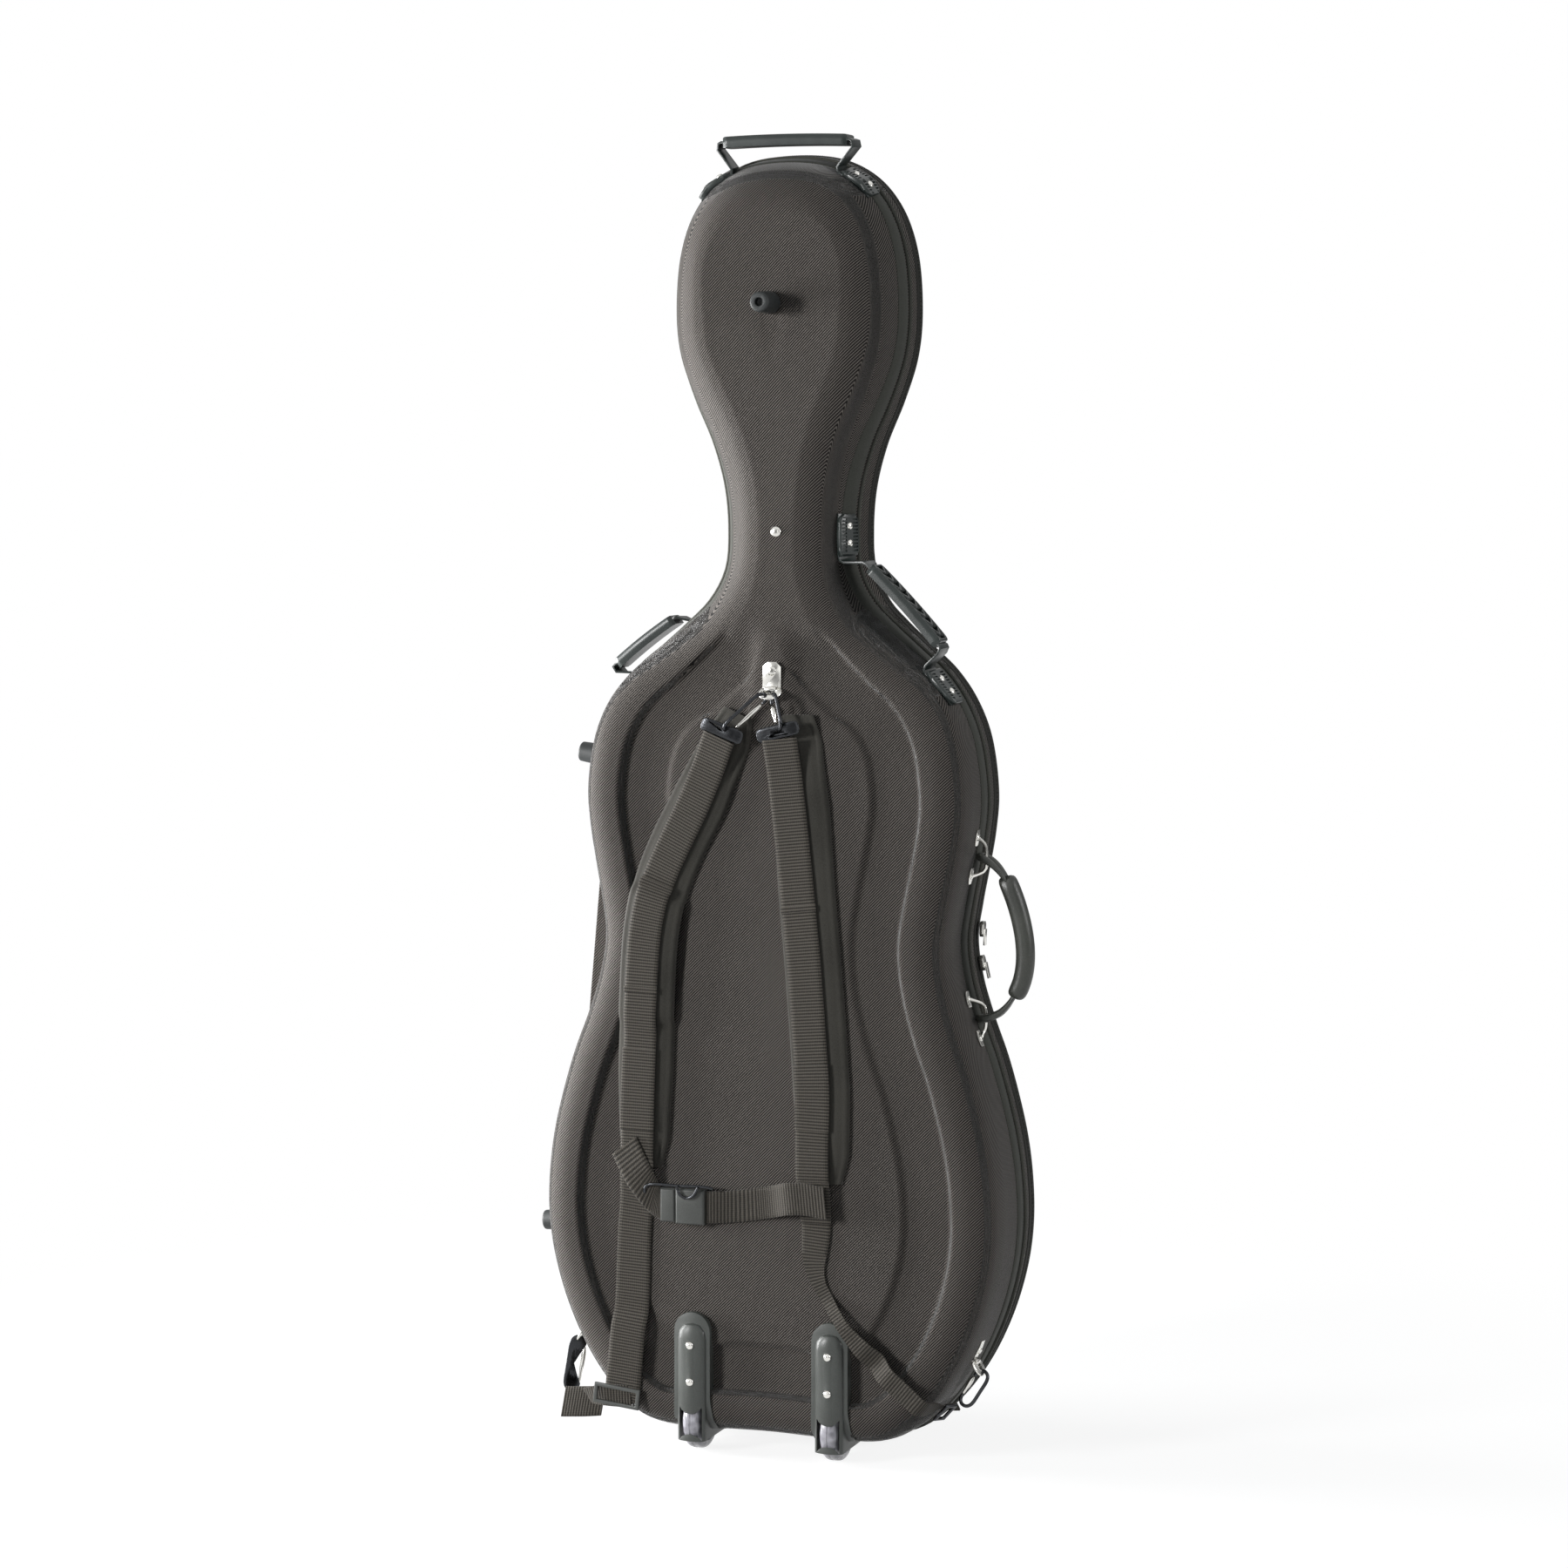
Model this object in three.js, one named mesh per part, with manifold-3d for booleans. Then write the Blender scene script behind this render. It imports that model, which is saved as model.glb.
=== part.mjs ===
// Cello hard case with wheels, carry handles and back straps, standing upright.
// Millimetres, +Z up, +X to the zip side, +Y from the moulded back towards the lid.
import * as THREE from 'three';
import { mergeVertices } from 'three/addons/utils/BufferGeometryUtils.js';
import Module from 'manifold-3d';

const wasm = await Module();
wasm.setup();

// Outline of the case on the parting plane
const CASE_TOP = 1357;
const BODY_CLEARANCE = 16;
const HEAD_HALF_WIDTH = 130.5;
const HEAD_LEVEL = 1193;
const NECK_HALF_WIDTH = 77.5;
const NECK_LEVEL = 968;
const UPPER_HALF_WIDTH = 216;
const UPPER_LEVEL = 696;
const WAIST_HALF_WIDTH = 194.5;
const WAIST_LEVEL = 543;
const LOWER_HALF_WIDTH = 256.7;
const LOWER_LEVEL = 248;
const BASE_HALF_WIDTH = 120;

// Depth of each shell from the parting plane
const HEAD_BACK_DEPTH = 95;
const NECK_BACK_DEPTH = 78;
const UPPER_BACK_DEPTH = 106;
const LOWER_BACK_DEPTH = 124;
const HEAD_LID_DEPTH = 72;
const NECK_LID_DEPTH = 62;
const UPPER_LID_DEPTH = 132;
const LOWER_LID_DEPTH = 150;

// Shell walls and the moulded relief of the back
const SHELL_WALL = 5;
const LINING = 7;
const SEAT_GAP = 0.3;
const RIM_INSET = 38;
const RIM_LIP = 9;
const STEP_RUN = 11;
const FIELD_RECESS = 10;
const PANEL_INSET = 98;
const PANEL_RUN = 12;
const PANEL_RISE = 5;
const SPINE_HALF_WIDTH = 23.5;
const SPINE_RUN = 3;
const FIELD_TOP = 856;
const FIELD_TOP_RUN = 16;
const SPINE_FOOT = 770;
const LID_CROWN_INSET = 104;

// Zip and piping
const ZIP_BAND = 10;
const ZIP_PROUD = 1.6;
const ZIP_GAP = 0.4;
const PIPING_LEVEL = 23.5;
const PIPING_HALF = 2;
const PIPING_PROUD = 1.8;
const PIPING_SEAT = 1;

// Resolution of the swept forms
const RING_POINTS = 72;
const ROUND_SIDES = 8;
const WHEEL_SIDES = 24;

const lerp = THREE.MathUtils.lerp;
const vec = (x, y, z) => new THREE.Vector3(x, y, z);

const ramp = (value, from, to) => THREE.MathUtils.smoothstep(value, from, to);

// Piecewise straight reading of a table of [key, value] rows with rising keys
function readTable(rows, key) {
  const last = rows.length - 1;
  if (key <= rows[0][0]) return rows[0][1];
  for (let i = 0; i < last; i += 1) {
    const [lowKey, lowValue] = rows[i];
    const [highKey, highValue] = rows[i + 1];
    if (key <= highKey) return lerp(lowValue, highValue, (key - lowKey) / (highKey - lowKey));
  }
  return rows[last][1];
}

// Depth at a height, eased between the levels where each depth is set
function depthAlong(z, head, neck, upper, lower) {
  if (z >= HEAD_LEVEL) return head;
  if (z >= NECK_LEVEL) return lerp(neck, head, ramp(z, NECK_LEVEL, HEAD_LEVEL));
  if (z >= UPPER_LEVEL) return lerp(upper, neck, ramp(z, UPPER_LEVEL, NECK_LEVEL));
  return lerp(lower, upper, ramp(z, LOWER_LEVEL, UPPER_LEVEL));
}

const backDepth = (z) =>
  depthAlong(z, HEAD_BACK_DEPTH, NECK_BACK_DEPTH, UPPER_BACK_DEPTH, LOWER_BACK_DEPTH);
const lidDepth = (z) =>
  depthAlong(z, HEAD_LID_DEPTH, NECK_LID_DEPTH, UPPER_LID_DEPTH, LOWER_LID_DEPTH);

// Outline: shares of the way between two named levels and their two half-widths
const headToNeckShares = [[0.2, 0.087], [0.4, 0.36], [0.6, 0.713], [0.8, 0.935]];
const neckToUpperShares = [[0.14, 0.02], [0.27, 0.134], [0.35, 0.28], [0.44, 0.475], [0.53, 0.67],
  [0.64, 0.826], [0.78, 0.94]];
const upperToWaistShares = [[0.25, 0.12], [0.5, 0.42], [0.75, 0.76]];
const waistToLowerShares = [[0.14, 0.09], [0.28, 0.29], [0.42, 0.535], [0.56, 0.73], [0.7, 0.885],
  [0.84, 0.975]];
const CROWN_POWER = 2.5;
const BASE_POWER = 1.7;
const CROWN_STEPS = 5;
const BASE_STEPS = 6;

// A quarter of a superellipse, from its end on the long axis round to the short one
function superQuarter(steps, power, place) {
  const points = [];
  for (let i = 0; i <= steps; i += 1) {
    const angle = (Math.PI / 2) * (i / steps);
    points.push(place(Math.sin(angle) ** (2 / power), Math.cos(angle) ** (2 / power)));
  }
  return points;
}

function stretch(shares, fromWidth, fromLevel, toWidth, toLevel) {
  const all = [...shares, [1, 1]];
  return all.map(([down, across]) => vec(
    lerp(fromWidth, toWidth, across), 0, lerp(fromLevel, toLevel, down)));
}

function outlineCurve() {
  const crown = superQuarter(CROWN_STEPS, CROWN_POWER, (across, up) =>
    vec(HEAD_HALF_WIDTH * across, 0, lerp(HEAD_LEVEL, CASE_TOP, up)));
  const base = superQuarter(BASE_STEPS, BASE_POWER, (down, across) =>
    vec(lerp(BASE_HALF_WIDTH, LOWER_HALF_WIDTH, across), 0,
      lerp(LOWER_LEVEL, BODY_CLEARANCE, down))).slice(1);
  const right = [
    ...crown,
    ...stretch(headToNeckShares, HEAD_HALF_WIDTH, HEAD_LEVEL, NECK_HALF_WIDTH, NECK_LEVEL),
    ...stretch(neckToUpperShares, NECK_HALF_WIDTH, NECK_LEVEL, UPPER_HALF_WIDTH, UPPER_LEVEL),
    ...stretch(upperToWaistShares, UPPER_HALF_WIDTH, UPPER_LEVEL, WAIST_HALF_WIDTH, WAIST_LEVEL),
    ...stretch(waistToLowerShares, WAIST_HALF_WIDTH, WAIST_LEVEL, LOWER_HALF_WIDTH, LOWER_LEVEL),
    ...base,
    vec(0, 0, BODY_CLEARANCE),
  ];
  const left = right.slice(1, -1).reverse().map((p) => vec(-p.x, 0, p.z));
  return new THREE.CatmullRomCurve3([...right, ...left], true, 'centripetal');
}

// Stations round the outline, each with its inward normal and its target on the centre line
const SPINE_LEAN_SHARE = 0.55;

function outlineStations() {
  const spaced = outlineCurve().getSpacedPoints(RING_POINTS);
  const half = RING_POINTS / 2;
  const right = spaced.slice(0, half + 1);
  right[0].x = 0;
  right[half].x = 0;
  const ring = [...right, ...right.slice(1, half).reverse().map((p) => vec(-p.x, 0, p.z))];
  const stations = [];
  let target = CASE_TOP - HEAD_HALF_WIDTH;
  for (let i = 0; i <= half; i += 1) {
    const before = ring[(i + RING_POINTS - 1) % RING_POINTS];
    const after = ring[(i + 1) % RING_POINTS];
    const along = vec(after.x - before.x, 0, after.z - before.z).normalize();
    const inward = { x: along.z, z: -along.x };
    const here = ring[i];
    const lean = here.z > HEAD_LEVEL || here.z < LOWER_LEVEL ? 1 : SPINE_LEAN_SHARE;
    if (here.x > SPINE_HALF_WIDTH && inward.x < 0) {
      target = Math.min(target, here.z - lean * (inward.z / inward.x) * here.x);
    }
    stations.push({ x: here.x, z: here.z, inward, target });
  }
  for (let i = half - 1; i > 0; i -= 1) {
    const twin = stations[i];
    const inward = { x: -twin.inward.x, z: twin.inward.z };
    stations.push({ x: -twin.x, z: twin.z, inward, target: twin.target });
  }
  return stations;
}

const stations = outlineStations();

// A point that lies a set distance inside the outline at a station, never past the centre line
function insetPoint(station, inset, centreHalf = 0) {
  const run = { x: -station.x, z: station.target - station.z };
  const reach = run.x * station.inward.x + run.z * station.inward.z;
  let share = Math.min(inset / reach, 1);
  if (centreHalf > 0 && Math.abs(station.x) > centreHalf) {
    share = Math.max(share, 1 - centreHalf / Math.abs(station.x));
  }
  const x = share === 1 ? 0 : station.x + run.x * share;
  return { x, z: station.z + run.z * share, inset: share * reach };
}

// Cross-sections of the back from the parting plane over the rim: places as shares of the rim
// inset, and the depth shares there for the body, the neck and the head
const rimPlaceShares = [0.04, 0.1, 0.24, 0.6, 1, 1.24, 1.53];
const bodyDepthShares = [0.25, 0.64, 0.86, 0.972, 1, 1, 1];
const neckDepthShares = [0.16, 0.22, 0.37, 0.7, 0.9, 0.96, 1];
const headDepthShares = [0.17, 0.27, 0.5, 0.79, 0.92, 0.97, 1];
const SHOULDER_LOW = 780;
const SHOULDER_HIGH = 930;

function backSection(z) {
  const neckShare = ramp(z, SHOULDER_LOW, SHOULDER_HIGH);
  const headShare = ramp(z, NECK_LEVEL, HEAD_LEVEL);
  return rimPlaceShares.map((place, i) => {
    const below = lerp(bodyDepthShares[i], neckDepthShares[i], neckShare);
    return [place, lerp(below, headDepthShares[i], headShare)];
  });
}

// Cross-section of the lid: shares of its crown inset and of its depth
const lidSectionShares = [[0.19, 0.41], [0.36, 0.68], [0.52, 0.84], [0.71, 0.94], [1, 1]];

// Depth of the moulded back at a place whose distance from the outline is known
function backLevel(inset, x, z) {
  const depth = backDepth(z);
  const rows = [[0, ZIP_BAND], ...backSection(z).map(([a, b]) => [a * RIM_INSET, b * depth])];
  const rim = readTable(rows, inset);
  const stepStart = RIM_INSET + RIM_LIP;
  const bodyShare = 1 - ramp(z, FIELD_TOP - FIELD_TOP_RUN / 2, FIELD_TOP + FIELD_TOP_RUN / 2);
  const onSpine = 1 - ramp(Math.abs(x), SPINE_HALF_WIDTH - SPINE_RUN, SPINE_HALF_WIDTH + SPINE_RUN);
  const spineShare = onSpine * ramp(z, SPINE_FOOT - FIELD_TOP_RUN, SPINE_FOOT + FIELD_TOP_RUN);
  const recess = FIELD_RECESS * ramp(inset, stepStart, stepStart + STEP_RUN) * bodyShare
    * (1 - spineShare);
  const panel = PANEL_RISE * ramp(inset, PANEL_INSET, PANEL_INSET + PANEL_RUN) * bodyShare
    * (1 - spineShare);
  return rim - recess + panel;
}

function lidLevel(inset, x, z) {
  const depth = lidDepth(z);
  const rows = [[0, ZIP_BAND],
    ...lidSectionShares.map(([a, b]) => [a * LID_CROWN_INSET, b * depth])];
  return readTable(rows, inset);
}

// A closed body from soup triangles: shared corners merged, empty faces dropped, faces out
function closedBody(corners, faces) {
  const raw = new THREE.BufferGeometry();
  raw.setAttribute('position', new THREE.Float32BufferAttribute(corners.flatMap((p) => [p.x, p.y, p.z]), 3));
  raw.setIndex(faces.flat());
  const merged = mergeVertices(raw, 1e-3);
  const index = Array.from(merged.index.array);
  const place = merged.getAttribute('position');
  const kept = [];
  let volume = 0;
  for (let i = 0; i < index.length; i += 3) {
    const [a, b, c] = index.slice(i, i + 3);
    if (a === b || b === c || a === c) continue;
    kept.push(a, b, c);
    const [p, q, r] = [a, b, c].map((k) => vec(place.getX(k), place.getY(k), place.getZ(k)));
    volume += p.dot(q.cross(r));
  }
  if (volume < 0) kept.reverse();
  merged.setIndex(kept);
  return merged;
}

// Rings of points joined one after another; open ends are capped with a fan
function loft(rings, closed = false) {
  const count = rings[0].length;
  const corners = rings.flat();
  const faces = [];
  const spans = closed ? rings.length : rings.length - 1;
  for (let r = 0; r < spans; r += 1) {
    const next = (r + 1) % rings.length;
    for (let i = 0; i < count; i += 1) {
      const j = (i + 1) % count;
      const [a, b, c, d] = [r * count + i, r * count + j, next * count + j, next * count + i];
      faces.push([a, b, c], [a, c, d]);
    }
  }
  if (!closed) {
    const end = (rings.length - 1) * count;
    for (let i = 1; i < count - 1; i += 1) {
      faces.push([0, i + 1, i], [end, end + i, end + i + 1]);
    }
  }
  return closedBody(corners, faces);
}

// A bowl-like body: its rings run from one centre line over the rims to the other, and each of its
// quads folds along the shorter diagonal
function bowl(rings) {
  const count = rings[0].length;
  const corners = rings.flat();
  const faces = [];
  for (let r = 0; r < rings.length - 1; r += 1) {
    for (let i = 0; i < count; i += 1) {
      const j = (i + 1) % count;
      const [a, b, c, d] = [r * count + i, r * count + j, (r + 1) * count + j, (r + 1) * count + i];
      if (corners[a].distanceTo(corners[c]) < corners[b].distanceTo(corners[d])) {
        faces.push([a, b, c], [a, c, d]);
      } else {
        faces.push([a, b, d], [b, c, d]);
      }
    }
  }
  return closedBody(corners, faces);
}

const NO_LIMIT = CASE_TOP;

// One ring of a shell's outer face; a lift moves it off the face along the section's normal
function faceRing(level, side, inset, lift = { in: 0, down: 0 }, centreHalf = 0) {
  return stations.map((station) => {
    const spot = insetPoint(station, inset + lift.in, centreHalf);
    const flat = insetPoint(station, inset, centreHalf);
    return vec(spot.x, side * (level(flat.inset, flat.x, flat.z) - lift.down), spot.z);
  });
}

// The outer face from its edge to the centre line
const wallLeanShares = [1, 1, 0.8, 0.6, 0.4, 0.2];
function outerFace(level, side, insets, off = 0, centres = []) {
  const rings = insets.map((inset, k) => {
    const steep = wallLeanShares[Math.min(k, wallLeanShares.length - 1)];
    return faceRing(level, side, inset, { in: -off * steep, down: k === 0 ? 0 : -off * (1 - steep) });
  });
  centres.forEach((half) => rings.push(faceRing(level, side, insets[insets.length - 1],
    { in: 0, down: -off }, half)));
  rings.push(faceRing(level, side, NO_LIMIT, { in: 0, down: -off }));
  return rings;
}

// The inner face: rows of place on the section and the wall's lean there
function innerFace(depthOf, shareAt, side, rim, rows, wall, flatDrop) {
  const ringAt = (place, lean, edge) => stations.map((station) => {
    const spot = insetPoint(station, place * rim + wall * lean[0]);
    const drop = wall * lean[1] + (lean[1] === 1 ? flatDrop : 0);
    const level = edge || depthOf(spot.z) * shareAt(place, spot.z) - drop;
    return vec(spot.x, side * level, spot.z);
  });
  const rings = rows.map(([place, lean]) => ringAt(place, lean, 0));
  return { rings, edgeAt: (level) => ringAt(0, [1, 0], level), floor: ringAt(NO_LIMIT, [0, 1], 0) };
}

const backInsets = [0, ...rimPlaceShares.map((place) => place * RIM_INSET), PANEL_INSET - PANEL_RUN, PANEL_INSET, PANEL_INSET + PANEL_RUN];
const lidInsets = [0, ...lidSectionShares.map(([a]) => a * LID_CROWN_INSET)];
const spineEdges = [SPINE_HALF_WIDTH + SPINE_RUN, SPINE_HALF_WIDTH - SPINE_RUN];

const backInnerRows = [[0.1, [1, 0.1]], [0.24, [0.85, 0.4]], [0.6, [0.6, 0.85]], [1.6, [0, 1]]];
const lidInnerRows = [[0.19, [0.95, 0.3]], [0.36, [0.85, 0.5]], [0.52, [0.7, 0.7]], [1, [0, 1]]];

function backInner(wall) {
  const shareAt = (place, z) => readTable(backSection(z), place);
  return innerFace(backDepth, shareAt, -1, RIM_INSET, backInnerRows, wall, FIELD_RECESS);
}

function lidInner(wall) {
  const shareAt = (place) => readTable(lidSectionShares, place);
  return innerFace(lidDepth, shareAt, 1, LID_CROWN_INSET, lidInnerRows, wall, 0);
}

// Shell between its outer face and the inner face one wall inside it
function shellBody(outer, inner, edge) {
  return bowl([...outer.slice().reverse(), inner.edgeAt(edge), ...inner.rings, inner.floor]);
}

// Solid that fills a bowl up to a level, used to cut what seats in or on it
function fillBody(faces, side, level) {
  const cap = stations.map((station) => {
    const spot = insetPoint(station, NO_LIMIT);
    return vec(spot.x, side * level, spot.z);
  });
  return bowl([...faces.slice().reverse(), cap]);
}

function solidOf(geometry) {
  const bare = geometry.clone();
  bare.deleteAttribute('normal');
  bare.deleteAttribute('uv');
  const merged = mergeVertices(bare, 1e-4);
  return new wasm.Manifold(new wasm.Mesh({
    numProp: 3,
    vertProperties: new Float32Array(merged.getAttribute('position').array),
    triVerts: new Uint32Array(merged.index.array),
  }));
}

function geometryOf(solid) {
  const mesh = solid.getMesh();
  const geometry = new THREE.BufferGeometry();
  const places = new Float32Array((mesh.vertProperties.length / mesh.numProp) * 3);
  for (let i = 0; i * mesh.numProp < mesh.vertProperties.length; i += 1) {
    for (let k = 0; k < 3; k += 1) places[i * 3 + k] = mesh.vertProperties[i * mesh.numProp + k];
  }
  geometry.setAttribute('position', new THREE.BufferAttribute(places, 3));
  geometry.setIndex(Array.from(mesh.triVerts));
  return geometry;
}

const join = (...parts) => geometryOf(parts.map(solidOf).reduce((all, part) => all.add(part)));
const cut = (body, ...tools) =>
  geometryOf(tools.map(solidOf).reduce((left, tool) => left.subtract(tool), solidOf(body)));
const common = (body, tool) => geometryOf(solidOf(body).intersect(solidOf(tool)));

// Round bar along points, with its ends square to it
function bar(points, radius, sides = ROUND_SIDES, steps = points.length * 3) {
  const section = new THREE.Shape();
  section.absarc(0, 0, radius, 0, Math.PI * 2);
  const path = new THREE.CatmullRomCurve3(points, false, 'centripetal');
  return new THREE.ExtrudeGeometry(section, {
    steps, bevelEnabled: false, extrudePath: path, curveSegments: sides / 2,
  });
}

// Closed wire through points that lie in one plane
function hoop(points, radius, sides = 6, steps = points.length * 2) {
  const path = new THREE.CatmullRomCurve3(points, true, 'centripetal');
  const places = path.getPoints(steps).slice(0, steps);
  const middle = places.reduce((sum, p) => sum.add(p), vec(0, 0, 0)).divideScalar(steps);
  const normal = vec(0, 0, 0);
  places.forEach((p, i) => {
    const next = places[(i + 1) % steps];
    normal.add(p.clone().sub(middle).cross(next.clone().sub(middle)));
  });
  normal.normalize();
  const rings = places.map((p, i) => {
    const before = places[(i + steps - 1) % steps];
    const after = places[(i + 1) % steps];
    const side = after.clone().sub(before).normalize().cross(normal).normalize();
    return circle(p, side, normal, radius, sides);
  });
  return loft(rings, true);
}

function circle(centre, first, second, radius, sides) {
  const points = [];
  for (let i = 0; i < sides; i += 1) {
    const angle = (Math.PI * 2 * i) / sides;
    points.push(centre.clone().addScaledVector(first, radius * Math.cos(angle))
      .addScaledVector(second, radius * Math.sin(angle)));
  }
  return points;
}

// Turned body: profile rows of radius and height, its axis laid along a direction at a place
function turned(profile, place, axis, sides = 16) {
  const body = new THREE.LatheGeometry(profile.map(([r, h]) => new THREE.Vector2(r, h)), sides);
  const turn = new THREE.Quaternion().setFromUnitVectors(vec(0, 1, 0), axis.clone().normalize());
  body.applyQuaternion(turn);
  body.translate(place.x, place.y, place.z);
  return closedBody(pointsOf(body), facesOf(body));
}

function pointsOf(geometry) {
  const place = geometry.getAttribute('position');
  return Array.from({ length: place.count }, (_, i) => vec(place.getX(i), place.getY(i), place.getZ(i)));
}

function facesOf(geometry) {
  const index = Array.from(geometry.index.array);
  return Array.from({ length: index.length / 3 }, (_, i) => index.slice(i * 3, i * 3 + 3));
}

// Box between two corners
function block(low, high) {
  const body = new THREE.BoxGeometry(high.x - low.x, high.y - low.y, high.z - low.z);
  body.translate((low.x + high.x) / 2, (low.y + high.y) / 2, (low.z + high.z) / 2);
  return body;
}

// Prism of a shape drawn in the plane square to X, Y or Z, between two levels on that axis
function prism(shape, axis, from, to, curveSegments = 8) {
  const body = new THREE.ExtrudeGeometry(shape, { depth: to - from, bevelEnabled: false, curveSegments });
  body.translate(0, 0, from);
  const bases = {
    x: [vec(0, 1, 0), vec(0, 0, 1), vec(1, 0, 0)],
    y: [vec(0, 0, 1), vec(1, 0, 0), vec(0, 1, 0)],
    z: [vec(1, 0, 0), vec(0, 1, 0), vec(0, 0, 1)],
  };
  body.applyMatrix4(new THREE.Matrix4().makeBasis(...bases[axis]));
  return body;
}

// Flat strip through rows of { at, across, out, width }, its thickness grown along out
function strip(rows, thickness) {
  return loft(rows.map(({ at, across, out, width }) => {
    const low = at.clone().addScaledVector(across, -width / 2);
    const high = at.clone().addScaledVector(across, width / 2);
    return [low, high, high.clone().addScaledVector(out, thickness),
      low.clone().addScaledVector(out, thickness)];
  }));
}

// Where a shell's side wall runs
const BACK = { section: backSection, rim: RIM_INSET, depth: backDepth, side: -1 };
const LID = { section: () => lidSectionShares, rim: LID_CROWN_INSET, depth: lidDepth, side: 1 };

// Fractional station on the right half of the outline at a height; the left half mirrors it
function stationAtHeight(z, side) {
  const half = RING_POINTS / 2;
  for (let i = 0; i < half; i += 1) {
    const [high, low] = [stations[i].z, stations[i + 1].z];
    if (z <= high && z > low) {
      const share = i + (high - z) / (high - low);
      return side > 0 ? share : RING_POINTS - share;
    }
  }
  return half;
}

function wallPoint(shell, index, depthShare) {
  const station = stations[((index % RING_POINTS) + RING_POINTS) % RING_POINTS];
  const rows = [[0, 0], ...shell.section(station.z).map(([a, b]) => [b, a * shell.rim])];
  const spot = insetPoint(station, readTable(rows, depthShare));
  return vec(spot.x, shell.side * depthShare * shell.depth(spot.z), spot.z);
}

const SLOPE_SHARE = 0.06;
function wallFrame(shell, at, depthShare) {
  const index = Math.floor(at);
  const mix = (share) => wallPoint(shell, index, share).lerp(wallPoint(shell, index + 1, share), at - index);
  const place = mix(depthShare);
  const along = wallPoint(shell, index + 1, depthShare).sub(wallPoint(shell, index, depthShare)).normalize();
  const across = mix(depthShare + SLOPE_SHARE).sub(mix(depthShare - SLOPE_SHARE)).normalize();
  const out = along.clone().cross(across).normalize();
  const inward = vec(stations[index % RING_POINTS].inward.x, 0, stations[index % RING_POINTS].inward.z);
  if (out.dot(inward) > 0) out.negate();
  return { place, along, across, out };
}

// Distance from the outline of a place on the parting plane
function insetAt(x, z) {
  let least = Infinity;
  stations.forEach((station, i) => {
    const next = stations[(i + 1) % RING_POINTS];
    const [runX, runZ] = [next.x - station.x, next.z - station.z];
    const share = THREE.MathUtils.clamp(
      ((x - station.x) * runX + (z - station.z) * runZ) / (runX * runX + runZ * runZ), 0, 1);
    least = Math.min(least, Math.hypot(x - station.x - runX * share, z - station.z - runZ * share));
  });
  return least;
}

const backFace = (x, z) => -backLevel(insetAt(x, z), x, z);

// Solids that keep a seat gap round each shell
const KEEP_GAP = 0.4;
const backKeep = fillBody(outerFace(backLevel, -1, backInsets, KEEP_GAP, spineEdges), -1, ZIP_BAND);
const lidKeep = fillBody(outerFace(lidLevel, 1, lidInsets, KEEP_GAP), 1, ZIP_BAND);

// Finishes
const TWILL = { color: 0x4a4440, roughness: 0.85, metalness: 0 };
const EDGE_CLOTH = { color: 0x2e2e2c, roughness: 0.85, metalness: 0 };
const PLUSH = { color: 0x2c2c2e, roughness: 0.95, metalness: 0 };
const WEBBING = { color: 0x3c3a34, roughness: 0.8, metalness: 0 };
const PADDING = { color: 0x1d1e1f, roughness: 0.85, metalness: 0 };
const PLASTIC = { color: 0x2b302e, roughness: 0.5, metalness: 0 };
const GREY_PLASTIC = { color: 0x55565a, roughness: 0.5, metalness: 0 };
const RUBBER = { color: 0x1c2022, roughness: 0.7, metalness: 0 };
const TYRE = { color: 0x8c8b90, roughness: 0.35, metalness: 0 };
const CHROME = { color: 0xd0d0ca, roughness: 0.2, metalness: 1 };
const DARK_STEEL = { color: 0x3a3c3e, roughness: 0.3, metalness: 1 };
const LEATHER = { color: 0x2e2f2d, roughness: 0.6, metalness: 0 };

const group = new THREE.Group();

function add(name, geometry, finish) {
  const mesh = new THREE.Mesh(geometry, new THREE.MeshStandardMaterial(finish));
  mesh.name = name;
  group.add(mesh);
}

// Wheels, axles and the wells they turn in
const WHEEL_RADIUS = 32;
const WHEEL_WIDTH = 20;
const WHEEL_CENTRE = 76.5;
const WHEEL_SETBACK = 101;
const WHEEL_PLAY = 2.5;
const WELL_WALL = 3;
const AXLE_RADIUS = 3;
const AXLE_PLAY = 0.5;
const HUB_RADIUS = 9;
const RIM_SHARE = 0.72;
const TREAD_ROUND = 6;
const wellRadius = WHEEL_RADIUS + WHEEL_PLAY;
const wellHalf = WHEEL_WIDTH / 2 + WHEEL_PLAY;
const wheelSpots = [['left', -WHEEL_CENTRE], ['right', WHEEL_CENTRE]];

function alongX(radius, half, x, sides = WHEEL_SIDES) {
  return turned([[0, -half], [radius, -half], [radius, half], [0, half]],
    vec(x, -WHEEL_SETBACK, WHEEL_RADIUS), vec(1, 0, 0), sides);
}

const wellCuts = wheelSpots.map(([, x]) =>
  alongX(wellRadius + WELL_WALL + SEAT_GAP, wellHalf + WELL_WALL + SEAT_GAP, x));

// Back and lid shells
const backOuter = outerFace(backLevel, -1, backInsets, 0, spineEdges);
const lidOuter = outerFace(lidLevel, 1, lidInsets);
add('back_shell', cut(shellBody(backOuter, backInner(SHELL_WALL), ZIP_BAND), ...wellCuts), TWILL);
add('lid_shell', shellBody(lidOuter, lidInner(SHELL_WALL), ZIP_BAND), TWILL);

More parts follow.
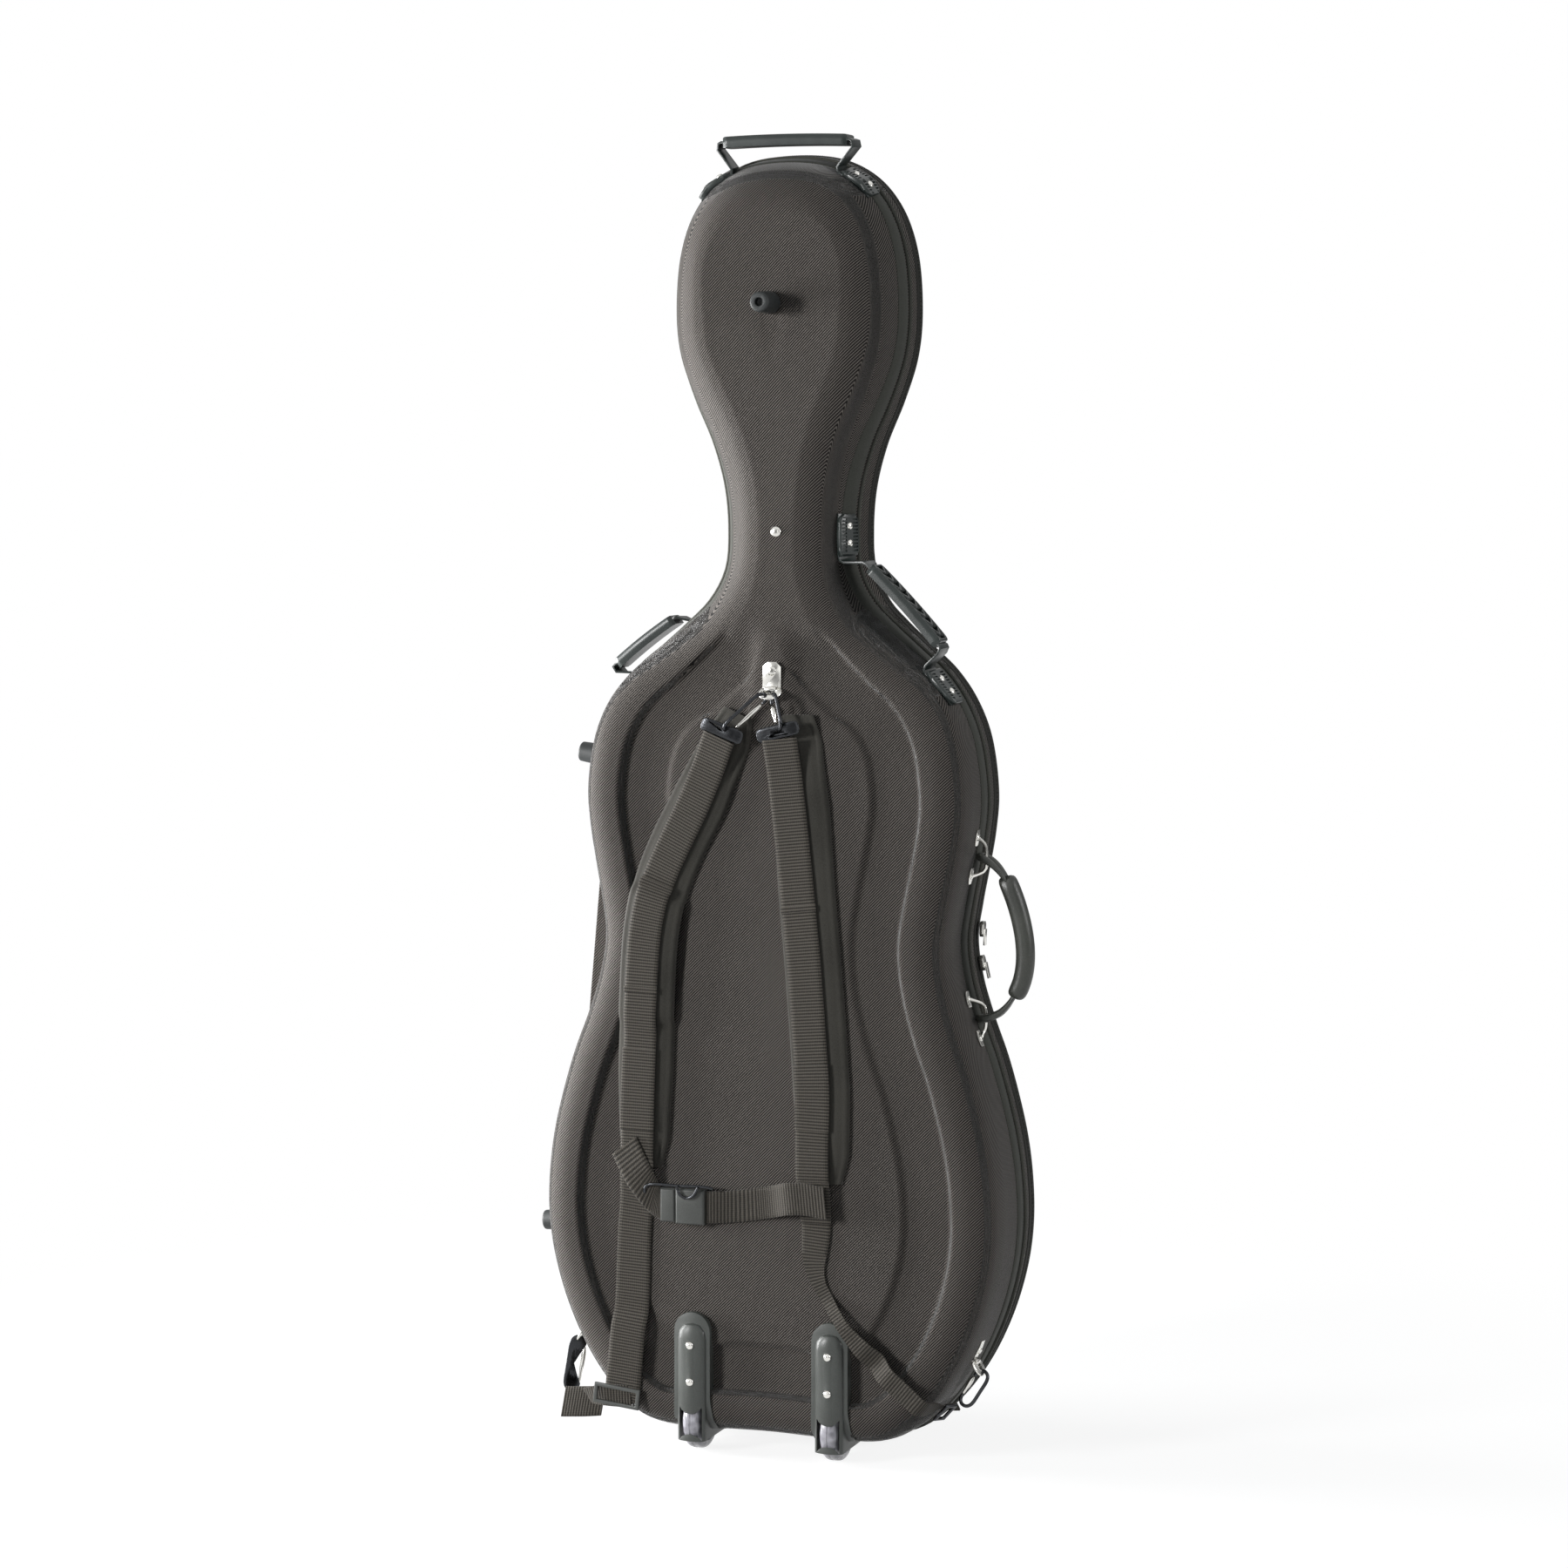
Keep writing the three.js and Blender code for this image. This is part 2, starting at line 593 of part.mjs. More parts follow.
// Plush linings one seat gap inside the shells
const LINING_EDGE = 1;
const LINING_GAP = 0.5;
function liningBody(innerOf) {
  const outer = innerOf(SHELL_WALL + LINING_GAP);
  const inner = innerOf(SHELL_WALL + LINING_GAP + LINING);
  return bowl([outer.floor, ...outer.rings.slice(1).reverse(), outer.edgeAt(LINING_EDGE),
    inner.edgeAt(LINING_EDGE), ...inner.rings.slice(1), inner.floor]);
}
add('back_lining', cut(liningBody(backInner), ...wellCuts), PLUSH);
add('lid_lining', liningBody(lidInner), PLUSH);

// Zip tapes with their rows of teeth, and the piping beside the back one
function outlineBand(section, side) {
  return loft(stations.map((station) => section.map(([inset, level]) => {
    const spot = insetPoint(station, inset);
    return vec(spot.x, side * level, spot.z);
  })), true);
}
const tapeSection = [[SHELL_WALL, ZIP_GAP], [-ZIP_PROUD, ZIP_GAP], [0, ZIP_BAND - SEAT_GAP],
  [SHELL_WALL, ZIP_BAND - SEAT_GAP]];
add('back_zip_tape', outlineBand(tapeSection, -1), EDGE_CLOTH);
add('lid_zip_tape', outlineBand(tapeSection, 1), EDGE_CLOTH);
const pipingShares = [[-1.5, 0], [-0.5, 1], [0.5, 1], [1.5, 0]];
add('back_piping', loft(stations.map((station) => pipingShares.map(([up, rise]) => {
  const level = PIPING_LEVEL + up * PIPING_HALF;
  const rows = [[0, 0], ...backSection(station.z).map(([place, share]) =>
    [share * backDepth(station.z), place * RIM_INSET])];
  const spot = insetPoint(station, readTable(rows, level) - PIPING_SEAT - PIPING_PROUD * rise);
  return vec(spot.x, -level, spot.z);
})), true), EDGE_CLOTH);

// Straight webs that bridge the waist on the hinge side, sewn to each shell's edge
const HINGE_CLEARANCE = 0.5;
const WEB_THICKNESS = 2.5;
const WEB_SEAT = 0.7;
const WEB_LEAST = 3;
const boutLine = (z) =>
  lerp(LOWER_HALF_WIDTH, UPPER_HALF_WIDTH, (z - LOWER_LEVEL) / (UPPER_LEVEL - LOWER_LEVEL));
const tapeRim = stations.map((station) => insetPoint(station, -ZIP_PROUD));
const hingeOut = Math.max(...tapeRim.map((spot) => -spot.x - boutLine(spot.z))) + HINGE_CLEARANCE;
const hingeAt = (z) => -boutLine(z) - hingeOut;
function hingeWeb(side) {
  const rings = [];
  stations.forEach((station) => {
    if (station.x > 0 || station.z < LOWER_LEVEL || station.z > UPPER_LEVEL) return;
    const inner = insetPoint(station, -ZIP_PROUD - SEAT_GAP);
    const outer = hingeAt(inner.z);
    if (inner.x - outer < WEB_LEAST) return;
    const [low, high] = [side * WEB_SEAT, side * (WEB_SEAT + WEB_THICKNESS)];
    rings.push([vec(inner.x, low, inner.z), vec(outer, low, inner.z), vec(outer, high, inner.z),
      vec(inner.x, high, inner.z)]);
  });
  return loft(rings);
}
add('back_hinge_web', hingeWeb(-1), TWILL);
add('lid_hinge_web', hingeWeb(1), TWILL);

// Domed rivet head, let a little way into what it holds
const RIVET_RADIUS = 4;
const RIVET_RISE = 2.6;
const RIVET_ROOT = 0.6;
const RIVET_SIDES = 8;
function dome(place, axis, radius = RIVET_RADIUS, rise = RIVET_RISE) {
  return turned([[0, -RIVET_ROOT], [radius, -RIVET_ROOT], [radius, rise * 0.35], [radius * 0.7, rise * 0.85],
    [0, rise]], place, axis, RIVET_SIDES);
}

// Wheel housings: a moulded flange that wraps under the case, a raised channel and a well
const HOUSING_TOP = 150;
const HOUSING_HALF = 20;
const HOUSING_FOOT_HALF = 25;
const HOUSING_FLARE_TOP = 60;
const HOUSING_SKIN = 2.6;
const HOUSING_WRAP = 50;
const HOUSING_FILL = 26;
const CHANNEL_HALF = 15.5;
const CHANNEL_RISE = 7;
const CHANNEL_TOP = 139;
const CHANNEL_DOME = 17;
const channelShares = [[0.9, 0.5], [0.55, 0.12], [0, 0]];
const RIVET_LEVELS = [77, 116];
const housingFace = LOWER_BACK_DEPTH + HOUSING_SKIN;
const housingFoot = BODY_CLEARANCE - HOUSING_SKIN;

function housingPlan(x) {
  const plan = new THREE.Shape();
  const round = HOUSING_TOP - HOUSING_HALF;
  plan.moveTo(0, x - HOUSING_FOOT_HALF);
  plan.lineTo(HOUSING_FLARE_TOP, x - HOUSING_HALF);
  plan.lineTo(round, x - HOUSING_HALF);
  plan.absarc(round, x, HOUSING_HALF, -Math.PI / 2, Math.PI / 2);
  plan.lineTo(HOUSING_FLARE_TOP, x + HOUSING_HALF);
  plan.lineTo(0, x + HOUSING_FOOT_HALF);
  return plan;
}

function channelBody(x) {
  const profile = [[0, housingFoot], [CHANNEL_HALF, housingFoot], [CHANNEL_HALF, CHANNEL_TOP - CHANNEL_DOME],
    ...channelShares.map(([across, down]) => [across * CHANNEL_HALF, CHANNEL_TOP - down * CHANNEL_DOME])];
  const body = turned(profile, vec(0, 0, 0), vec(0, 0, 1), 18);
  body.scale(1, CHANNEL_RISE / CHANNEL_HALF, 1);
  body.translate(x, -housingFace, 0);
  return body;
}

function housingBody(x) {
  const [low, high] = [x - HOUSING_FOOT_HALF, x + HOUSING_FOOT_HALF];
  const skin = fillBody(outerFace(backLevel, -1, backInsets, HOUSING_SKIN, spineEdges), -1, ZIP_BAND);
  const fill = block(vec(low, -housingFace, RIM_INSET + BODY_CLEARANCE),
    vec(high, -housingFace + HOUSING_FILL, HOUSING_TOP));
  const flange = common(prism(housingPlan(x), 'y', -housingFace, -HOUSING_WRAP, 6), join(skin, fill));
  const well = common(alongX(wellRadius + WELL_WALL, wellHalf + WELL_WALL, x),
    block(vec(low, -housingFace, housingFoot), vec(high, 0, HOUSING_TOP)));
  const outside = cut(join(flange, channelBody(x)), backKeep);
  const rivets = RIVET_LEVELS.map((z) => dome(vec(x, -housingFace - CHANNEL_RISE, z), vec(0, -1, 0)));
  return cut(join(outside, well, ...rivets), alongX(wellRadius, wellHalf, x),
    alongX(AXLE_RADIUS + AXLE_PLAY, HOUSING_FOOT_HALF, x, 12));
}

function wheelBody(x) {
  const half = WHEEL_WIDTH / 2;
  const bore = AXLE_RADIUS + AXLE_PLAY;
  const rim = WHEEL_RADIUS * RIM_SHARE;
  const dish = half * RIM_SHARE;
  const tread = WHEEL_RADIUS - TREAD_ROUND;
  const shoulder = half - TREAD_ROUND;
  return turned([[bore, -half], [HUB_RADIUS, -half], [HUB_RADIUS, -dish], [rim, -dish], [tread, -half],
    [WHEEL_RADIUS, -shoulder], [WHEEL_RADIUS, shoulder], [tread, half], [rim, dish], [HUB_RADIUS, dish],
    [HUB_RADIUS, half], [bore, half], [bore, -half]],
  vec(x, -WHEEL_SETBACK, WHEEL_RADIUS), vec(1, 0, 0), WHEEL_SIDES);
}

wheelSpots.forEach(([side, x]) => {
  add(`${side}_wheel_housing`, housingBody(x), PLASTIC);
  add(`${side}_wheel`, wheelBody(x), TYRE);
  add(`${side}_wheel_axle`, alongX(AXLE_RADIUS, wellHalf + WELL_WALL, x, 12), CHROME);
});

// Rubber feet under the lid side
const FOOT_CENTRE = 72;
const FOOT_DEPTH = 45;
const FOOT_RADIUS = 14;
const FOOT_HEIGHT = 60;
const FOOT_ROUND = 2;
[['left', -FOOT_CENTRE], ['right', FOOT_CENTRE]].forEach(([side, x]) => {
  const foot = turned([[0, 0], [FOOT_RADIUS - FOOT_ROUND, 0], [FOOT_RADIUS, FOOT_ROUND],
    [FOOT_RADIUS, FOOT_HEIGHT], [0, FOOT_HEIGHT]], vec(x, FOOT_DEPTH, 0), vec(0, 0, 1), 16);
  add(`${side}_lid_foot`, cut(foot, lidKeep), RUBBER);
});

// Studs that the case lies on: one behind the head, two on the hinge side
const STUD_RADIUS = 10.5;
const HEAD_STUD_LENGTH = 34;
const SIDE_STUD_LENGTH = 17;
const STUD_HOLE = 4.5;
const STUD_HOLE_DEPTH = 7;
const STUD_ROUND = 1.5;
const STUD_ROOT = 6;
const STUD_SIDES = 12;
const HEAD_STUD_LEVEL = 1203;
const SIDE_STUD_SHARE = 0.4;
const studRows = (length) => [[0, -STUD_ROOT], [STUD_RADIUS + STUD_ROUND, -STUD_ROOT],
  [STUD_RADIUS, length - STUD_ROUND], [STUD_RADIUS - STUD_ROUND, length], [STUD_HOLE, length],
  [STUD_HOLE, length - STUD_HOLE_DEPTH], [0, length - STUD_HOLE_DEPTH]];
const headStud = turned(studRows(HEAD_STUD_LENGTH), vec(0, -HEAD_BACK_DEPTH, HEAD_STUD_LEVEL),
  vec(0, -1, 0), STUD_SIDES);
add('head_stud', cut(headStud, backKeep), RUBBER);
[['upper', 727], ['lower', 222]].forEach(([place, z]) => {
  const frame = wallFrame(BACK, stationAtHeight(z, -1), SIDE_STUD_SHARE);
  const stud = turned(studRows(SIDE_STUD_LENGTH), frame.place, frame.out, STUD_SIDES);
  add(`${place}_side_stud`, cut(stud, backKeep), RUBBER);
});
const NECK_SCREW_RADIUS = 6.2;
const NECK_SCREW_RISE = 3.6;
const neckScrewPlace = vec(0, backFace(0, NECK_LEVEL), NECK_LEVEL);
add('neck_screw', cut(dome(neckScrewPlace, vec(0, -1, 0), NECK_SCREW_RADIUS, NECK_SCREW_RISE), backKeep), CHROME);

// Carry handles: a strap riveted to the wall at both ends under moulded tabs, through a grip
const STRAP_WIDTH = 24;
const STRAP_THICKNESS = 2.4;
const TAB_LENGTH = 42;
const TAB_THICKNESS = 4;
const tabWidths = [22, 28, 28, 26, 14];
const eyeletShares = [0.3, 0.7];
const GRIP_THICKNESS = 11;
const GRIP_WIDTH = 28;
const GRIP_BOW = 3;
const SLOT_DEPTH = 2.4;
const EYELET_RADIUS = 3.4;
const EYELET_RISE = 1.8;
const LEAVE_RUN = 5;
const CURL_OUT = 6.5;
const CURL_DROP = 5;
const stationPitch = outlineCurve().getLength() / RING_POINTS;

// One end of a handle strap, from the tab's far end to where it enters the grip
function strapEnd(shell, end) {
  const far = end.at + (end.towards * TAB_LENGTH) / stationPitch;
  const rows = [1, 0.66, 0.33, 0].map((share) => {
    const frame = wallFrame(shell, lerp(end.at, far, share), end.share);
    return { at: frame.place.addScaledVector(frame.out, KEEP_GAP), across: toward(frame.across), out: frame.out };
  });
  const frame = wallFrame(shell, end.at, end.share);
  const leave = frame.along.clone().multiplyScalar(-end.towards);
  const root = rows[3].at;
  const inwards = end.inwards;
  const points = [root.clone(),
    root.clone().addScaledVector(leave, LEAVE_RUN).addScaledVector(frame.out, LEAVE_RUN * 0.2),
    root.clone().addScaledVector(leave, LEAVE_RUN * 1.5).addScaledVector(frame.out, LEAVE_RUN * 1.2),
    end.grip.clone().addScaledVector(inwards, -CURL_OUT).addScaledVector(end.rise, -CURL_DROP * end.curl),
    end.grip.clone().addScaledVector(inwards, -CURL_OUT * 0.6),
    end.grip.clone().addScaledVector(inwards, 1)];
  const path = new THREE.CatmullRomCurve3(points, false, 'centripetal');
  const sense = Math.sign(path.getTangent(0).cross(rows[3].across).dot(frame.out));
  bendShares.forEach((share) => {
    const across = rows[3].across.clone().lerp(vec(0, 1, 0), share).normalize();
    const out = path.getTangent(share).cross(across).multiplyScalar(sense).normalize();
    rows.push({ at: path.getPoint(share), across, out });
  });
  const tabRows = tabWidths.map((width, k) => {
    const spot = wallFrame(shell, lerp(end.at, far, k / (tabWidths.length - 1)), end.share);
    const lift = KEEP_GAP + STRAP_THICKNESS - RIVET_ROOT;
    return { at: spot.place.addScaledVector(spot.out, lift), across: toward(spot.across), out: spot.out, width };
  });
  const eyelets = eyeletShares.map((share) => {
    const spot = wallFrame(shell, lerp(end.at, far, share), end.share);
    const lift = KEEP_GAP + STRAP_THICKNESS - RIVET_ROOT + TAB_THICKNESS;
    return dome(spot.place.addScaledVector(spot.out, lift), spot.out, EYELET_RADIUS, EYELET_RISE);
  });
  return { rows, tab: strip(tabRows, TAB_THICKNESS), eyelets };
}

const bendShares = [0.2, 0.4, 0.58, 0.74, 0.87, 1];
const gripShares = [0.33, 0.67];
const toward = (across) => (across.y < 0 ? across.clone().negate() : across.clone());

function gripBody(from, to, out, slots) {
  const along = to.clone().sub(from).normalize();
  const length = from.distanceTo(to);
  const half = GRIP_THICKNESS / 2;
  const shape = new THREE.Shape();
  shape.moveTo(0, -half);
  shape.quadraticCurveTo(length / 2, -half + GRIP_BOW, length, -half);
  shape.lineTo(length, half);
  shape.quadraticCurveTo(length / 2, half + GRIP_BOW, 0, half);
  const bevel = GRIP_THICKNESS * 0.2;
  const body = new THREE.ExtrudeGeometry(shape, {
    depth: GRIP_WIDTH - 2 * bevel, bevelEnabled: true, bevelSize: bevel, bevelThickness: bevel,
    bevelOffset: -bevel, bevelSegments: 1, curveSegments: 6,
  });
  body.translate(0, 0, bevel - GRIP_WIDTH / 2);
  const pitch = length / (slots + 2);
  const cuts = Array.from({ length: slots }, (_, k) => {
    const centre = pitch * (k + 1.5);
    const top = half + GRIP_BOW / 2;
    return block(vec(centre - pitch * 0.22, top - SLOT_DEPTH, -GRIP_WIDTH * 0.32),
      vec(centre + pitch * 0.22, top + GRIP_BOW, GRIP_WIDTH * 0.32));
  });
  const grip = cut(body, ...cuts);
  grip.applyMatrix4(new THREE.Matrix4().makeBasis(along, out, along.clone().cross(out)).setPosition(from));
  return grip;
}

function addHandle(name, shell, keep, ends, slots) {
  const [from, to] = ends.map((end) => end.grip);
  const along = to.clone().sub(from).normalize();
  const rise = along.clone().cross(vec(0, 1, 0)).normalize();
  if (rise.x * (from.x + to.x) + rise.z * (from.z + to.z - NECK_LEVEL) < 0) rise.negate();
  const [first, last] = ends.map((end, i) =>
    strapEnd(shell, { ...end, rise, inwards: along.clone().multiplyScalar(i === 0 ? 1 : -1) }));
  const middle = gripShares.map((share) => ({
    at: from.clone().lerp(to, share).addScaledVector(rise, 2 * GRIP_BOW * share * (1 - share)),
    across: vec(0, 1, 0), out: rise,
  }));
  const rows = [...first.rows, ...middle, ...last.rows.slice().reverse()].map((row) => ({
    ...row, width: STRAP_WIDTH, at: row.at.clone(),
  }));
  const reach = first.rows.length - 4;
  rows.forEach((row, k) => {
    const run = Math.min(k - 3, rows.length - 4 - k) / reach;
    row.at.addScaledVector(row.out, (-STRAP_THICKNESS / 2) * THREE.MathUtils.clamp(run, 0, 1));
  });
  const core = rows.map((row) => ({
    ...row, width: STRAP_WIDTH + 2 * SEAT_GAP, at: row.at.clone().addScaledVector(row.out, -SEAT_GAP),
  }));
  const grip = cut(gripBody(from, to, rise, slots), strip(core, STRAP_THICKNESS + 2 * SEAT_GAP));
  const strap = join(strip(rows, STRAP_THICKNESS), first.tab, last.tab, ...first.eyelets, ...last.eyelets);
  add(`${name}_strap`, cut(strap, keep), WEBBING);
  add(`${name}_grip`, grip, PLASTIC);
}

const TOP_GRIP_HALF = 68;
const TOP_GRIP_LEVEL = CASE_TOP + 13;
const TOP_TAB_LEVEL = 1342;
const TOP_SHARE = 0.43;
const topDepth = TOP_SHARE * HEAD_BACK_DEPTH;
addHandle('top_handle', BACK, backKeep, [
  { at: stationAtHeight(TOP_TAB_LEVEL, -1), towards: -1, share: TOP_SHARE, curl: 1,
    grip: vec(-TOP_GRIP_HALF, -topDepth, TOP_GRIP_LEVEL) },
  { at: stationAtHeight(TOP_TAB_LEVEL, 1), towards: 1, share: TOP_SHARE, curl: 1,
    grip: vec(TOP_GRIP_HALF, -topDepth, TOP_GRIP_LEVEL) },
], 7);
const SHOULDER_UPPER_TAB = 944;
const SHOULDER_LOWER_TAB = 826;
const SHOULDER_UPPER_SHARE = 0.52;
const SHOULDER_LOWER_SHARE = 0.62;
addHandle('shoulder_handle', BACK, backKeep, [
  { at: stationAtHeight(SHOULDER_UPPER_TAB, 1), towards: -1, share: SHOULDER_UPPER_SHARE, curl: 0,
    grip: vec(97, -50, 931) },
  { at: stationAtHeight(SHOULDER_LOWER_TAB, 1), towards: 1, share: SHOULDER_LOWER_SHARE, curl: 1,
    grip: vec(173, -56, 854) },
], 6);
const LID_SHARE = 0.34;
const LID_UPPER_TAB = 872;
const LID_LOWER_TAB = 806;
const LID_GRIP_DEPTH = 25;
addHandle('lid_handle', LID, lidKeep, [
  { at: stationAtHeight(LID_UPPER_TAB, -1), towards: 1, share: LID_SHARE, curl: 1,
    grip: vec(-151, LID_GRIP_DEPTH, 870) },
  { at: stationAtHeight(LID_LOWER_TAB, -1), towards: -1, share: LID_SHARE, curl: 1,
    grip: vec(-216, LID_GRIP_DEPTH, 821) },
], 4);

// Side handle: two brackets, a looped core that swings in them and a leather sleeve
const SIDE_HANDLE_OUT = 220;
const SIDE_HANDLE_DEPTH = 48;
const SIDE_SHARE = 0.47;
const BRIDGE_RADIUS = 2;
const PLATE_THICKNESS = 1.5;
const plateWidths = [7, 10, 10, 7];
const PLATE_LENGTH = 17;
const PLATE_SINK = 0.3;
const EYE_RADIUS = 6.5;
const EYE_HALF = 5;
const CORE_RADIUS = 5;
const SLEEVE_RADIUS = 10;
const bridgeLevels = [634, 466];
const FEET_APART = 20;
const BRIDGE_HALF = 12;

function wallPlate(at, half, share) {
  const rows = plateWidths.map((width, k) => {
    const spot = wallFrame(BACK, at + lerp(-half, half, k / (plateWidths.length - 1)) / stationPitch, share);
    return { at: spot.place.addScaledVector(spot.out, KEEP_GAP), across: spot.across, out: spot.out, width };
  });
  return strip(rows, PLATE_THICKNESS);
}

function bracketBody(z) {
  const plates = [z + FEET_APART, z - FEET_APART].flatMap((level) => {
    const at = stationAtHeight(level, 1);
    const spot = wallFrame(BACK, at, SIDE_SHARE);
    const face = spot.place.clone().addScaledVector(spot.out, KEEP_GAP + PLATE_THICKNESS);
    return [wallPlate(at, PLATE_LENGTH / 2, SIDE_SHARE), dome(face, spot.out, EYELET_RADIUS, EYELET_RISE)];
  });
  const [high, low] = [z + FEET_APART, z - FEET_APART].map((level) => {
    const spot = wallFrame(BACK, stationAtHeight(level, 1), SIDE_SHARE);
    return spot.place.addScaledVector(spot.out, KEEP_GAP + BRIDGE_RADIUS - PLATE_SINK);
  });
  const bridge = bar([high, vec(SIDE_HANDLE_OUT - 2, -SIDE_HANDLE_DEPTH, z + BRIDGE_HALF + 2),
    vec(SIDE_HANDLE_OUT, -SIDE_HANDLE_DEPTH, z + BRIDGE_HALF - 3), vec(SIDE_HANDLE_OUT, -SIDE_HANDLE_DEPTH, z),
    vec(SIDE_HANDLE_OUT, -SIDE_HANDLE_DEPTH, z - BRIDGE_HALF + 3),
    vec(SIDE_HANDLE_OUT - 2, -SIDE_HANDLE_DEPTH, z - BRIDGE_HALF - 2), low], BRIDGE_RADIUS, 6, 12);
  return cut(join(bridge, ...plates), backKeep);
}
const ringBody = (place, axis, bore, outer, half, sides = 12) =>
  turned([[bore, -half], [outer, -half], [outer, half], [bore, half], [bore, -half]], place, axis, sides);
const handlePath = [vec(226, -48, 634), vec(238, -48, 620), vec(251, -48, 592), vec(260, -48, 560),
  vec(263, -48, 530), vec(258, -48, 502), vec(245, -48, 481), vec(226, -48, 466)];
const eyes = bridgeLevels.map((z) => ringBody(vec(SIDE_HANDLE_OUT, -SIDE_HANDLE_DEPTH, z), vec(0, 0, 1),
  BRIDGE_RADIUS + AXLE_PLAY, EYE_RADIUS, EYE_HALF));
const handleCore = bar(handlePath, CORE_RADIUS, 8, 18);
const eyeBores = bridgeLevels.map((z) => turned([[0, -2 * EYE_HALF], [BRIDGE_RADIUS + AXLE_PLAY, -2 * EYE_HALF],
  [BRIDGE_RADIUS + AXLE_PLAY, 2 * EYE_HALF], [0, 2 * EYE_HALF]], vec(SIDE_HANDLE_OUT, -SIDE_HANDLE_DEPTH, z),
vec(0, 0, 1), 12));
add('upper_handle_bracket', bracketBody(bridgeLevels[0]), CHROME);
add('lower_handle_bracket', bracketBody(bridgeLevels[1]), CHROME);
add('side_handle_core', cut(join(handleCore, ...eyes), ...eyeBores), LEATHER);
const sleeveRun = new THREE.CatmullRomCurve3(handlePath, false, 'centripetal');
const sleeveShares = [0.17, 0.27, 0.38, 0.49, 0.6, 0.71, 0.8];
const sleevePath = sleeveShares.map((share) => sleeveRun.getPoint(share));
add('side_handle_sleeve', cut(bar(sleevePath, SLEEVE_RADIUS, 10, 10),
  bar(handlePath, CORE_RADIUS + SEAT_GAP, 8, 18)), LEATHER);

// Zip sliders with their pulls, clear of the teeth on the waist
const SLIDER_GAP = 1.1;
const SLIDER_THICKNESS = 6;
const SLIDER_HALF = 5;
const SLIDER_LENGTH = 16;
const PULL_LENGTH = 17;
const PULL_THICKNESS = 2;
const sliderShape = [[-1, -0.6], [-0.6, -1], [0.6, -1], [1, -0.6], [1, 0.6], [0.6, 1], [-0.6, 1], [-1, 0.6]];
function sliderBody(z, sense) {
  const face = 0;
  const plan = new THREE.Shape(sliderShape.map(([across, up]) =>
    new THREE.Vector2(across * SLIDER_HALF, z + up * SLIDER_LENGTH / 2)));
  const pull = block(vec(face + SLIDER_THICKNESS - PULL_THICKNESS, -SLIDER_HALF * 0.6,
    sense > 0 ? z - PULL_LENGTH : z), vec(face + SLIDER_THICKNESS, SLIDER_HALF * 0.6,
    sense > 0 ? z : z + PULL_LENGTH));
  return { body: prism(plan, 'x', face, face + SLIDER_THICKNESS * 0.7), pull };
}

// Strap plate on the spine and its ring
const WIRE_RADIUS = 1.8;
const PLATE_CENTRE = 2.3;
const PLATE_HIGH = 834;
const PLATE_LOW = 809;
const STRAP_PLATE_HALF = 10;
const LOOP_OUTER = 3.6;
const LOOP_BORE = 2.2;
const LOOP_HALF = 6;
const RING_HALF = 11;
const RING_DROP = 13;

function dRing(centre, across, fall, half = RING_HALF, drop = RING_DROP) {
  const shares = [[-0.92, 0], [0, 0], [0.92, 0], [1, 0.14], [1, 0.45], [0.7, 0.85], [0, 1], [-0.7, 0.85],
    [-1, 0.45], [-1, 0.14]];
  return hoop(shares.map(([side, down]) => centre.clone().addScaledVector(across, side * half)
    .addScaledVector(fall, down * drop)), WIRE_RADIUS, 6, 20);
}

const spineFace = backFace(PLATE_CENTRE, PLATE_LOW) - KEEP_GAP;
const strapPlate = new THREE.Shape();
strapPlate.moveTo(PLATE_LOW - LOOP_OUTER, PLATE_CENTRE - STRAP_PLATE_HALF);
strapPlate.lineTo(PLATE_HIGH - STRAP_PLATE_HALF / 2, PLATE_CENTRE - STRAP_PLATE_HALF);
strapPlate.lineTo(PLATE_HIGH, PLATE_CENTRE - STRAP_PLATE_HALF / 2);
strapPlate.lineTo(PLATE_HIGH, PLATE_CENTRE + STRAP_PLATE_HALF / 2);
strapPlate.lineTo(PLATE_HIGH - STRAP_PLATE_HALF / 2, PLATE_CENTRE + STRAP_PLATE_HALF);
strapPlate.lineTo(PLATE_LOW - LOOP_OUTER, PLATE_CENTRE + STRAP_PLATE_HALF);
const plateLoop = vec(PLATE_CENTRE, spineFace - LOOP_OUTER, PLATE_LOW - LOOP_OUTER);
add('strap_plate', cut(join(prism(strapPlate, 'y', spineFace - PLATE_THICKNESS, spineFace + RIVET_ROOT),
  ringBody(plateLoop, vec(1, 0, 0), LOOP_BORE, LOOP_OUTER, LOOP_HALF),
  dome(vec(PLATE_CENTRE, spineFace - PLATE_THICKNESS, (PLATE_HIGH + PLATE_LOW) / 2 + 3), vec(0, -1, 0),
    RIVET_RADIUS + 1)), backKeep,
turned([[0, -LOOP_HALF * 3], [LOOP_BORE, -LOOP_HALF * 3], [LOOP_BORE, LOOP_HALF * 3], [0, LOOP_HALF * 3]],
  plateLoop, vec(1, 0, 0), 12)), CHROME);
const ringFall = vec(0, -0.75, -0.66).normalize();
add('strap_ring', dRing(plateLoop, vec(1, 0, 0), ringFall), CHROME);

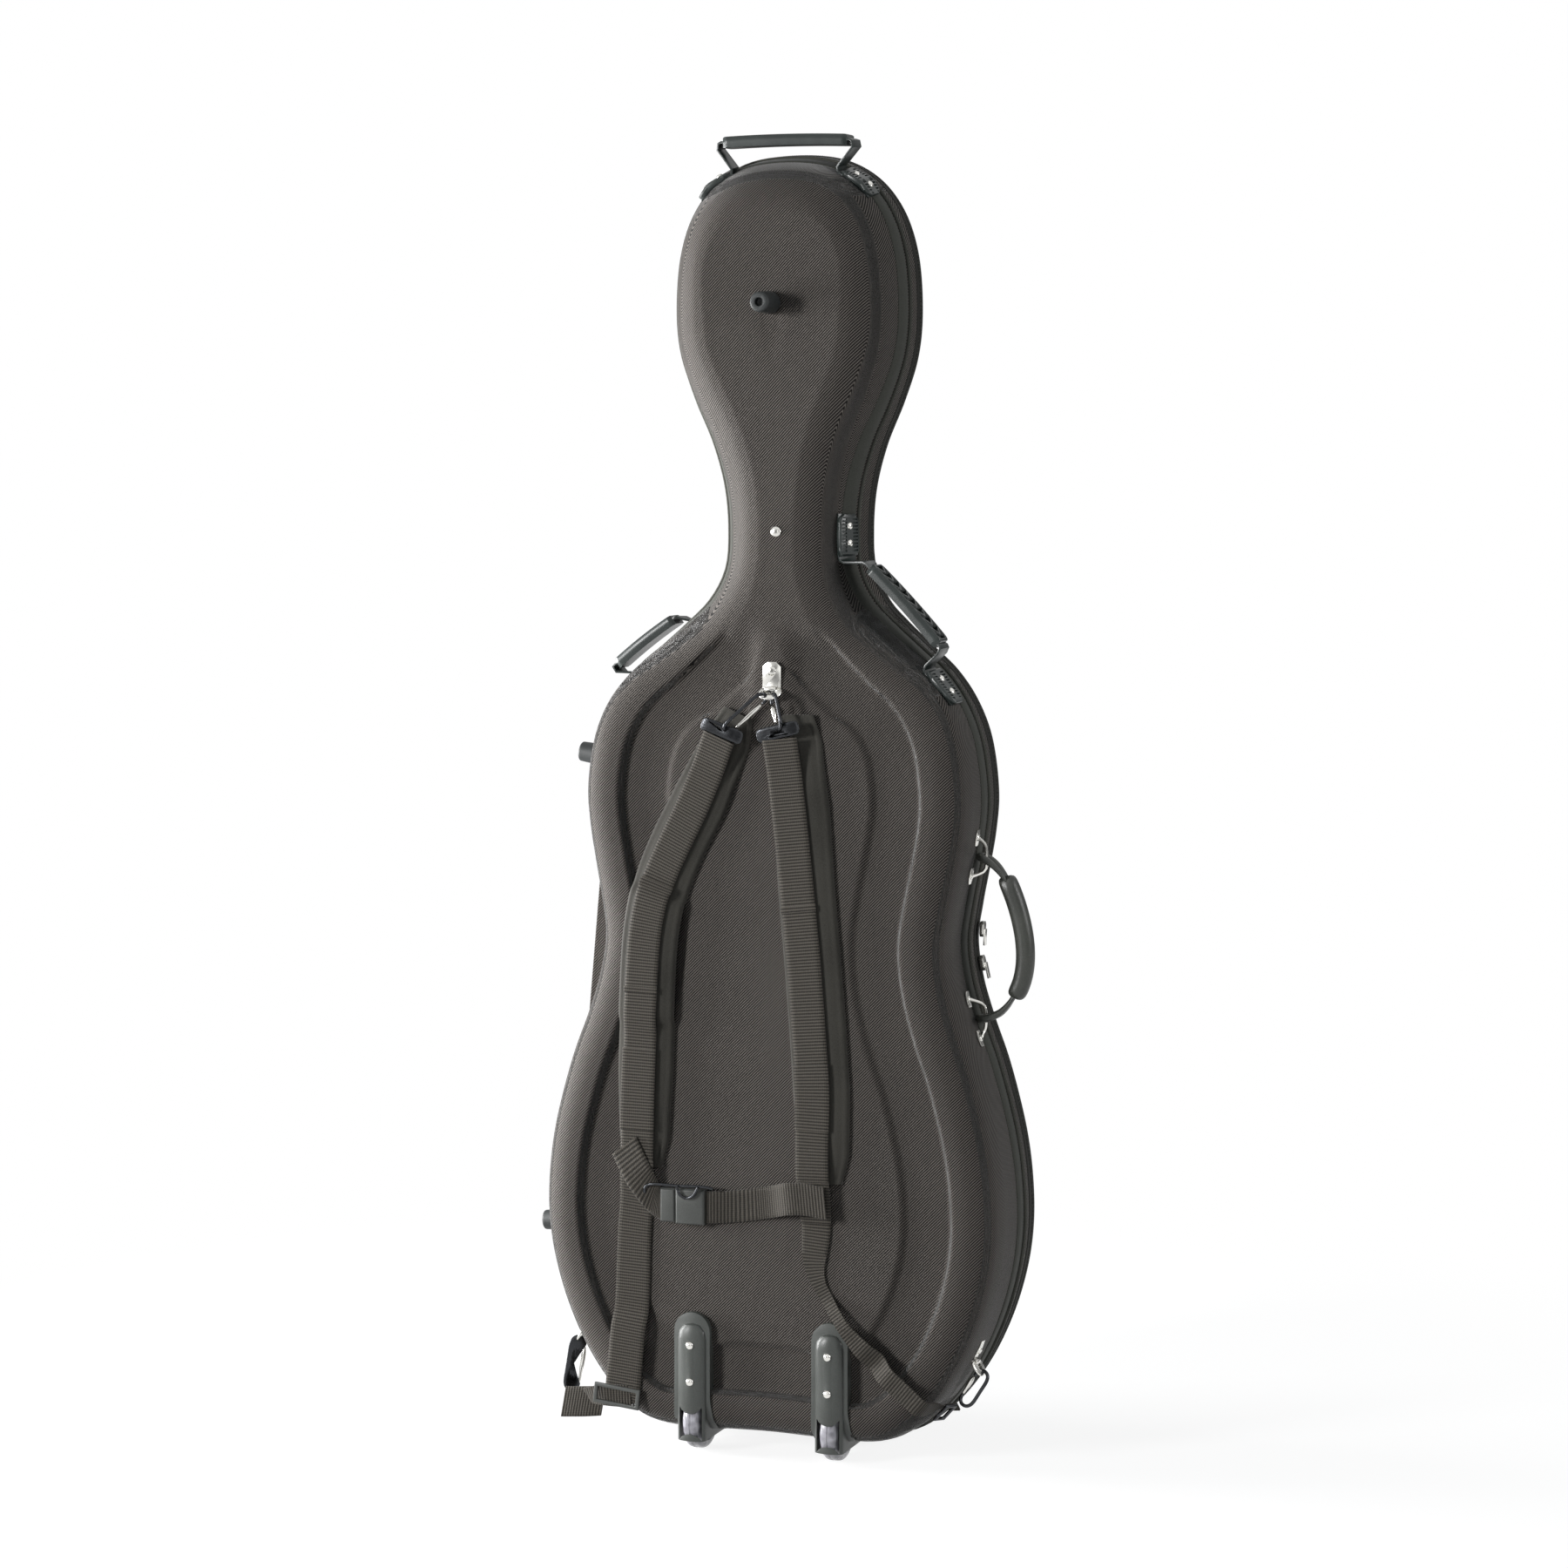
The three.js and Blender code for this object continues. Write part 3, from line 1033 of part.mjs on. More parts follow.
// Plates and rings low on the side walls
const LOWER_PLATE_LEVEL = 121;
const LOWER_PLATE_SHARE = 0.6;
const LOWER_RING_DROP = 15;
const lowerRings = [['left', -1], ['right', 1]].map(([side, sign]) => {
  const at = stationAtHeight(LOWER_PLATE_LEVEL, sign);
  const half = PLATE_LENGTH / 2;
  const spot = wallFrame(BACK, at + (sign * half) / stationPitch, LOWER_PLATE_SHARE);
  const centre = spot.place.clone().addScaledVector(spot.out, KEEP_GAP + LOOP_OUTER)
    .addScaledVector(spot.along, sign * LOOP_OUTER);
  const rivet = wallFrame(BACK, at, LOWER_PLATE_SHARE);
  const bore = turned([[0, -LOOP_HALF * 3], [LOOP_BORE, -LOOP_HALF * 3], [LOOP_BORE, LOOP_HALF * 3],
    [0, LOOP_HALF * 3]], centre, spot.across, 12);
  const plate = cut(join(wallPlate(at, half + LOOP_OUTER, LOWER_PLATE_SHARE),
    ringBody(centre, spot.across, LOOP_BORE, LOOP_OUTER, LOOP_HALF * 0.8),
    dome(rivet.place.addScaledVector(rivet.out, KEEP_GAP + PLATE_THICKNESS), rivet.out, EYELET_RADIUS,
      EYELET_RISE)), backKeep, bore);
  add(`${side}_lower_plate`, plate, CHROME);
  const fall = spot.out.clone().multiplyScalar(0.85).addScaledVector(spot.along, sign * 0.5).normalize();
  add(`${side}_lower_ring`, dRing(centre, spot.across, fall, RING_HALF - 1, LOWER_RING_DROP), CHROME);
  return centre.clone().addScaledVector(fall, LOWER_RING_DROP);
});

// Snap hooks: a wire loop that closes round what hangs in it, and a sprung gate with a sleeve
const HOOK_RADIUS = 2;
const HOOK_ROUND = 7.6;
const HOOK_HOLD = 4.8;
const GATE_RADIUS = 1.6;
const GATE_SLEEVE = 2.8;
const GATE_GAP = 0.4;
const pivots = [];

function addHook(name, high, low, degrees) {
  const up = high.clone().sub(low);
  const span = up.length();
  up.normalize();
  const turn = THREE.MathUtils.degToRad(degrees);
  const width = vec(Math.sin(turn), Math.cos(turn), 0);
  width.addScaledVector(up, -width.dot(up)).normalize();
  const lowMiddle = HOOK_ROUND - HOOK_HOLD;
  const highMiddle = span + HOOK_HOLD - HOOK_ROUND;
  const spot = (across, rise) => low.clone().addScaledVector(width, across * HOOK_ROUND).addScaledVector(up, rise);
  const bend = HOOK_ROUND * Math.SQRT1_2;
  const wire = [spot(1, highMiddle - 3), spot(1, highMiddle), spot(Math.SQRT1_2, highMiddle + bend),
    spot(0, highMiddle + HOOK_ROUND), spot(-Math.SQRT1_2, highMiddle + bend), spot(-1, highMiddle),
    spot(-1, (highMiddle + lowMiddle) / 2), spot(-1, lowMiddle), spot(-Math.SQRT1_2, lowMiddle - bend),
    spot(0, lowMiddle - HOOK_ROUND), spot(Math.SQRT1_2, lowMiddle - bend), spot(1, lowMiddle),
    spot(1, lowMiddle + 2)];
  add(`${name}_hook`, bar(wire, HOOK_RADIUS, 6, 18), DARK_STEEL);
  const pivot = spot(1, lowMiddle + 2 + GATE_RADIUS + GATE_GAP);
  const reach = highMiddle - 3 - GATE_GAP - (lowMiddle + 2 + GATE_RADIUS + GATE_GAP);
  add(`${name}_gate`, turned([[0, -GATE_RADIUS], [GATE_RADIUS * 0.7, -GATE_RADIUS * 0.7], [GATE_RADIUS, 0],
    [GATE_RADIUS, reach * 0.3], [GATE_SLEEVE, reach * 0.35], [GATE_SLEEVE, reach * 0.85],
    [GATE_RADIUS, reach * 0.9], [GATE_RADIUS, reach], [0, reach]], pivot, up, 8), CHROME);
  pivots.push({ name: `${name}_gate`, at: pivot, axis: width.clone().cross(up) });
  return { bottom: low.clone().addScaledVector(up, -HOOK_HOLD), width, room: bar(wire, HOOK_RADIUS + KEEP_GAP, 6, 18) };
}

// Rectangular rings at the tops of the shoulder straps
const STRAP_LEVEL = 116;
const rectShares = [[-0.93, 0], [0, 0], [0.93, 0], [1, 0.16], [1, 0.84], [0.93, 1], [0, 1], [-0.93, 1],
  [-1, 0.84], [-1, 0.16]];
const rectRing = (centre, across, up, half, rise) => hoop(rectShares.map(([side, high]) =>
  centre.clone().addScaledVector(across, side * half).addScaledVector(up, high * rise)), WIRE_RADIUS, 6, 20);
const RING_RISE = 11;
const strapTops = [
  { side: 'left', centre: vec(-47.6, -STRAP_LEVEL, 757.5), across: vec(43, 0, -15).normalize(), turn: 40,
    ringX: -4, low: vec(-39, -STRAP_LEVEL, 765.2) },
  { side: 'right', centre: vec(17, -STRAP_LEVEL, 758), across: vec(49.7, 0, 13).normalize(), turn: -40,
    ringX: 8.3, low: vec(17, -STRAP_LEVEL, 768.6) },
];
const RECT_HALF = 22;
strapTops.forEach((top) => {
  const up = vec(-top.across.z, 0, top.across.x);
  add(`${top.side}_strap_ring`, rectRing(top.centre, top.across, up, RECT_HALF, RING_RISE), DARK_STEEL);
  const slide = top.low.clone().sub(top.centre).dot(top.across);
  const low = top.centre.clone().addScaledVector(top.across, slide).addScaledVector(up, RING_RISE);
  const high = plateLoop.clone().addScaledVector(ringFall, RING_DROP * 0.9);
  high.x = top.ringX;
  addHook(`${top.side}_top`, high, low, top.turn);
});

// Shoulder straps: padding against the back and webbing over it, down to the lower hooks
const PAD_THICKNESS = 10;
const PAD_SHOULDER_SHARE = 0.2;
const WEB_GAP = 0.8;
const PAD_MARGIN = 13;
const route = (shares) => new THREE.CatmullRomCurve3(shares.map(([across, up]) =>
  vec(across * LOWER_HALF_WIDTH, 0, up * CASE_TOP)), false, 'centripetal');
const leftPadShares = [[-0.13, 0.575], [-0.2, 0.545], [-0.296, 0.506], [-0.39, 0.472], [-0.456, 0.441],
  [-0.495, 0.405], [-0.51, 0.337], [-0.514, 0.28], [-0.514, 0.222]];
const rightPadShares = [[0.125, 0.575], [0.128, 0.548], [0.145, 0.501], [0.171, 0.439], [0.203, 0.383],
  [0.23, 0.332], [0.25, 0.287], [0.262, 0.243], [0.266, 0.218]];
const leftWebShares = [[-0.19, 0.557], [-0.304, 0.506], [-0.393, 0.472], [-0.464, 0.441], [-0.505, 0.405],
  [-0.522, 0.337], [-0.53, 0.28], [-0.535, 0.222], [-0.557, 0.174], [-0.571, 0.113], [-0.588, 0.081],
  [-0.61, 0.035]];
const rightWebShares = [[0.069, 0.557], [0.105, 0.501], [0.144, 0.439], [0.179, 0.383], [0.206, 0.332],
  [0.226, 0.287], [0.226, 0.243], [0.234, 0.187], [0.236, 0.145], [0.36, 0.11], [0.52, 0.08],
  [0.7, 0.052]];
const padWidthShares = [[0, 34], [0.06, 52], [0.2, 62], [0.8, 62], [0.94, 56], [1, 40]];
const padRiseShares = [[0, 0.3], [0.08, 0.7], [0.16, 1], [0.9, 1], [1, 0.6]];
const PAD_ROWS = 16;
const WEB_ROWS = 22;

function clearLevel(x, z, half) {
  return Math.min(...[-1, -0.5, 0, 0.5, 1].map((share) => backFace(x + share * half, z)));
}

function routeRows(path, count, widths, levelOf) {
  return Array.from({ length: count + 1 }, (_, k) => {
    const share = k / count;
    const spot = path.getPointAt(share);
    const tangent = path.getTangentAt(share);
    const across = vec(-tangent.z, 0, tangent.x);
    const width = readTable(widths, share);
    return { at: vec(spot.x, levelOf(spot, width / 2, share), spot.z), across, out: vec(0, -1, 0), width, share };
  });
}

function padBody(shares, grown) {
  const rows = routeRows(route(shares), PAD_ROWS, padWidthShares, (spot, half) =>
    clearLevel(spot.x, spot.z, half) - KEEP_GAP + grown);
  return loft(rows.map(({ at, across, out, width, share }) => {
    const thickness = PAD_THICKNESS * readTable(padRiseShares, share) + 2 * grown;
    const half = width / 2 + grown;
    const inner = half - width * PAD_SHOULDER_SHARE / 2;
    const corner = (run, rise) => at.clone().addScaledVector(across, run).addScaledVector(out, rise);
    return [corner(-half, 0), corner(half, 0), corner(half, thickness / 2), corner(inner, thickness),
      corner(-inner, thickness), corner(-half, thickness / 2)];
  }));
}

const leftPad = padBody(leftPadShares, 0);
const rightPad = padBody(rightPadShares, 0);
add('left_strap_pad', cut(leftPad, backKeep), PADDING);
add('right_strap_pad', cut(rightPad, backKeep), PADDING);

const leftWidths = [[0, 36], [0.5, 36], [1, 40]];
const rightWidths = [[0, 38], [0.62, 36], [0.72, 30], [0.78, 14], [0.84, 14], [0.9, 22], [1, 20]];
const PAD_END = 0.222 * CASE_TOP;

// The webbing's level over the padding, then on the case below it
function webLevel(top) {
  return (spot, half, share) => {
    const over = clearLevel(spot.x, spot.z, half + PAD_MARGIN) - KEEP_GAP;
    const pad = (PAD_THICKNESS + WEB_GAP) * ramp(spot.z, PAD_END - 50, PAD_END + 10);
    const housing = spot.z < HOUSING_TOP + HOUSING_FOOT_HALF && spot.x > 0
      ? (HOUSING_SKIN + CHANNEL_RISE + 1.2) * ramp(-spot.z, -HOUSING_TOP - HOUSING_FOOT_HALF, -HOUSING_TOP) : 0;
    const level = over - pad - housing;
    return lerp(-top, level, ramp(share, 0, 0.06));
  };
}

const WEB_TOP_LOOP = [2.4, 4.4];
const axisRows = (bore, half) => [[0, -half], [bore, -half], [bore, half], [0, half]];

function webBody(shares, widths, top) {
  const rows = routeRows(route(shares), WEB_ROWS, widths, webLevel(STRAP_LEVEL));
  const half = RECT_HALF - 3;
  const loop = turned([[0, -half], [WEB_TOP_LOOP[1], -half], [WEB_TOP_LOOP[1], half], [0, half]],
    top.centre, top.across, 10);
  return { rows, loop, bore: turned(axisRows(WEB_TOP_LOOP[0], RECT_HALF), top.centre, top.across, 10) };
}

// The end of a lower strap, turned edge over to close round the bottom of its hook
const LOOP_REACH = 3.8;
const END_BORE = HOOK_RADIUS + 1.3;
const END_OUTER = HOOK_RADIUS + 2.9;
function tailRows(points, widths, firstAcross, lastAcross, firstOut) {
  const path = new THREE.CatmullRomCurve3(points, false, 'centripetal');
  const sense = Math.sign(path.getTangent(0).cross(firstAcross).dot(firstOut));
  return widths.map((width, k) => {
    const share = k / (widths.length - 1);
    const across = firstAcross.clone().lerp(lastAcross, ramp(share, 0.2, 1)).normalize();
    const tangent = path.getTangent(share);
    across.addScaledVector(tangent, -across.dot(tangent)).normalize();
    const out = tangent.clone().cross(across).multiplyScalar(sense).normalize();
    return { at: path.getPoint(share), across, out, width };
  });
}

// Where the chest buckle sits
const CHEST_LEVEL = 316;
const CHEST_SEAT = 0.6;
const BUCKLE_LEVEL = 263;
const BUCKLE_HALF = 16;
const BUCKLE_THICKNESS = 12;
const BUCKLE_LEFT = -107;
const BUCKLE_SPLIT = -94;
const BUCKLE_RIGHT = -61;
const BUCKLE_WALL = 2.4;
const PRONG_HALF = 9;
const SLOT_DEEP = 7;
const BELT_HALF = 17;
const buckleFace = clearLevel((BUCKLE_LEFT + BUCKLE_RIGHT) / 2, BUCKLE_LEVEL, 24) - KEEP_GAP;
const beltMiddle = buckleFace - BUCKLE_THICKNESS / 2;

const leftLow = addHook('left_bottom', lowerRings[0].clone().add(vec(0, 0, -0.5)), vec(-234, -80, 47), 60);
const rightLow = addHook('right_bottom', lowerRings[1].clone().add(vec(0, 0, -0.5)), vec(212, -86, 70), -84);
const endLoop = (low) => ringBody(low.bottom, low.width, END_BORE, END_OUTER, LOOP_REACH, 10);
const endBore = (low) => turned(axisRows(END_BORE, LOOP_REACH * 2), low.bottom, low.width, 10);

const leftWeb = webBody(leftWebShares, leftWidths, strapTops[0]);
const rightWeb = webBody(rightWebShares, rightWidths, strapTops[1]);
const leftFoot = leftWeb.rows[WEB_ROWS];
const leftTail = tailRows([vec(leftFoot.at.x + 10, leftFoot.at.y - 1.4, leftFoot.at.z + 7),
  vec(leftFoot.at.x - 20, leftFoot.at.y - 1.6, leftFoot.at.z + 5), vec(-205, -112, leftFoot.at.z + 1),
  leftLow.bottom.clone().add(vec(6, -7, 3)), leftLow.bottom.clone().add(vec(2, -3.6, 0))],
[24, 24, 22, 20, 16, 12, 10, 10], vec(0, 0, 1), leftLow.width, vec(0, -1, 0));
const chestRow = leftWeb.rows.reduce((best, row) =>
  (Math.abs(row.at.z - CHEST_LEVEL) < Math.abs(best.at.z - CHEST_LEVEL) ? row : best));
const chestLevel = chestRow.at.y - STRAP_THICKNESS + CHEST_SEAT;
const chestLoop = [[-150, 324, [0.8, 0.6], chestLevel], [-134, 294, [0.72, 0.69], chestLevel - 0.6],
  [-119, 270, [0.3, 0.95], beltMiddle + 0.5 * STRAP_THICKNESS - 1.5],
  [BUCKLE_LEFT - 4, BUCKLE_LEVEL, [0, 1], beltMiddle + 0.5 * STRAP_THICKNESS],
  [BUCKLE_LEFT - 4 + SLOT_DEEP - 1, BUCKLE_LEVEL, [0, 1], beltMiddle + 0.5 * STRAP_THICKNESS],
].map(([x, z, [side, up], y]) => ({
  at: vec(x, y, z), across: vec(side, 0, up).normalize(), out: vec(0, -1, 0), width: 2 * BELT_HALF,
}));
const padsGrown = [padBody(leftPadShares, SEAT_GAP), padBody(rightPadShares, SEAT_GAP)];
const rightTail = tailRows([rightWeb.rows[WEB_ROWS].at, vec(196, -100, 67),
  rightLow.bottom.clone().add(vec(-3.6, -3, 0))], [20, 18, 15, 12, 10, 10].slice(0, 6),
rightWeb.rows[WEB_ROWS].across, rightLow.width.clone().negate(), vec(0, -1, 0)).slice(1);
add('left_strap_webbing', cut(join(strip(leftWeb.rows, STRAP_THICKNESS), leftWeb.loop,
  strip(leftTail, STRAP_THICKNESS), endLoop(leftLow), strip(chestLoop, STRAP_THICKNESS)),
leftWeb.bore, endBore(leftLow), leftLow.room, padsGrown[0], backKeep), WEBBING);
add('right_strap_webbing', cut(join(strip([...rightWeb.rows, ...rightTail], STRAP_THICKNESS), rightWeb.loop,
  endLoop(rightLow)), rightWeb.bore, endBore(rightLow), rightLow.room, padsGrown[1], backKeep), WEBBING);

// Adjusters: frames that the lower straps run through
function frameBody(row, width, height, thickness, border, lift) {
  const along = row.across.clone().cross(row.out).normalize();
  const shape = new THREE.Shape([[-1, -1], [1, -1], [1, 1], [-1, 1]].map(([a, b]) =>
    new THREE.Vector2(a * width / 2, b * height / 2)));
  shape.holes.push(new THREE.Path([[-1, -1], [-1, 1], [1, 1], [1, -1]].map(([a, b]) =>
    new THREE.Vector2(a * (width / 2 - border), b * (height / 2 - border)))));
  const body = new THREE.ExtrudeGeometry(shape, {
    depth: thickness, bevelEnabled: true, bevelSize: 0.6, bevelThickness: 0.6, bevelOffset: -0.6, bevelSegments: 1,
  });
  body.translate(0, 0, 0.6);
  const place = row.at.clone().addScaledVector(row.out, lift);
  const basis = new THREE.Matrix4().makeBasis(row.across, along.clone().negate(), row.out);
  if (basis.determinant() < 0) basis.makeBasis(row.across, along, row.out);
  body.applyMatrix4(basis.setPosition(place));
  return body;
}
const ADJUSTER_THICKNESS = 2.4;
const ADJUSTER_BORDER = 4;
add('left_adjuster', frameBody({ at: vec(-161, leftFoot.at.y - STRAP_THICKNESS - 0.4, 54), across: vec(0.995, 0, -0.1).normalize(),
  out: vec(0, -1, 0) }, 52, 22, ADJUSTER_THICKNESS, ADJUSTER_BORDER, STRAP_THICKNESS + SEAT_GAP), GREY_PLASTIC);
add('right_adjuster', frameBody(rightTail[1], 26, 15, ADJUSTER_THICKNESS, ADJUSTER_BORDER * 0.8,
  STRAP_THICKNESS + 2.9), DARK_STEEL);

// Side-release buckle and the belt on its other side
const beltSlot = (from, to) => block(
  vec(from, beltMiddle - STRAP_THICKNESS / 2 - SEAT_GAP, BUCKLE_LEVEL - BELT_HALF - SEAT_GAP),
  vec(to, beltMiddle + STRAP_THICKNESS / 2 + SEAT_GAP, BUCKLE_LEVEL + BELT_HALF + SEAT_GAP));

function roundedBox(low, high, bevel) {
  const shape = new THREE.Shape([[low.z, low.x], [high.z, low.x], [high.z, high.x], [low.z, high.x]]
    .map(([a, b]) => new THREE.Vector2(a, b)));
  const body = new THREE.ExtrudeGeometry(shape, {
    depth: high.y - low.y - 2 * bevel, bevelEnabled: true, bevelSize: bevel, bevelThickness: bevel,
    bevelOffset: -bevel, bevelSegments: 1,
  });
  body.translate(0, 0, low.y + bevel);
  body.applyMatrix4(new THREE.Matrix4().makeBasis(vec(0, 0, 1), vec(1, 0, 0), vec(0, 1, 0)));
  return body;
}

const buckleTop = BUCKLE_LEVEL + BUCKLE_HALF + 3;
const buckleBase = BUCKLE_LEVEL - BUCKLE_HALF - 3;
const prong = block(vec(BUCKLE_SPLIT - 4, beltMiddle - 2.5, BUCKLE_LEVEL - PRONG_HALF),
  vec(BUCKLE_RIGHT - 14, beltMiddle + 2.5, BUCKLE_LEVEL + PRONG_HALF));
const prongRoom = block(vec(BUCKLE_SPLIT - 6, beltMiddle - 2.9, BUCKLE_LEVEL - PRONG_HALF - 0.4),
  vec(BUCKLE_RIGHT - 13.6, beltMiddle + 2.9, BUCKLE_LEVEL + PRONG_HALF + 0.4));
add('buckle_socket', cut(roundedBox(vec(BUCKLE_SPLIT + 0.4, buckleFace - BUCKLE_THICKNESS, buckleBase),
  vec(BUCKLE_RIGHT, buckleFace, buckleTop), BUCKLE_WALL * 0.8), prongRoom,
beltSlot(BUCKLE_RIGHT - SLOT_DEEP, BUCKLE_RIGHT + 2)), GREY_PLASTIC);
add('buckle_plug', cut(join(roundedBox(vec(BUCKLE_LEFT - 4, buckleFace - BUCKLE_THICKNESS + 1, buckleBase + 1),
  vec(BUCKLE_SPLIT, buckleFace - 1, buckleTop - 1), BUCKLE_WALL * 0.8), prong),
beltSlot(BUCKLE_LEFT - 6, BUCKLE_LEFT - 4 + SLOT_DEEP)), GREY_PLASTIC);

const beltStops = [BUCKLE_RIGHT - SLOT_DEEP + 1, BUCKLE_RIGHT + 3, -35, -5, 12, 32, 52, 74];
const beltRiseShares = [[-50, 263], [-20, 266], [15, 274], [40, 282], [74, 278]];
const beltRows = beltStops.map((x, k) => {
  const z = readTable(beltRiseShares, x);
  const onCase = clearLevel(x, z, 20) - KEEP_GAP;
  const over = (PAD_THICKNESS + WEB_GAP + STRAP_THICKNESS + SEAT_GAP * 2) * ramp(x, 6, 30);
  const y = k < 2 ? beltMiddle + STRAP_THICKNESS / 2 : onCase - over - 1;
  return { at: vec(x, y, z), across: vec(-0.1 * ramp(x, -40, 30), 0, 1).normalize(), out: vec(0, -1, 0),
    width: 2 * BELT_HALF };
});
add('chest_belt', cut(strip(beltRows, STRAP_THICKNESS), padsGrown[1], backKeep), WEBBING);

// Zip sliders, each square to the run of teeth it sits on
function sliderPlace(z) {
  const at = stationAtHeight(z, 1);
  const [high, low] = [stations[Math.floor(at)], stations[Math.floor(at) + 1]];
  const along = vec(high.x - low.x, 0, high.z - low.z).normalize();
  const out = vec(along.z, 0, -along.x);
  const place = vec(lerp(high.x, low.x, at % 1), 0, z).addScaledVector(out, ZIP_PROUD + SLIDER_GAP);
  return new THREE.Matrix4().makeBasis(out, vec(0, 1, 0), along).setPosition(place);
}
[['upper_zip_slider', 553], ['lower_zip_slider', 516]].forEach(([name, z]) => {
  const { body, pull } = sliderBody(0, 1);
  add(name, join(body, pull).applyMatrix4(sliderPlace(z)), CHROME);
});

// Foam inside the back: a cradle for the neck and a rest for the lower end
const CRADLE_HALF = 52;
const CRADLE_LOW = 930;
const CRADLE_HIGH = 1000;
const CRADLE_FACE = 12;
const CRADLE_ROUND = 27;
const REST_HALF = 150;
const REST_HIGH = 105;
const REST_FACE = 30;
const REST_ROUND = 205;
const PIN_HALF = 18;
const cavityFace = backInner(SHELL_WALL + LINING_GAP + LINING + KEEP_GAP);
const cavity = fillBody([cavityFace.edgeAt(LINING_EDGE), ...cavityFace.rings.slice(1), cavityFace.floor],
  -1, LINING_EDGE);
const trough = turned([[0, -CASE_TOP], [CRADLE_ROUND, -CASE_TOP], [CRADLE_ROUND, CASE_TOP], [0, CASE_TOP]],
  vec(0, -CRADLE_FACE, NECK_LEVEL), vec(0, 0, 1), 20);
add('neck_cradle', cut(common(block(vec(-CRADLE_HALF, -HEAD_BACK_DEPTH, CRADLE_LOW),
  vec(CRADLE_HALF, -CRADLE_FACE, CRADLE_HIGH)), cavity), trough), PLUSH);
const bout = turned([[0, -REST_HALF], [REST_ROUND, -REST_HALF], [REST_ROUND, REST_HALF], [0, REST_HALF]],
  vec(0, -REST_FACE, REST_ROUND + 55), vec(0, 1, 0), 40);
const wellRoom = wheelSpots.map(([, x]) =>
  alongX(wellRadius + WELL_WALL + 2 * KEEP_GAP, wellHalf + WELL_WALL + 2 * KEEP_GAP, x));
add('body_rest', cut(common(block(vec(-REST_HALF, -LOWER_BACK_DEPTH, BODY_CLEARANCE),
  vec(REST_HALF, -REST_FACE, REST_HIGH)), cavity), bout,
block(vec(-PIN_HALF, -LOWER_BACK_DEPTH + 30, 40), vec(PIN_HALF, 0, REST_HIGH * 2)), ...wellRoom), PLUSH);

// Stand the part on its wheels and feet, centred over its own footprint
const extent = new THREE.Box3().setFromObject(group);
group.position.set(-(extent.min.x + extent.max.x) / 2, -(extent.min.y + extent.max.y) / 2, -extent.min.z);
const part = new THREE.Group();
part.add(group);

export default part;
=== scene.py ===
"""Looks of the cello hard case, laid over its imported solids.

Sizes are millimetres in the case's own frame: x to the zip side, y from the moulded back to the lid
with the zip at zero, z up from the floor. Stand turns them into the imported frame's metres.
"""

import logging
import math
from dataclasses import dataclass, field
from enum import Enum
from typing import Callable, Optional, Sequence, Union

import bmesh
import bpy
from mathutils import Matrix, Vector

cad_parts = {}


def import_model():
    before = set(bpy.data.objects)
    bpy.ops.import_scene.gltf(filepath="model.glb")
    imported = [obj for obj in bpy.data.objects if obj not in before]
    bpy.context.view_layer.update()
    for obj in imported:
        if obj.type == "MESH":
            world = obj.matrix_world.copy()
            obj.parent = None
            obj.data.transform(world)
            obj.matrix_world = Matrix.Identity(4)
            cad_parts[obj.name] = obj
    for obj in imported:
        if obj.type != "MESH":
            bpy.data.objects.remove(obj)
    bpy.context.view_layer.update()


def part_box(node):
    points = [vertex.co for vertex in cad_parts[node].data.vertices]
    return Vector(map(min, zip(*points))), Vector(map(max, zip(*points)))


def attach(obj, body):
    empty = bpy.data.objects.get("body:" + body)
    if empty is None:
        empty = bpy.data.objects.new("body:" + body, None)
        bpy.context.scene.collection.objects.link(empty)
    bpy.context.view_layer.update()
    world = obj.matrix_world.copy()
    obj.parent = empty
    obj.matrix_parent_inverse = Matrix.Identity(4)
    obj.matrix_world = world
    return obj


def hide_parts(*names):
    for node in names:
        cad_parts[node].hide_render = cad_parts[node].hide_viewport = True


log = logging.getLogger("cello_case")

MM = 0.001
WELD = 1e-6
FLAT_ANGLE = math.radians(2)
RIGHT = Vector((1, 0, 0))
INTO_LID = Vector((0, 1, 0))
OUT_OF_BACK = Vector((0, -1, 0))
UP = Vector((0, 0, 1))
Place = Callable[[int, int], Vector]
Pairs = tuple[tuple[float, float], ...]
Number = Union[int, float]
Colour = tuple[float, float, float]


def lerp(a: float, b: float, share: float) -> float:
    """Value a share of the way from a to b."""
    return a + (b - a) * share


def ramp(value: float, low: float, high: float) -> float:
    """Smooth step from 0 at low to 1 at high."""
    share = min(max((value - low) / (high - low), 0.0), 1.0)
    return share * share * (3 - 2 * share)


def read_table(rows: Sequence[Sequence[float]], key: float) -> float:
    """Read a table piecewise straight.

    Args:
        rows: Pairs of a rising key and a value.
        key: Where to read.

    Returns:
        The value there, held level past both ends.
    """
    if key <= rows[0][0]:
        return rows[0][1]
    for (low_key, low), (high_key, high) in zip(rows, rows[1:]):
        if key <= high_key:
            return lerp(low, high, (key - low_key) / (high_key - low_key))
    return rows[-1][1]


@dataclass(frozen=True)
class WheelSize:
    """Sizes and places that the wheels share with the wells cut for them."""

    radius: float = 32.0
    half: float = 10.0
    centre: float = 76.5
    setback: float = 101.0
    well_radius: float = 37.8
    well_half: float = 15.8

    def middle(self, sign: int) -> Vector:
        """Middle of the wheel on one side, in the case's own millimetres."""
        return Vector((sign * self.centre, -self.setback, self.radius))


WHEEL = WheelSize()


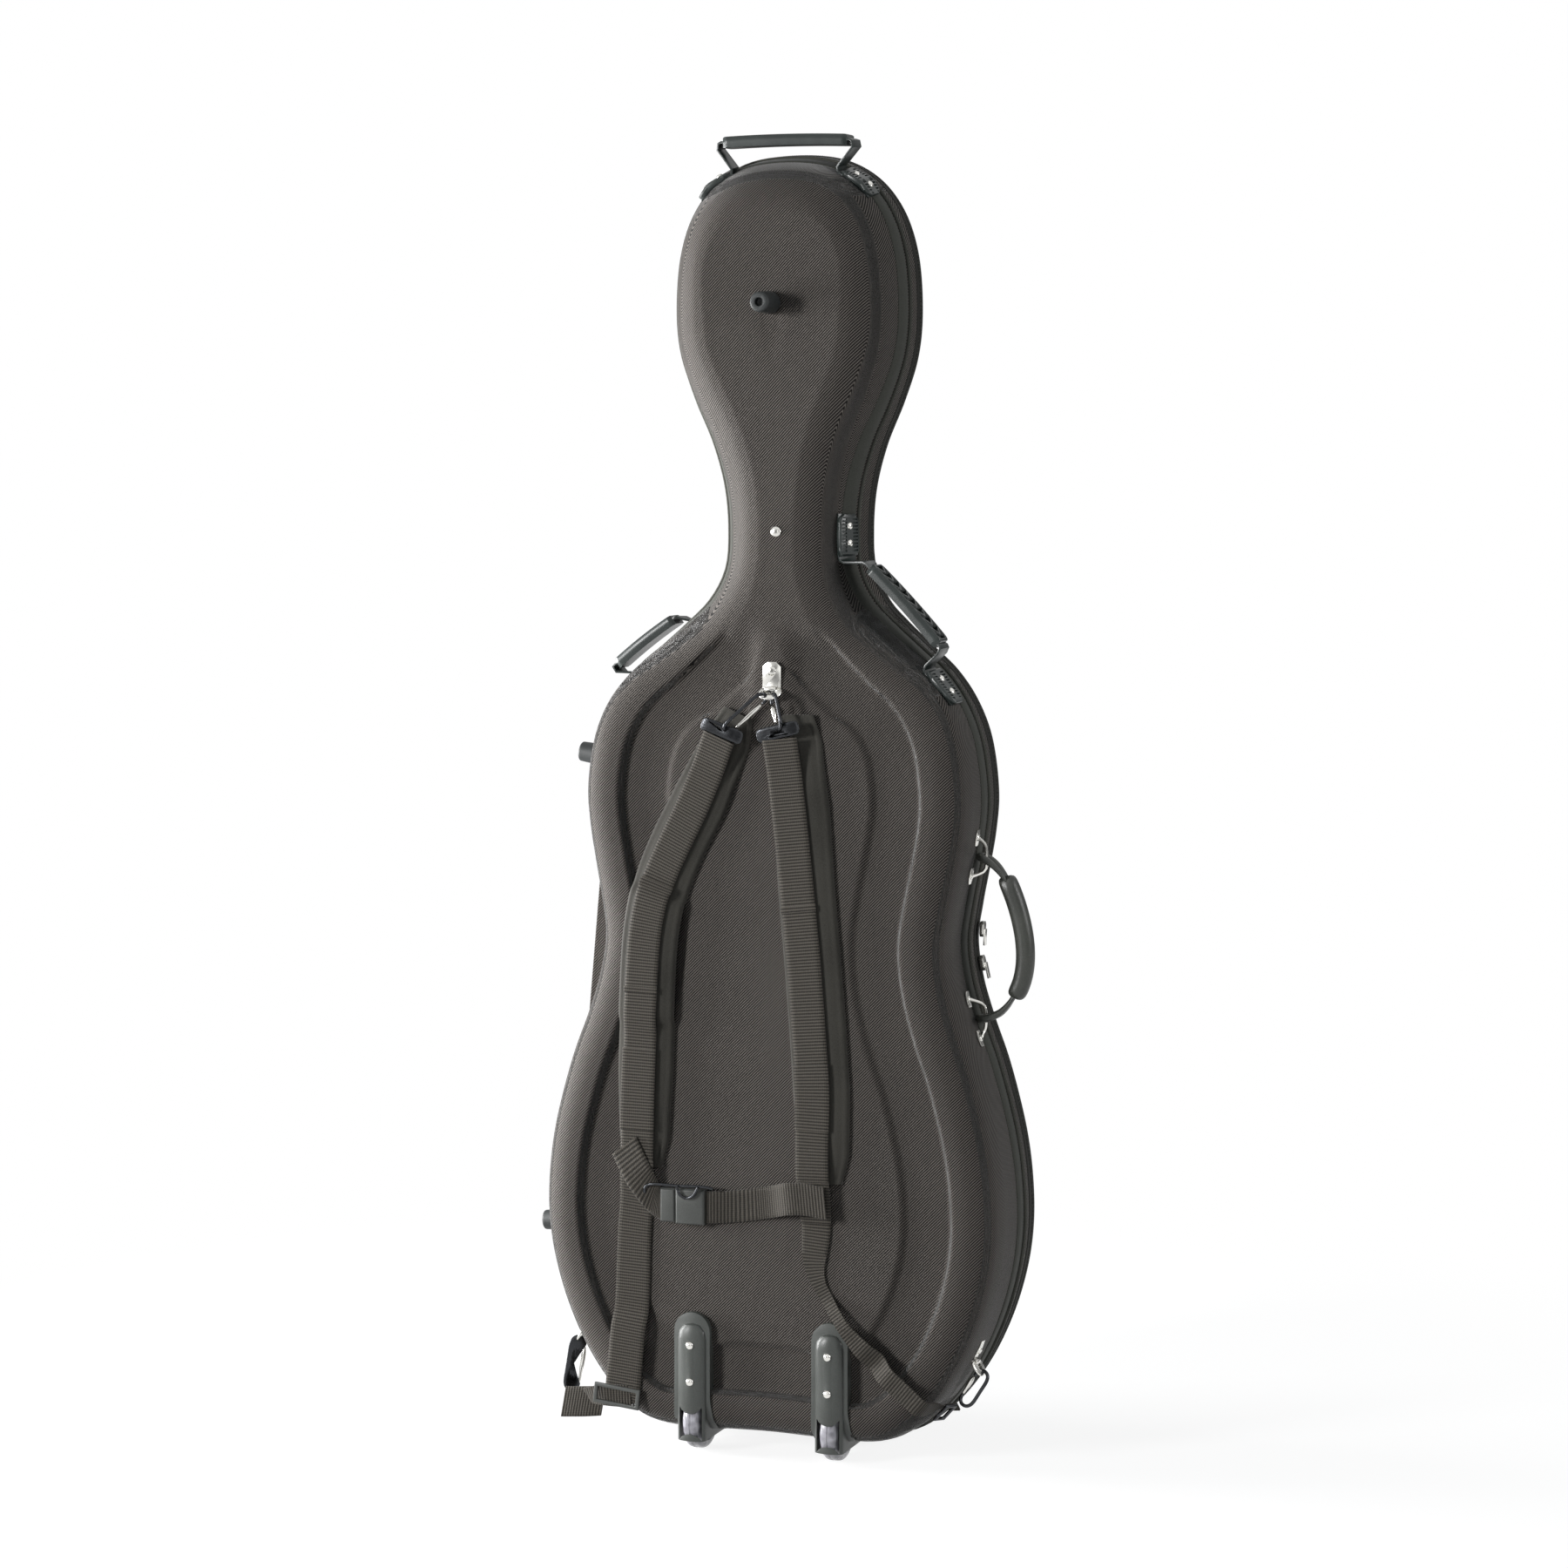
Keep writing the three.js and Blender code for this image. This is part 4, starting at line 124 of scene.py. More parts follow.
class Stand:
    """Turns the case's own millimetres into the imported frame's metres."""

    def __init__(self) -> None:
        """Read the shift from the two wheels' places."""
        left = [Vector(corner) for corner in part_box("left_wheel")]
        right = [Vector(corner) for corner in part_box("right_wheel")]
        middle = (left[0] + left[1] + right[0] + right[1]) / 4
        self.shift = Vector((middle.x, middle.y + WHEEL.setback * MM, 0))

    def place(self, spot: Vector) -> Vector:
        """Packed place of a spot in the case's own millimetres."""
        return spot * MM + self.shift


class Spline:
    """Centripetal Catmull-Rom curve through points."""

    def __init__(self, points: Sequence[Vector], closed: bool = False) -> None:
        """Keep the points and measure the curve.

        Args:
            points: What the curve runs through.
            closed: Whether it returns to its first point.
        """
        self.points = [Vector(p) for p in points]
        self.closed = closed
        self.spans = len(self.points) - (0 if closed else 1)
        fine = self.spans * 24
        self.table = [self.point(i / fine) for i in range(fine + 1)]
        self.lengths = [0.0]
        for a, b in zip(self.table, self.table[1:]):
            self.lengths.append(self.lengths[-1] + (b - a).length)

    def _knot(self, i: int) -> Vector:
        """Point of a number, past the ends too."""
        count = len(self.points)
        if self.closed:
            return self.points[i % count]
        if i < 0:
            return 2 * self.points[0] - self.points[1]
        if i >= count:
            return 2 * self.points[-1] - self.points[-2]
        return self.points[i]

    def point(self, share: float) -> Vector:
        """Point at a share of the spans."""
        at = self.spans * share
        i = min(int(at), self.spans - 1)
        w = at - i
        p = [self._knot(i + k) for k in (-1, 0, 1, 2)]
        d = [max((p[k + 1] - p[k]).length ** 0.5, 1e-4) for k in range(3)]
        start = ((p[1] - p[0]) / d[0] - (p[2] - p[0]) / (d[0] + d[1]) + (p[2] - p[1]) / d[1]) * d[1]
        end = ((p[2] - p[1]) / d[1] - (p[3] - p[1]) / (d[1] + d[2]) + (p[3] - p[2]) / d[2]) * d[1]
        a = 2 * p[1] - 2 * p[2] + start + end
        b = -3 * p[1] + 3 * p[2] - 2 * start - end
        return p[1] + start * w + b * w**2 + a * w**3

    def along(self, share: float) -> Vector:
        """Point at a share of the length."""
        want = self.lengths[-1] * share
        low, high = 0, len(self.lengths) - 1
        while high - low > 1:
            middle = (low + high) // 2
            low, high = (middle, high) if self.lengths[middle] <= want else (low, middle)
        run = self.lengths[high] - self.lengths[low]
        return self.table[low].lerp(self.table[high], (want - self.lengths[low]) / max(run, 1e-9))

    def heading(self, share: float) -> Vector:
        """Direction of travel at a share of the length."""
        step = 1e-3
        return (self.along(min(share + step, 1)) - self.along(max(share - step, 0))).normalized()


@dataclass(frozen=True)
class Station:
    """One place round the outline."""

    x: float
    z: float
    inward: tuple[float, float]
    target: float

    def inset(self, distance: float, centre_half: float = 0.0) -> tuple[float, float, float]:
        """Place a distance inside the outline, never past the centre line.

        Args:
            distance: How far inside the outline.
            centre_half: Least closeness to the centre line.

        Returns:
            x, z and the distance reached.
        """
        run = (-self.x, self.target - self.z)
        reach = run[0] * self.inward[0] + run[1] * self.inward[1]
        share = min(distance / reach, 1.0)
        if centre_half > 0 and abs(self.x) > centre_half:
            share = max(share, 1 - centre_half / abs(self.x))
        x = 0.0 if share == 1 else self.x + run[0] * share
        return x, self.z + run[1] * share, share * reach


class Side(Enum):
    """The two halves of the case and the way each bulges along y."""

    BACK = -1
    LID = 1

    @property
    def body(self) -> str:
        """The half's body, which the names of its pieces start with."""
        return self.name.lower()


@dataclass
class WallFrame:
    """A place on a side wall and its directions."""

    place: Vector
    along: Vector
    across: Vector
    out: Vector

    def off(self, out: float = 0.0, along: float = 0.0, across: float = 0.0) -> Vector:
        """Place moved by distances in the frame's own directions."""
        return self.place + self.out * out + self.along * along + self.across * across


@dataclass
class CaseForm:
    """Outline, depths and sections of the case, as its solids have them."""

    top: float = 1357
    clearance: float = 16
    head_half: float = 130.5
    head_level: float = 1193
    neck_half: float = 77.5
    neck_level: float = 968
    upper_half: float = 216
    upper_level: float = 696
    waist_half: float = 194.5
    waist_level: float = 543
    lower_half: float = 256.7
    lower_level: float = 248
    base_half: float = 120
    back_depths: tuple[float, ...] = (95, 78, 106, 124)
    lid_depths: tuple[float, ...] = (72, 62, 132, 150)
    wall: float = 5
    lining: float = 7
    lining_gap: float = 0.5
    band: float = 10
    rim: float = 38
    rim_lip: float = 9
    step_run: float = 8
    recess: float = 10
    panel_inset: float = 98
    panel_run: float = 9
    panel_rise: float = 5
    spine_half: float = 23.5
    spine_run: float = 2
    field_top: float = 856
    field_run: float = 16
    spine_foot: float = 770
    crown_inset: float = 104
    count: int = 360
    coarse_count: int = 72
    search_steps: int = 24
    stations: list[Station] = field(default_factory=list)

    RIM_PLACES = (0.04, 0.1, 0.24, 0.6, 1, 1.24, 1.53)
    BODY_SHARES = (0.25, 0.64, 0.86, 0.972, 1, 1, 1)
    NECK_SHARES = (0.16, 0.22, 0.37, 0.7, 0.9, 0.96, 1)
    HEAD_SHARES = (0.17, 0.27, 0.5, 0.79, 0.92, 0.97, 1)
    SHOULDERS = (780, 930)
    LID_SECTION = ((0.19, 0.41), (0.36, 0.68), (0.52, 0.84), (0.71, 0.94), (1, 1))
    LEGS = (
        ((0.2, 0.087), (0.4, 0.36), (0.6, 0.713), (0.8, 0.935)),
        ((0.14, 0.02), (0.27, 0.134), (0.35, 0.28), (0.44, 0.475), (0.53, 0.67), (0.64, 0.826),
         (0.78, 0.94)),
        ((0.25, 0.12), (0.5, 0.42), (0.75, 0.76)),
        ((0.14, 0.09), (0.28, 0.29), (0.42, 0.535), (0.56, 0.73), (0.7, 0.885), (0.84, 0.975)),
    )
    CROWN_POWER = 2.5
    BASE_POWER = 1.7
    CROWN_STEPS = 5
    BASE_STEPS = 6
    LEAN = 0.55
    SLOPE = 0.06
    WIDTH_SHARES = (-1, -0.5, 0, 0.5, 1)
    BACK_INNER = ((0.1, (1, 0.1)), (0.24, (0.85, 0.4)), (0.6, (0.6, 0.85)), (1.6, (0, 1)))
    LID_INNER = ((0.19, (0.95, 0.3)), (0.36, (0.85, 0.5)), (0.52, (0.7, 0.7)), (1, (0, 1)))

    def __post_init__(self) -> None:
        """Work out the stations round the outline."""
        self.stations = self.stations_of(self.count)
        self.coarse = self.stations_of(self.coarse_count)

    def outline(self) -> Spline:
        """Outline on the parting plane."""
        quarter = math.pi / 2
        right = []
        for i in range(self.CROWN_STEPS + 1):
            angle = quarter * i / self.CROWN_STEPS
            across = math.sin(angle) ** (2 / self.CROWN_POWER)
            up = max(math.cos(angle), 0) ** (2 / self.CROWN_POWER)
            right.append(Vector((self.head_half * across, 0, lerp(self.head_level, self.top, up))))
        ends = ((self.head_half, self.head_level), (self.neck_half, self.neck_level),
                (self.upper_half, self.upper_level), (self.waist_half, self.waist_level),
                (self.lower_half, self.lower_level))
        for shares, (width, level), (next_width, next_level) in zip(self.LEGS, ends, ends[1:]):
            for down, across in (*shares, (1, 1)):
                right.append(Vector((lerp(width, next_width, across), 0,
                                     lerp(level, next_level, down))))
        for i in range(1, self.BASE_STEPS + 1):
            angle = quarter * i / self.BASE_STEPS
            down = math.sin(angle) ** (2 / self.BASE_POWER)
            across = max(math.cos(angle), 0) ** (2 / self.BASE_POWER)
            right.append(Vector((lerp(self.base_half, self.lower_half, across), 0,
                                 lerp(self.lower_level, self.clearance, down))))
        right.append(Vector((0, 0, self.clearance)))
        left = [Vector((-p.x, 0, p.z)) for p in right[-2:0:-1]]
        return Spline(right + left, closed=True)

    def stations_of(self, count: int) -> list[Station]:
        """Evenly spaced stations, the right half first, from the crown down.

        Args:
            count: Stations in the whole round.

        Returns:
            The stations, mirrored about the centre line.
        """
        curve = self.outline()
        half = count // 2
        ring = [curve.along(i / count) for i in range(half + 1)]
        ring[0].x = ring[half].x = 0
        ring += [Vector((-p.x, 0, p.z)) for p in ring[half - 1:0:-1]]
        stations = []
        target = self.top - self.head_half
        for i in range(half + 1):
            run = (ring[(i + 1) % count] - ring[i - 1]).normalized()
            inward = (run.z, -run.x)
            here = ring[i]
            lean = 1 if here.z > self.head_level or here.z < self.lower_level else self.LEAN
            if here.x > self.spine_half and inward[0] < 0:
                target = min(target, here.z - lean * inward[1] / inward[0] * here.x)
            stations.append(Station(here.x, here.z, inward, target))
        for i in range(half - 1, 0, -1):
            twin = stations[i]
            inward = (-twin.inward[0], twin.inward[1])
            stations.append(Station(-twin.x, twin.z, inward, twin.target))
        return stations

    def depth(self, side: Side, z: float) -> float:
        """Depth of a half at a height."""
        head, neck, upper, lower = self.back_depths if side is Side.BACK else self.lid_depths
        if z >= self.neck_level:
            return lerp(neck, head, ramp(z, self.neck_level, self.head_level))
        if z >= self.upper_level:
            return lerp(upper, neck, ramp(z, self.upper_level, self.neck_level))
        return lerp(lower, upper, ramp(z, self.lower_level, self.upper_level))

    def section(self, side: Side, z: float) -> list[tuple[float, float]]:
        """Rows of distance inside the outline and share of the depth there."""
        if side is Side.LID:
            return [(a * self.crown_inset, b) for a, b in self.LID_SECTION]
        neck = ramp(z, *self.SHOULDERS)
        head = ramp(z, self.neck_level, self.head_level)
        mixed = (lerp(lerp(b, n, neck), h, head)
                 for b, n, h in zip(self.BODY_SHARES, self.NECK_SHARES, self.HEAD_SHARES))
        return [(place * self.rim, share) for place, share in zip(self.RIM_PLACES, mixed)]

    def wall_rows(self, side: Side, z: float) -> list[tuple[float, float]]:
        """Rows of distance inside the outline and depth there, from the zip's band inwards."""
        depth = self.depth(side, z)
        return [(0.0, self.band)] + [(a, b * depth) for a, b in self.section(side, z)]

    def level(self, side: Side, inset: float, x: float, z: float) -> float:
        """Depth of the outer face at a place whose distance inside the outline is known.

        Args:
            side: Which half of the case.
            inset: Distance inside the outline.
            x: Place across the case.
            z: Height.

        Returns:
            Depth from the parting plane.
        """
        rim = smooth_table(self.wall_rows(side, z), inset)
        if side is Side.LID:
            return rim
        start = self.rim + self.rim_lip
        half_run = self.field_run / 2
        half, run, foot = self.spine_half, self.spine_run, self.spine_foot
        body = 1 - ramp(z, self.field_top - half_run, self.field_top + half_run)
        spine = (1 - ramp(abs(x), half - run, half + run)) * ramp(
            z, foot - self.field_run, foot + self.field_run)
        recess = self.recess * ramp(inset, start, start + self.step_run)
        panel = self.panel_rise * ramp(inset, self.panel_inset, self.panel_inset + self.panel_run)
        return rim - (recess - panel) * body * (1 - spine)

    def face_ring(self, side: Side, inset: float, centre_half: float = 0.0) -> list[Vector]:
        """Ring of the outer face at a distance inside the outline.

        Args:
            side: Which half of the case.
            inset: Distance inside the outline.
            centre_half: Least closeness to the centre line.

        Returns:
            One place for each station.
        """
        ring = []
        for station in self.stations:
            x, z, reached = station.inset(inset, centre_half)
            ring.append(Vector((x, side.value * self.level(side, reached, x, z), z)))
        return ring

    def inner_ring(self, side: Side, place: float, lean: tuple[float, float], wall: float,
                   edge: float = 0.0) -> list[Vector]:
        """Ring of the inner face, one wall inside the outer one.

        Args:
            side: Which half of the case.
            place: Share of the rim that it lies at.
            lean: Shares of the wall's thickness taken inwards and downwards.
            wall: The wall's thickness.
            edge: Depth of an edge ring, in place of the section's own.

        Returns:
            One place for each station.
        """
        rim, flat = (self.rim, self.recess) if side is Side.BACK else (self.crown_inset, 0)
        drop = wall * lean[1] + (flat if lean[1] == 1 else 0)
        ring = []
        for station in self.stations:
            x, z, _ = station.inset(place * rim + wall * lean[0])
            share = read_table(self.section(side, z), place * rim)
            ring.append(Vector((x, side.value * (edge or self.depth(side, z) * share - drop), z)))
        return ring

    def inner_face(self, side: Side, wall: float, edge: float) -> list[list[Vector]]:
        """Rings of the inner face from its edge to the centre line."""
        rows = self.BACK_INNER if side is Side.BACK else self.LID_INNER
        rings = [self.inner_ring(side, 0, (1, 0), wall, edge)]
        rings += [self.inner_ring(side, place, lean, wall) for place, lean in rows]
        return rings + [self.inner_ring(side, self.top, (0, 1), wall)]

    def height_station(self, z: float, sign: int) -> float:
        """Number of the coarse station at a height, with its share of the way to the next.

        Args:
            z: The height.
            sign: 1 for the zip side, -1 for the hinge side.

        Returns:
            The number.
        """
        count = len(self.coarse)
        for i in range(count // 2):
            high, low = self.coarse[i].z, self.coarse[i + 1].z
            if low < z <= high:
                share = i + (high - z) / (high - low)
                return share if sign > 0 else count - share
        return count / 2

    def wall_point(self, side: Side, index: int, share: float) -> Vector:
        """Place on the side wall at a coarse station and a share of the depth."""
        station = self.coarse[index % len(self.coarse)]
        rows = [(0.0, 0.0)] + [(b, a) for a, b in self.section(side, station.z)]
        x, z, _ = station.inset(read_table(rows, share))
        return Vector((x, side.value * share * self.depth(side, z), z))

    def wall_frame(self, side: Side, at: float, share: float) -> "WallFrame":
        """Place on the side wall with its directions along, across and out.

        Args:
            side: Which half of the case.
            at: Number of the coarse station, with a share of the way to the next.
            share: Share of the depth.

        Returns:
            The frame.
        """
        i = math.floor(at)

        def mixed(level: float) -> Vector:
            return self.wall_point(side, i, level).lerp(self.wall_point(side, i + 1, level), at - i)

        along = (self.wall_point(side, i + 1, share) - self.wall_point(side, i, share)).normalized()
        across = (mixed(share + self.SLOPE) - mixed(share - self.SLOPE)).normalized()
        out = along.cross(across).normalized()
        inward = self.coarse[i % len(self.coarse)].inward
        if out.x * inward[0] + out.z * inward[1] > 0:
            out.negate()
        return WallFrame(mixed(share), along, across, out)

    def seat(self, side: Side, z: float, level: float) -> float:
        """Distance inside the outline at which the wall reaches a level."""
        rows = self.wall_rows(side, z)
        low, high = 0.0, self.rim
        for _ in range(self.search_steps):
            middle = (low + high) / 2
            low, high = (middle, high) if smooth_table(rows, middle) < level else (low, middle)
        return low

    def inset_at(self, x: float, z: float) -> float:
        """Distance from the outline of a place on the parting plane."""
        least = math.inf
        for station, after in zip(self.coarse, self.coarse[1:] + self.coarse[:1]):
            run = (after.x - station.x, after.z - station.z)
            off = (x - station.x, z - station.z)
            share = (off[0] * run[0] + off[1] * run[1]) / (run[0] ** 2 + run[1] ** 2)
            share = min(max(share, 0), 1)
            least = min(least, math.hypot(off[0] - run[0] * share, off[1] - run[1] * share))
        return least

    def back_face(self, x: float, z: float) -> float:
        """The back's outer face, as a place along y."""
        return -self.level(Side.BACK, self.inset_at(x, z), x, z)

    def clear_level(self, x: float, z: float, half: float) -> float:
        """Outermost place of the back over a width."""
        return min(self.back_face(x + share * half, z) for share in self.WIDTH_SHARES)


def smooth_table(rows: Sequence[tuple[float, float]], key: float) -> float:
    """Read a table by a curve that keeps to its rows and never overshoots them."""
    if key <= rows[0][0]:
        return rows[0][1]
    if key >= rows[-1][0]:
        return rows[-1][1]
    slopes = [(b[1] - a[1]) / (b[0] - a[0]) for a, b in zip(rows, rows[1:])]
    between = [2 * a * b / (a + b) if a * b > 0 else 0 for a, b in zip(slopes, slopes[1:])]
    tangents = [slopes[0], *between, slopes[-1]]
    i = max(k for k in range(len(rows) - 1) if rows[k][0] <= key)
    run = rows[i + 1][0] - rows[i][0]
    t = (key - rows[i][0]) / run
    return (rows[i][1] * (1 + 2 * t) * (1 - t) ** 2 + rows[i + 1][1] * t * t * (3 - 2 * t)
            + run * (tangents[i] * t * (1 - t) ** 2 + tangents[i + 1] * t * t * (t - 1)))


class Channel:
    """One output of a shader node that adds, scales and mixes like a number."""

    def __init__(self, graph: "Graph", socket: bpy.types.NodeSocket) -> None:
        """Keep the graph and the socket."""
        self.graph = graph
        self.socket = socket

    def _maths(self, operation: str, *values: Union["Channel", Number]) -> "Channel":
        """Add a Math node over values."""
        settings = {"operation": operation}
        return self.graph.node("ShaderNodeMath", settings, dict(enumerate(values)))["Value"]

    def __add__(self, other: Union["Channel", Number]) -> "Channel":
        """Sum."""
        return self._maths("ADD", self, other)

    def __mul__(self, other: Union["Channel", Number]) -> "Channel":
        """Product."""
        return self._maths("MULTIPLY", self, other)

    def __sub__(self, other: Union["Channel", Number]) -> "Channel":
        """Difference."""
        return self._maths("SUBTRACT", self, other)

    def __rsub__(self, other: Union["Channel", Number]) -> "Channel":
        """Difference from a number."""
        return self._maths("SUBTRACT", other, self)

    def __or__(self, other: "Channel") -> "Channel":
        """Larger of the two."""
        return self._maths("MAXIMUM", self, other)

    def __abs__(self) -> "Channel":
        """Size without its sign."""
        return self._maths("ABSOLUTE", self)

    def wave(self, pitch: float) -> "Channel":
        """Sine wave from 0 to 1 whose length is the pitch, in the channel's own unit."""
        return self._maths("SINE", self * (2 * math.pi / pitch)) * 0.5 + 0.5

    def step(self, low: float, high: float, start: float = 0.0, end: float = 1.0) -> "Channel":
        """Smooth step from a start at low to an end at high."""
        values = {"Value": self, "From Min": low, "From Max": high, "To Min": start, "To Max": end}
        settings = {"interpolation_type": "SMOOTHSTEP"}
        return self.graph.node("ShaderNodeMapRange", settings, values)["Result"]

    def between(self, first: Union["Channel", Number],
                second: Union["Channel", Number]) -> "Channel":
        """Number this share of the way from the first to the second."""
        values = {"Value": self, "To Min": first, "To Max": second}
        return self.graph.node("ShaderNodeMapRange", None, values)["Result"]


class Made:
    """A node that was added, read by the names of its outputs."""

    def __init__(self, graph: "Graph", node: bpy.types.Node) -> None:
        """Keep the graph and the node."""
        self.graph = graph
        self.node = node

    def __getitem__(self, name: str) -> Channel:
        """Output of a name or an identifier."""
        for socket in self.node.outputs:
            if name in (socket.identifier, socket.name):
                return Channel(self.graph, socket)
        raise KeyError(name)


def paint(red: int, green: int, blue: int) -> Colour:
    """Linear colour of a screen colour from 0 to 255."""
    return tuple((c / 255 / 12.92) if c < 11 else (((c / 255) + 0.055) / 1.055) ** 2.4
                 for c in (red, green, blue))


class Graph:
    """Node tree of one material or world."""

    def __init__(self, owner: Union[bpy.types.Material, bpy.types.World]) -> None:
        """Empty the owner's tree."""
        self.owner = owner
        owner.use_nodes = True
        self.tree = owner.node_tree
        self.tree.nodes.clear()

    @classmethod
    def paint(cls, name: str) -> "Graph":
        """Empty tree of a new material."""
        return cls(bpy.data.materials.new(name))

    def node(self, kind: str, settings: Optional[dict] = None,
             values: Optional[dict] = None) -> Made:
        """Add one node.

        Args:
            kind: The node's type.
            settings: Its own settings, set first.
            values: Values or channels of its sockets, by name, identifier or number.

        Returns:
            The node.
        """
        node = self.tree.nodes.new(kind)
        for key, value in (settings or {}).items():
            setattr(node, key, value)
        for key, value in (values or {}).items():
            socket = node.inputs[key] if isinstance(key, int) else next(
                s for s in node.inputs if key == s.identifier or (key == s.name and s.enabled))
            if isinstance(value, Channel):
                self.tree.links.new(value.socket, socket)
            elif isinstance(value, tuple) and len(value) == 3 and socket.type == "RGBA":
                socket.default_value = (*value, 1)
            else:
                socket.default_value = value
        return Made(self, node)

    def mix(self, share: Channel, first: Colour, second: Colour) -> Channel:
        """Colour a share of the way from the first to the second."""
        values = {"Factor_Float": share, "A_Color": first, "B_Color": second}
        return self.node("ShaderNodeMix", {"data_type": "RGBA"}, values)["Result_Color"]

    def place(self) -> Channel:
        """Place on the piece, in metres."""
        return self.node("ShaderNodeTexCoord")["Object"]

    def noise(self, scale: float, detail: float) -> Channel:
        """Noise from 0 to 1 over the piece's own metres."""
        values = {"Vector": self.place(), "Scale": scale, "Detail": detail}
        return self.node("ShaderNodeTexNoise", None, values)["Fac"]

    def parts(self, vector: Channel) -> tuple[Channel, Channel, Channel]:
        """The three parts of a vector."""
        split = self.node("ShaderNodeSeparateXYZ", None, {"Vector": vector})
        return split["X"], split["Y"], split["Z"]

    def strap_map(self) -> tuple[Channel, Channel]:
        """Runs along and across a piece from its own map, in metres."""
        return self.parts(self.node("ShaderNodeUVMap", {"uv_map": "UVMap"})["UV"])[:2]

    def bump(self, height: Channel, distance: float) -> Channel:
        """Normal bent by a height."""
        values = {"Height": height, "Distance": distance, "Strength": 1.0}
        return self.node("ShaderNodeBump", None, values)["Normal"]

    def surface(self, **sockets: Union[Channel, Number, Colour]) -> bpy.types.Material:
        """Close the tree with a surface.

        Args:
            sockets: Values of the shader's sockets, named with _ for a space.

        Returns:
            The material.
        """
        values = {key.replace("_", " "): value for key, value in sockets.items()}
        shader = self.node("ShaderNodeBsdfPrincipled", None, values)
        self.node("ShaderNodeOutputMaterial", None, {"Surface": shader["BSDF"]})
        return self.owner


@dataclass(frozen=True)
class Painted:
    """Finish of two tones."""

    name: str
    colour: Colour
    light: Colour

    def tone(self, graph: Graph, share: Channel, low: float, high: float) -> Channel:
        """Colour from the dark tone where the share is low to the light one where it is high."""
        return graph.mix(share.step(low, high), self.colour, self.light)


@dataclass(frozen=True)
class CaseCloth(Painted):
    """Diagonal-weave cover cloth, projected on whichever way the surface faces."""

    pitch: float = 0.0031
    relief: float = 0.00028
    roughness: float = 0.5

    def material(self) -> bpy.types.Material:
        """Cloth with a twill line, speckled yarn and a light bloom on its edges."""
        graph = Graph.paint(self.name)
        x, y, z = graph.parts(graph.place())
        _, ny, nz = graph.parts(graph.node("ShaderNodeTexCoord")["Normal"])
        face = abs(ny).step(0.5, 0.75)
        end = abs(nz).step(0.6, 0.8)
        across = face * x + (1 - face) * (end * x + (1 - end) * y)
        along = face * z + (1 - face) * (end * y + (1 - end) * z)
        rib = (across - along).wave(self.pitch)
        dash = (across + along).wave(self.pitch * 0.8)
        weave = rib * 0.75 + rib * dash * 0.4
        speck = graph.noise(900, 1)
        grit = graph.noise(330, 2)
        cloud = graph.noise(7, 3)
        share = weave * 1.15 + speck * 0.12 + grit * 0.14 + cloud * 0.2 - 0.37
        base = self.tone(graph, share, 0.0, 1.0)
        return graph.surface(Base_Color=base, Roughness=self.roughness, Sheen_Weight=0.45,
                             Sheen_Roughness=0.35, Specular_IOR_Level=0.06,
                             Normal=graph.bump(weave + grit * 0.15, self.relief))


@dataclass(frozen=True)
class PlainCloth(Painted):
    """Plain dark cloth or plush with a fine grain."""

    grain: float = 1400.0
    relief: float = 0.00015
    roughness: float = 0.8
    sheen: float = 0.2

    def material(self) -> bpy.types.Material:
        """Cloth with a grain in its tone and its relief."""
        graph = Graph.paint(self.name)
        speck = graph.noise(self.grain, 3)
        cloud = graph.noise(9, 2)
        base = self.tone(graph, speck * 0.7 + cloud * 0.6 - 0.1, 0.1, 0.9)
        return graph.surface(Base_Color=base, Roughness=self.roughness, Sheen_Weight=self.sheen,
                             Sheen_Roughness=0.4, Specular_IOR_Level=0.08,
                             Normal=graph.bump(speck, self.relief))


@dataclass(frozen=True)
class Webbing(Painted):
    """Ribbed webbing whose ribs cross the strap, read from the strap's own map in metres."""

    rib: float = 0.0032
    warp: float = 0.0016
    relief: float = 0.0004

    def material(self) -> bpy.types.Material:
        """Webbing with crossing ribs and fine warp lines."""
        graph = Graph.paint(self.name)
        along, across = graph.strap_map()
        ribs = along.wave(self.rib)
        warp = across.wave(self.warp)
        height = ribs * 0.8 + warp * 0.3
        speck = graph.noise(1600, 2)
        base = self.tone(graph, ribs * 0.5 + speck * 0.5 + warp * 0.15, 0.2, 1.0)
        return graph.surface(Base_Color=base, Roughness=0.6, Sheen_Weight=0.15,
                             Specular_IOR_Level=0.1,
                             Normal=graph.bump(height + speck * 0.3, self.relief))


@dataclass(frozen=True)
class SewnBand(Painted):
    """Plain cloth band with a sewn line along each edge, read from its own map in metres."""

    width: float = 0.044
    margin: float = 0.0016
    stitch: float = 0.0036

    def material(self) -> bpy.types.Material:
        """Fine cloth with two rows of stitches."""
        graph = Graph.paint(self.name)
        along, across = graph.strap_map()
        off_row = abs(abs(across - self.width / 2) - (self.width / 2 - self.margin))
        thread = (1 - off_row.step(0.0003, 0.0006)) * along.wave(self.stitch).step(0.3, 0.6)
        speck = graph.noise(1500, 2)
        base = self.tone(graph, speck * 0.8 + thread * 0.6 - 0.1, 0.0, 1.0)
        return graph.surface(Base_Color=base, Roughness=0.6, Sheen_Weight=0.15,
                             Specular_IOR_Level=0.08,
                             Normal=graph.bump(thread * 2 + speck * 0.4, 0.0002))


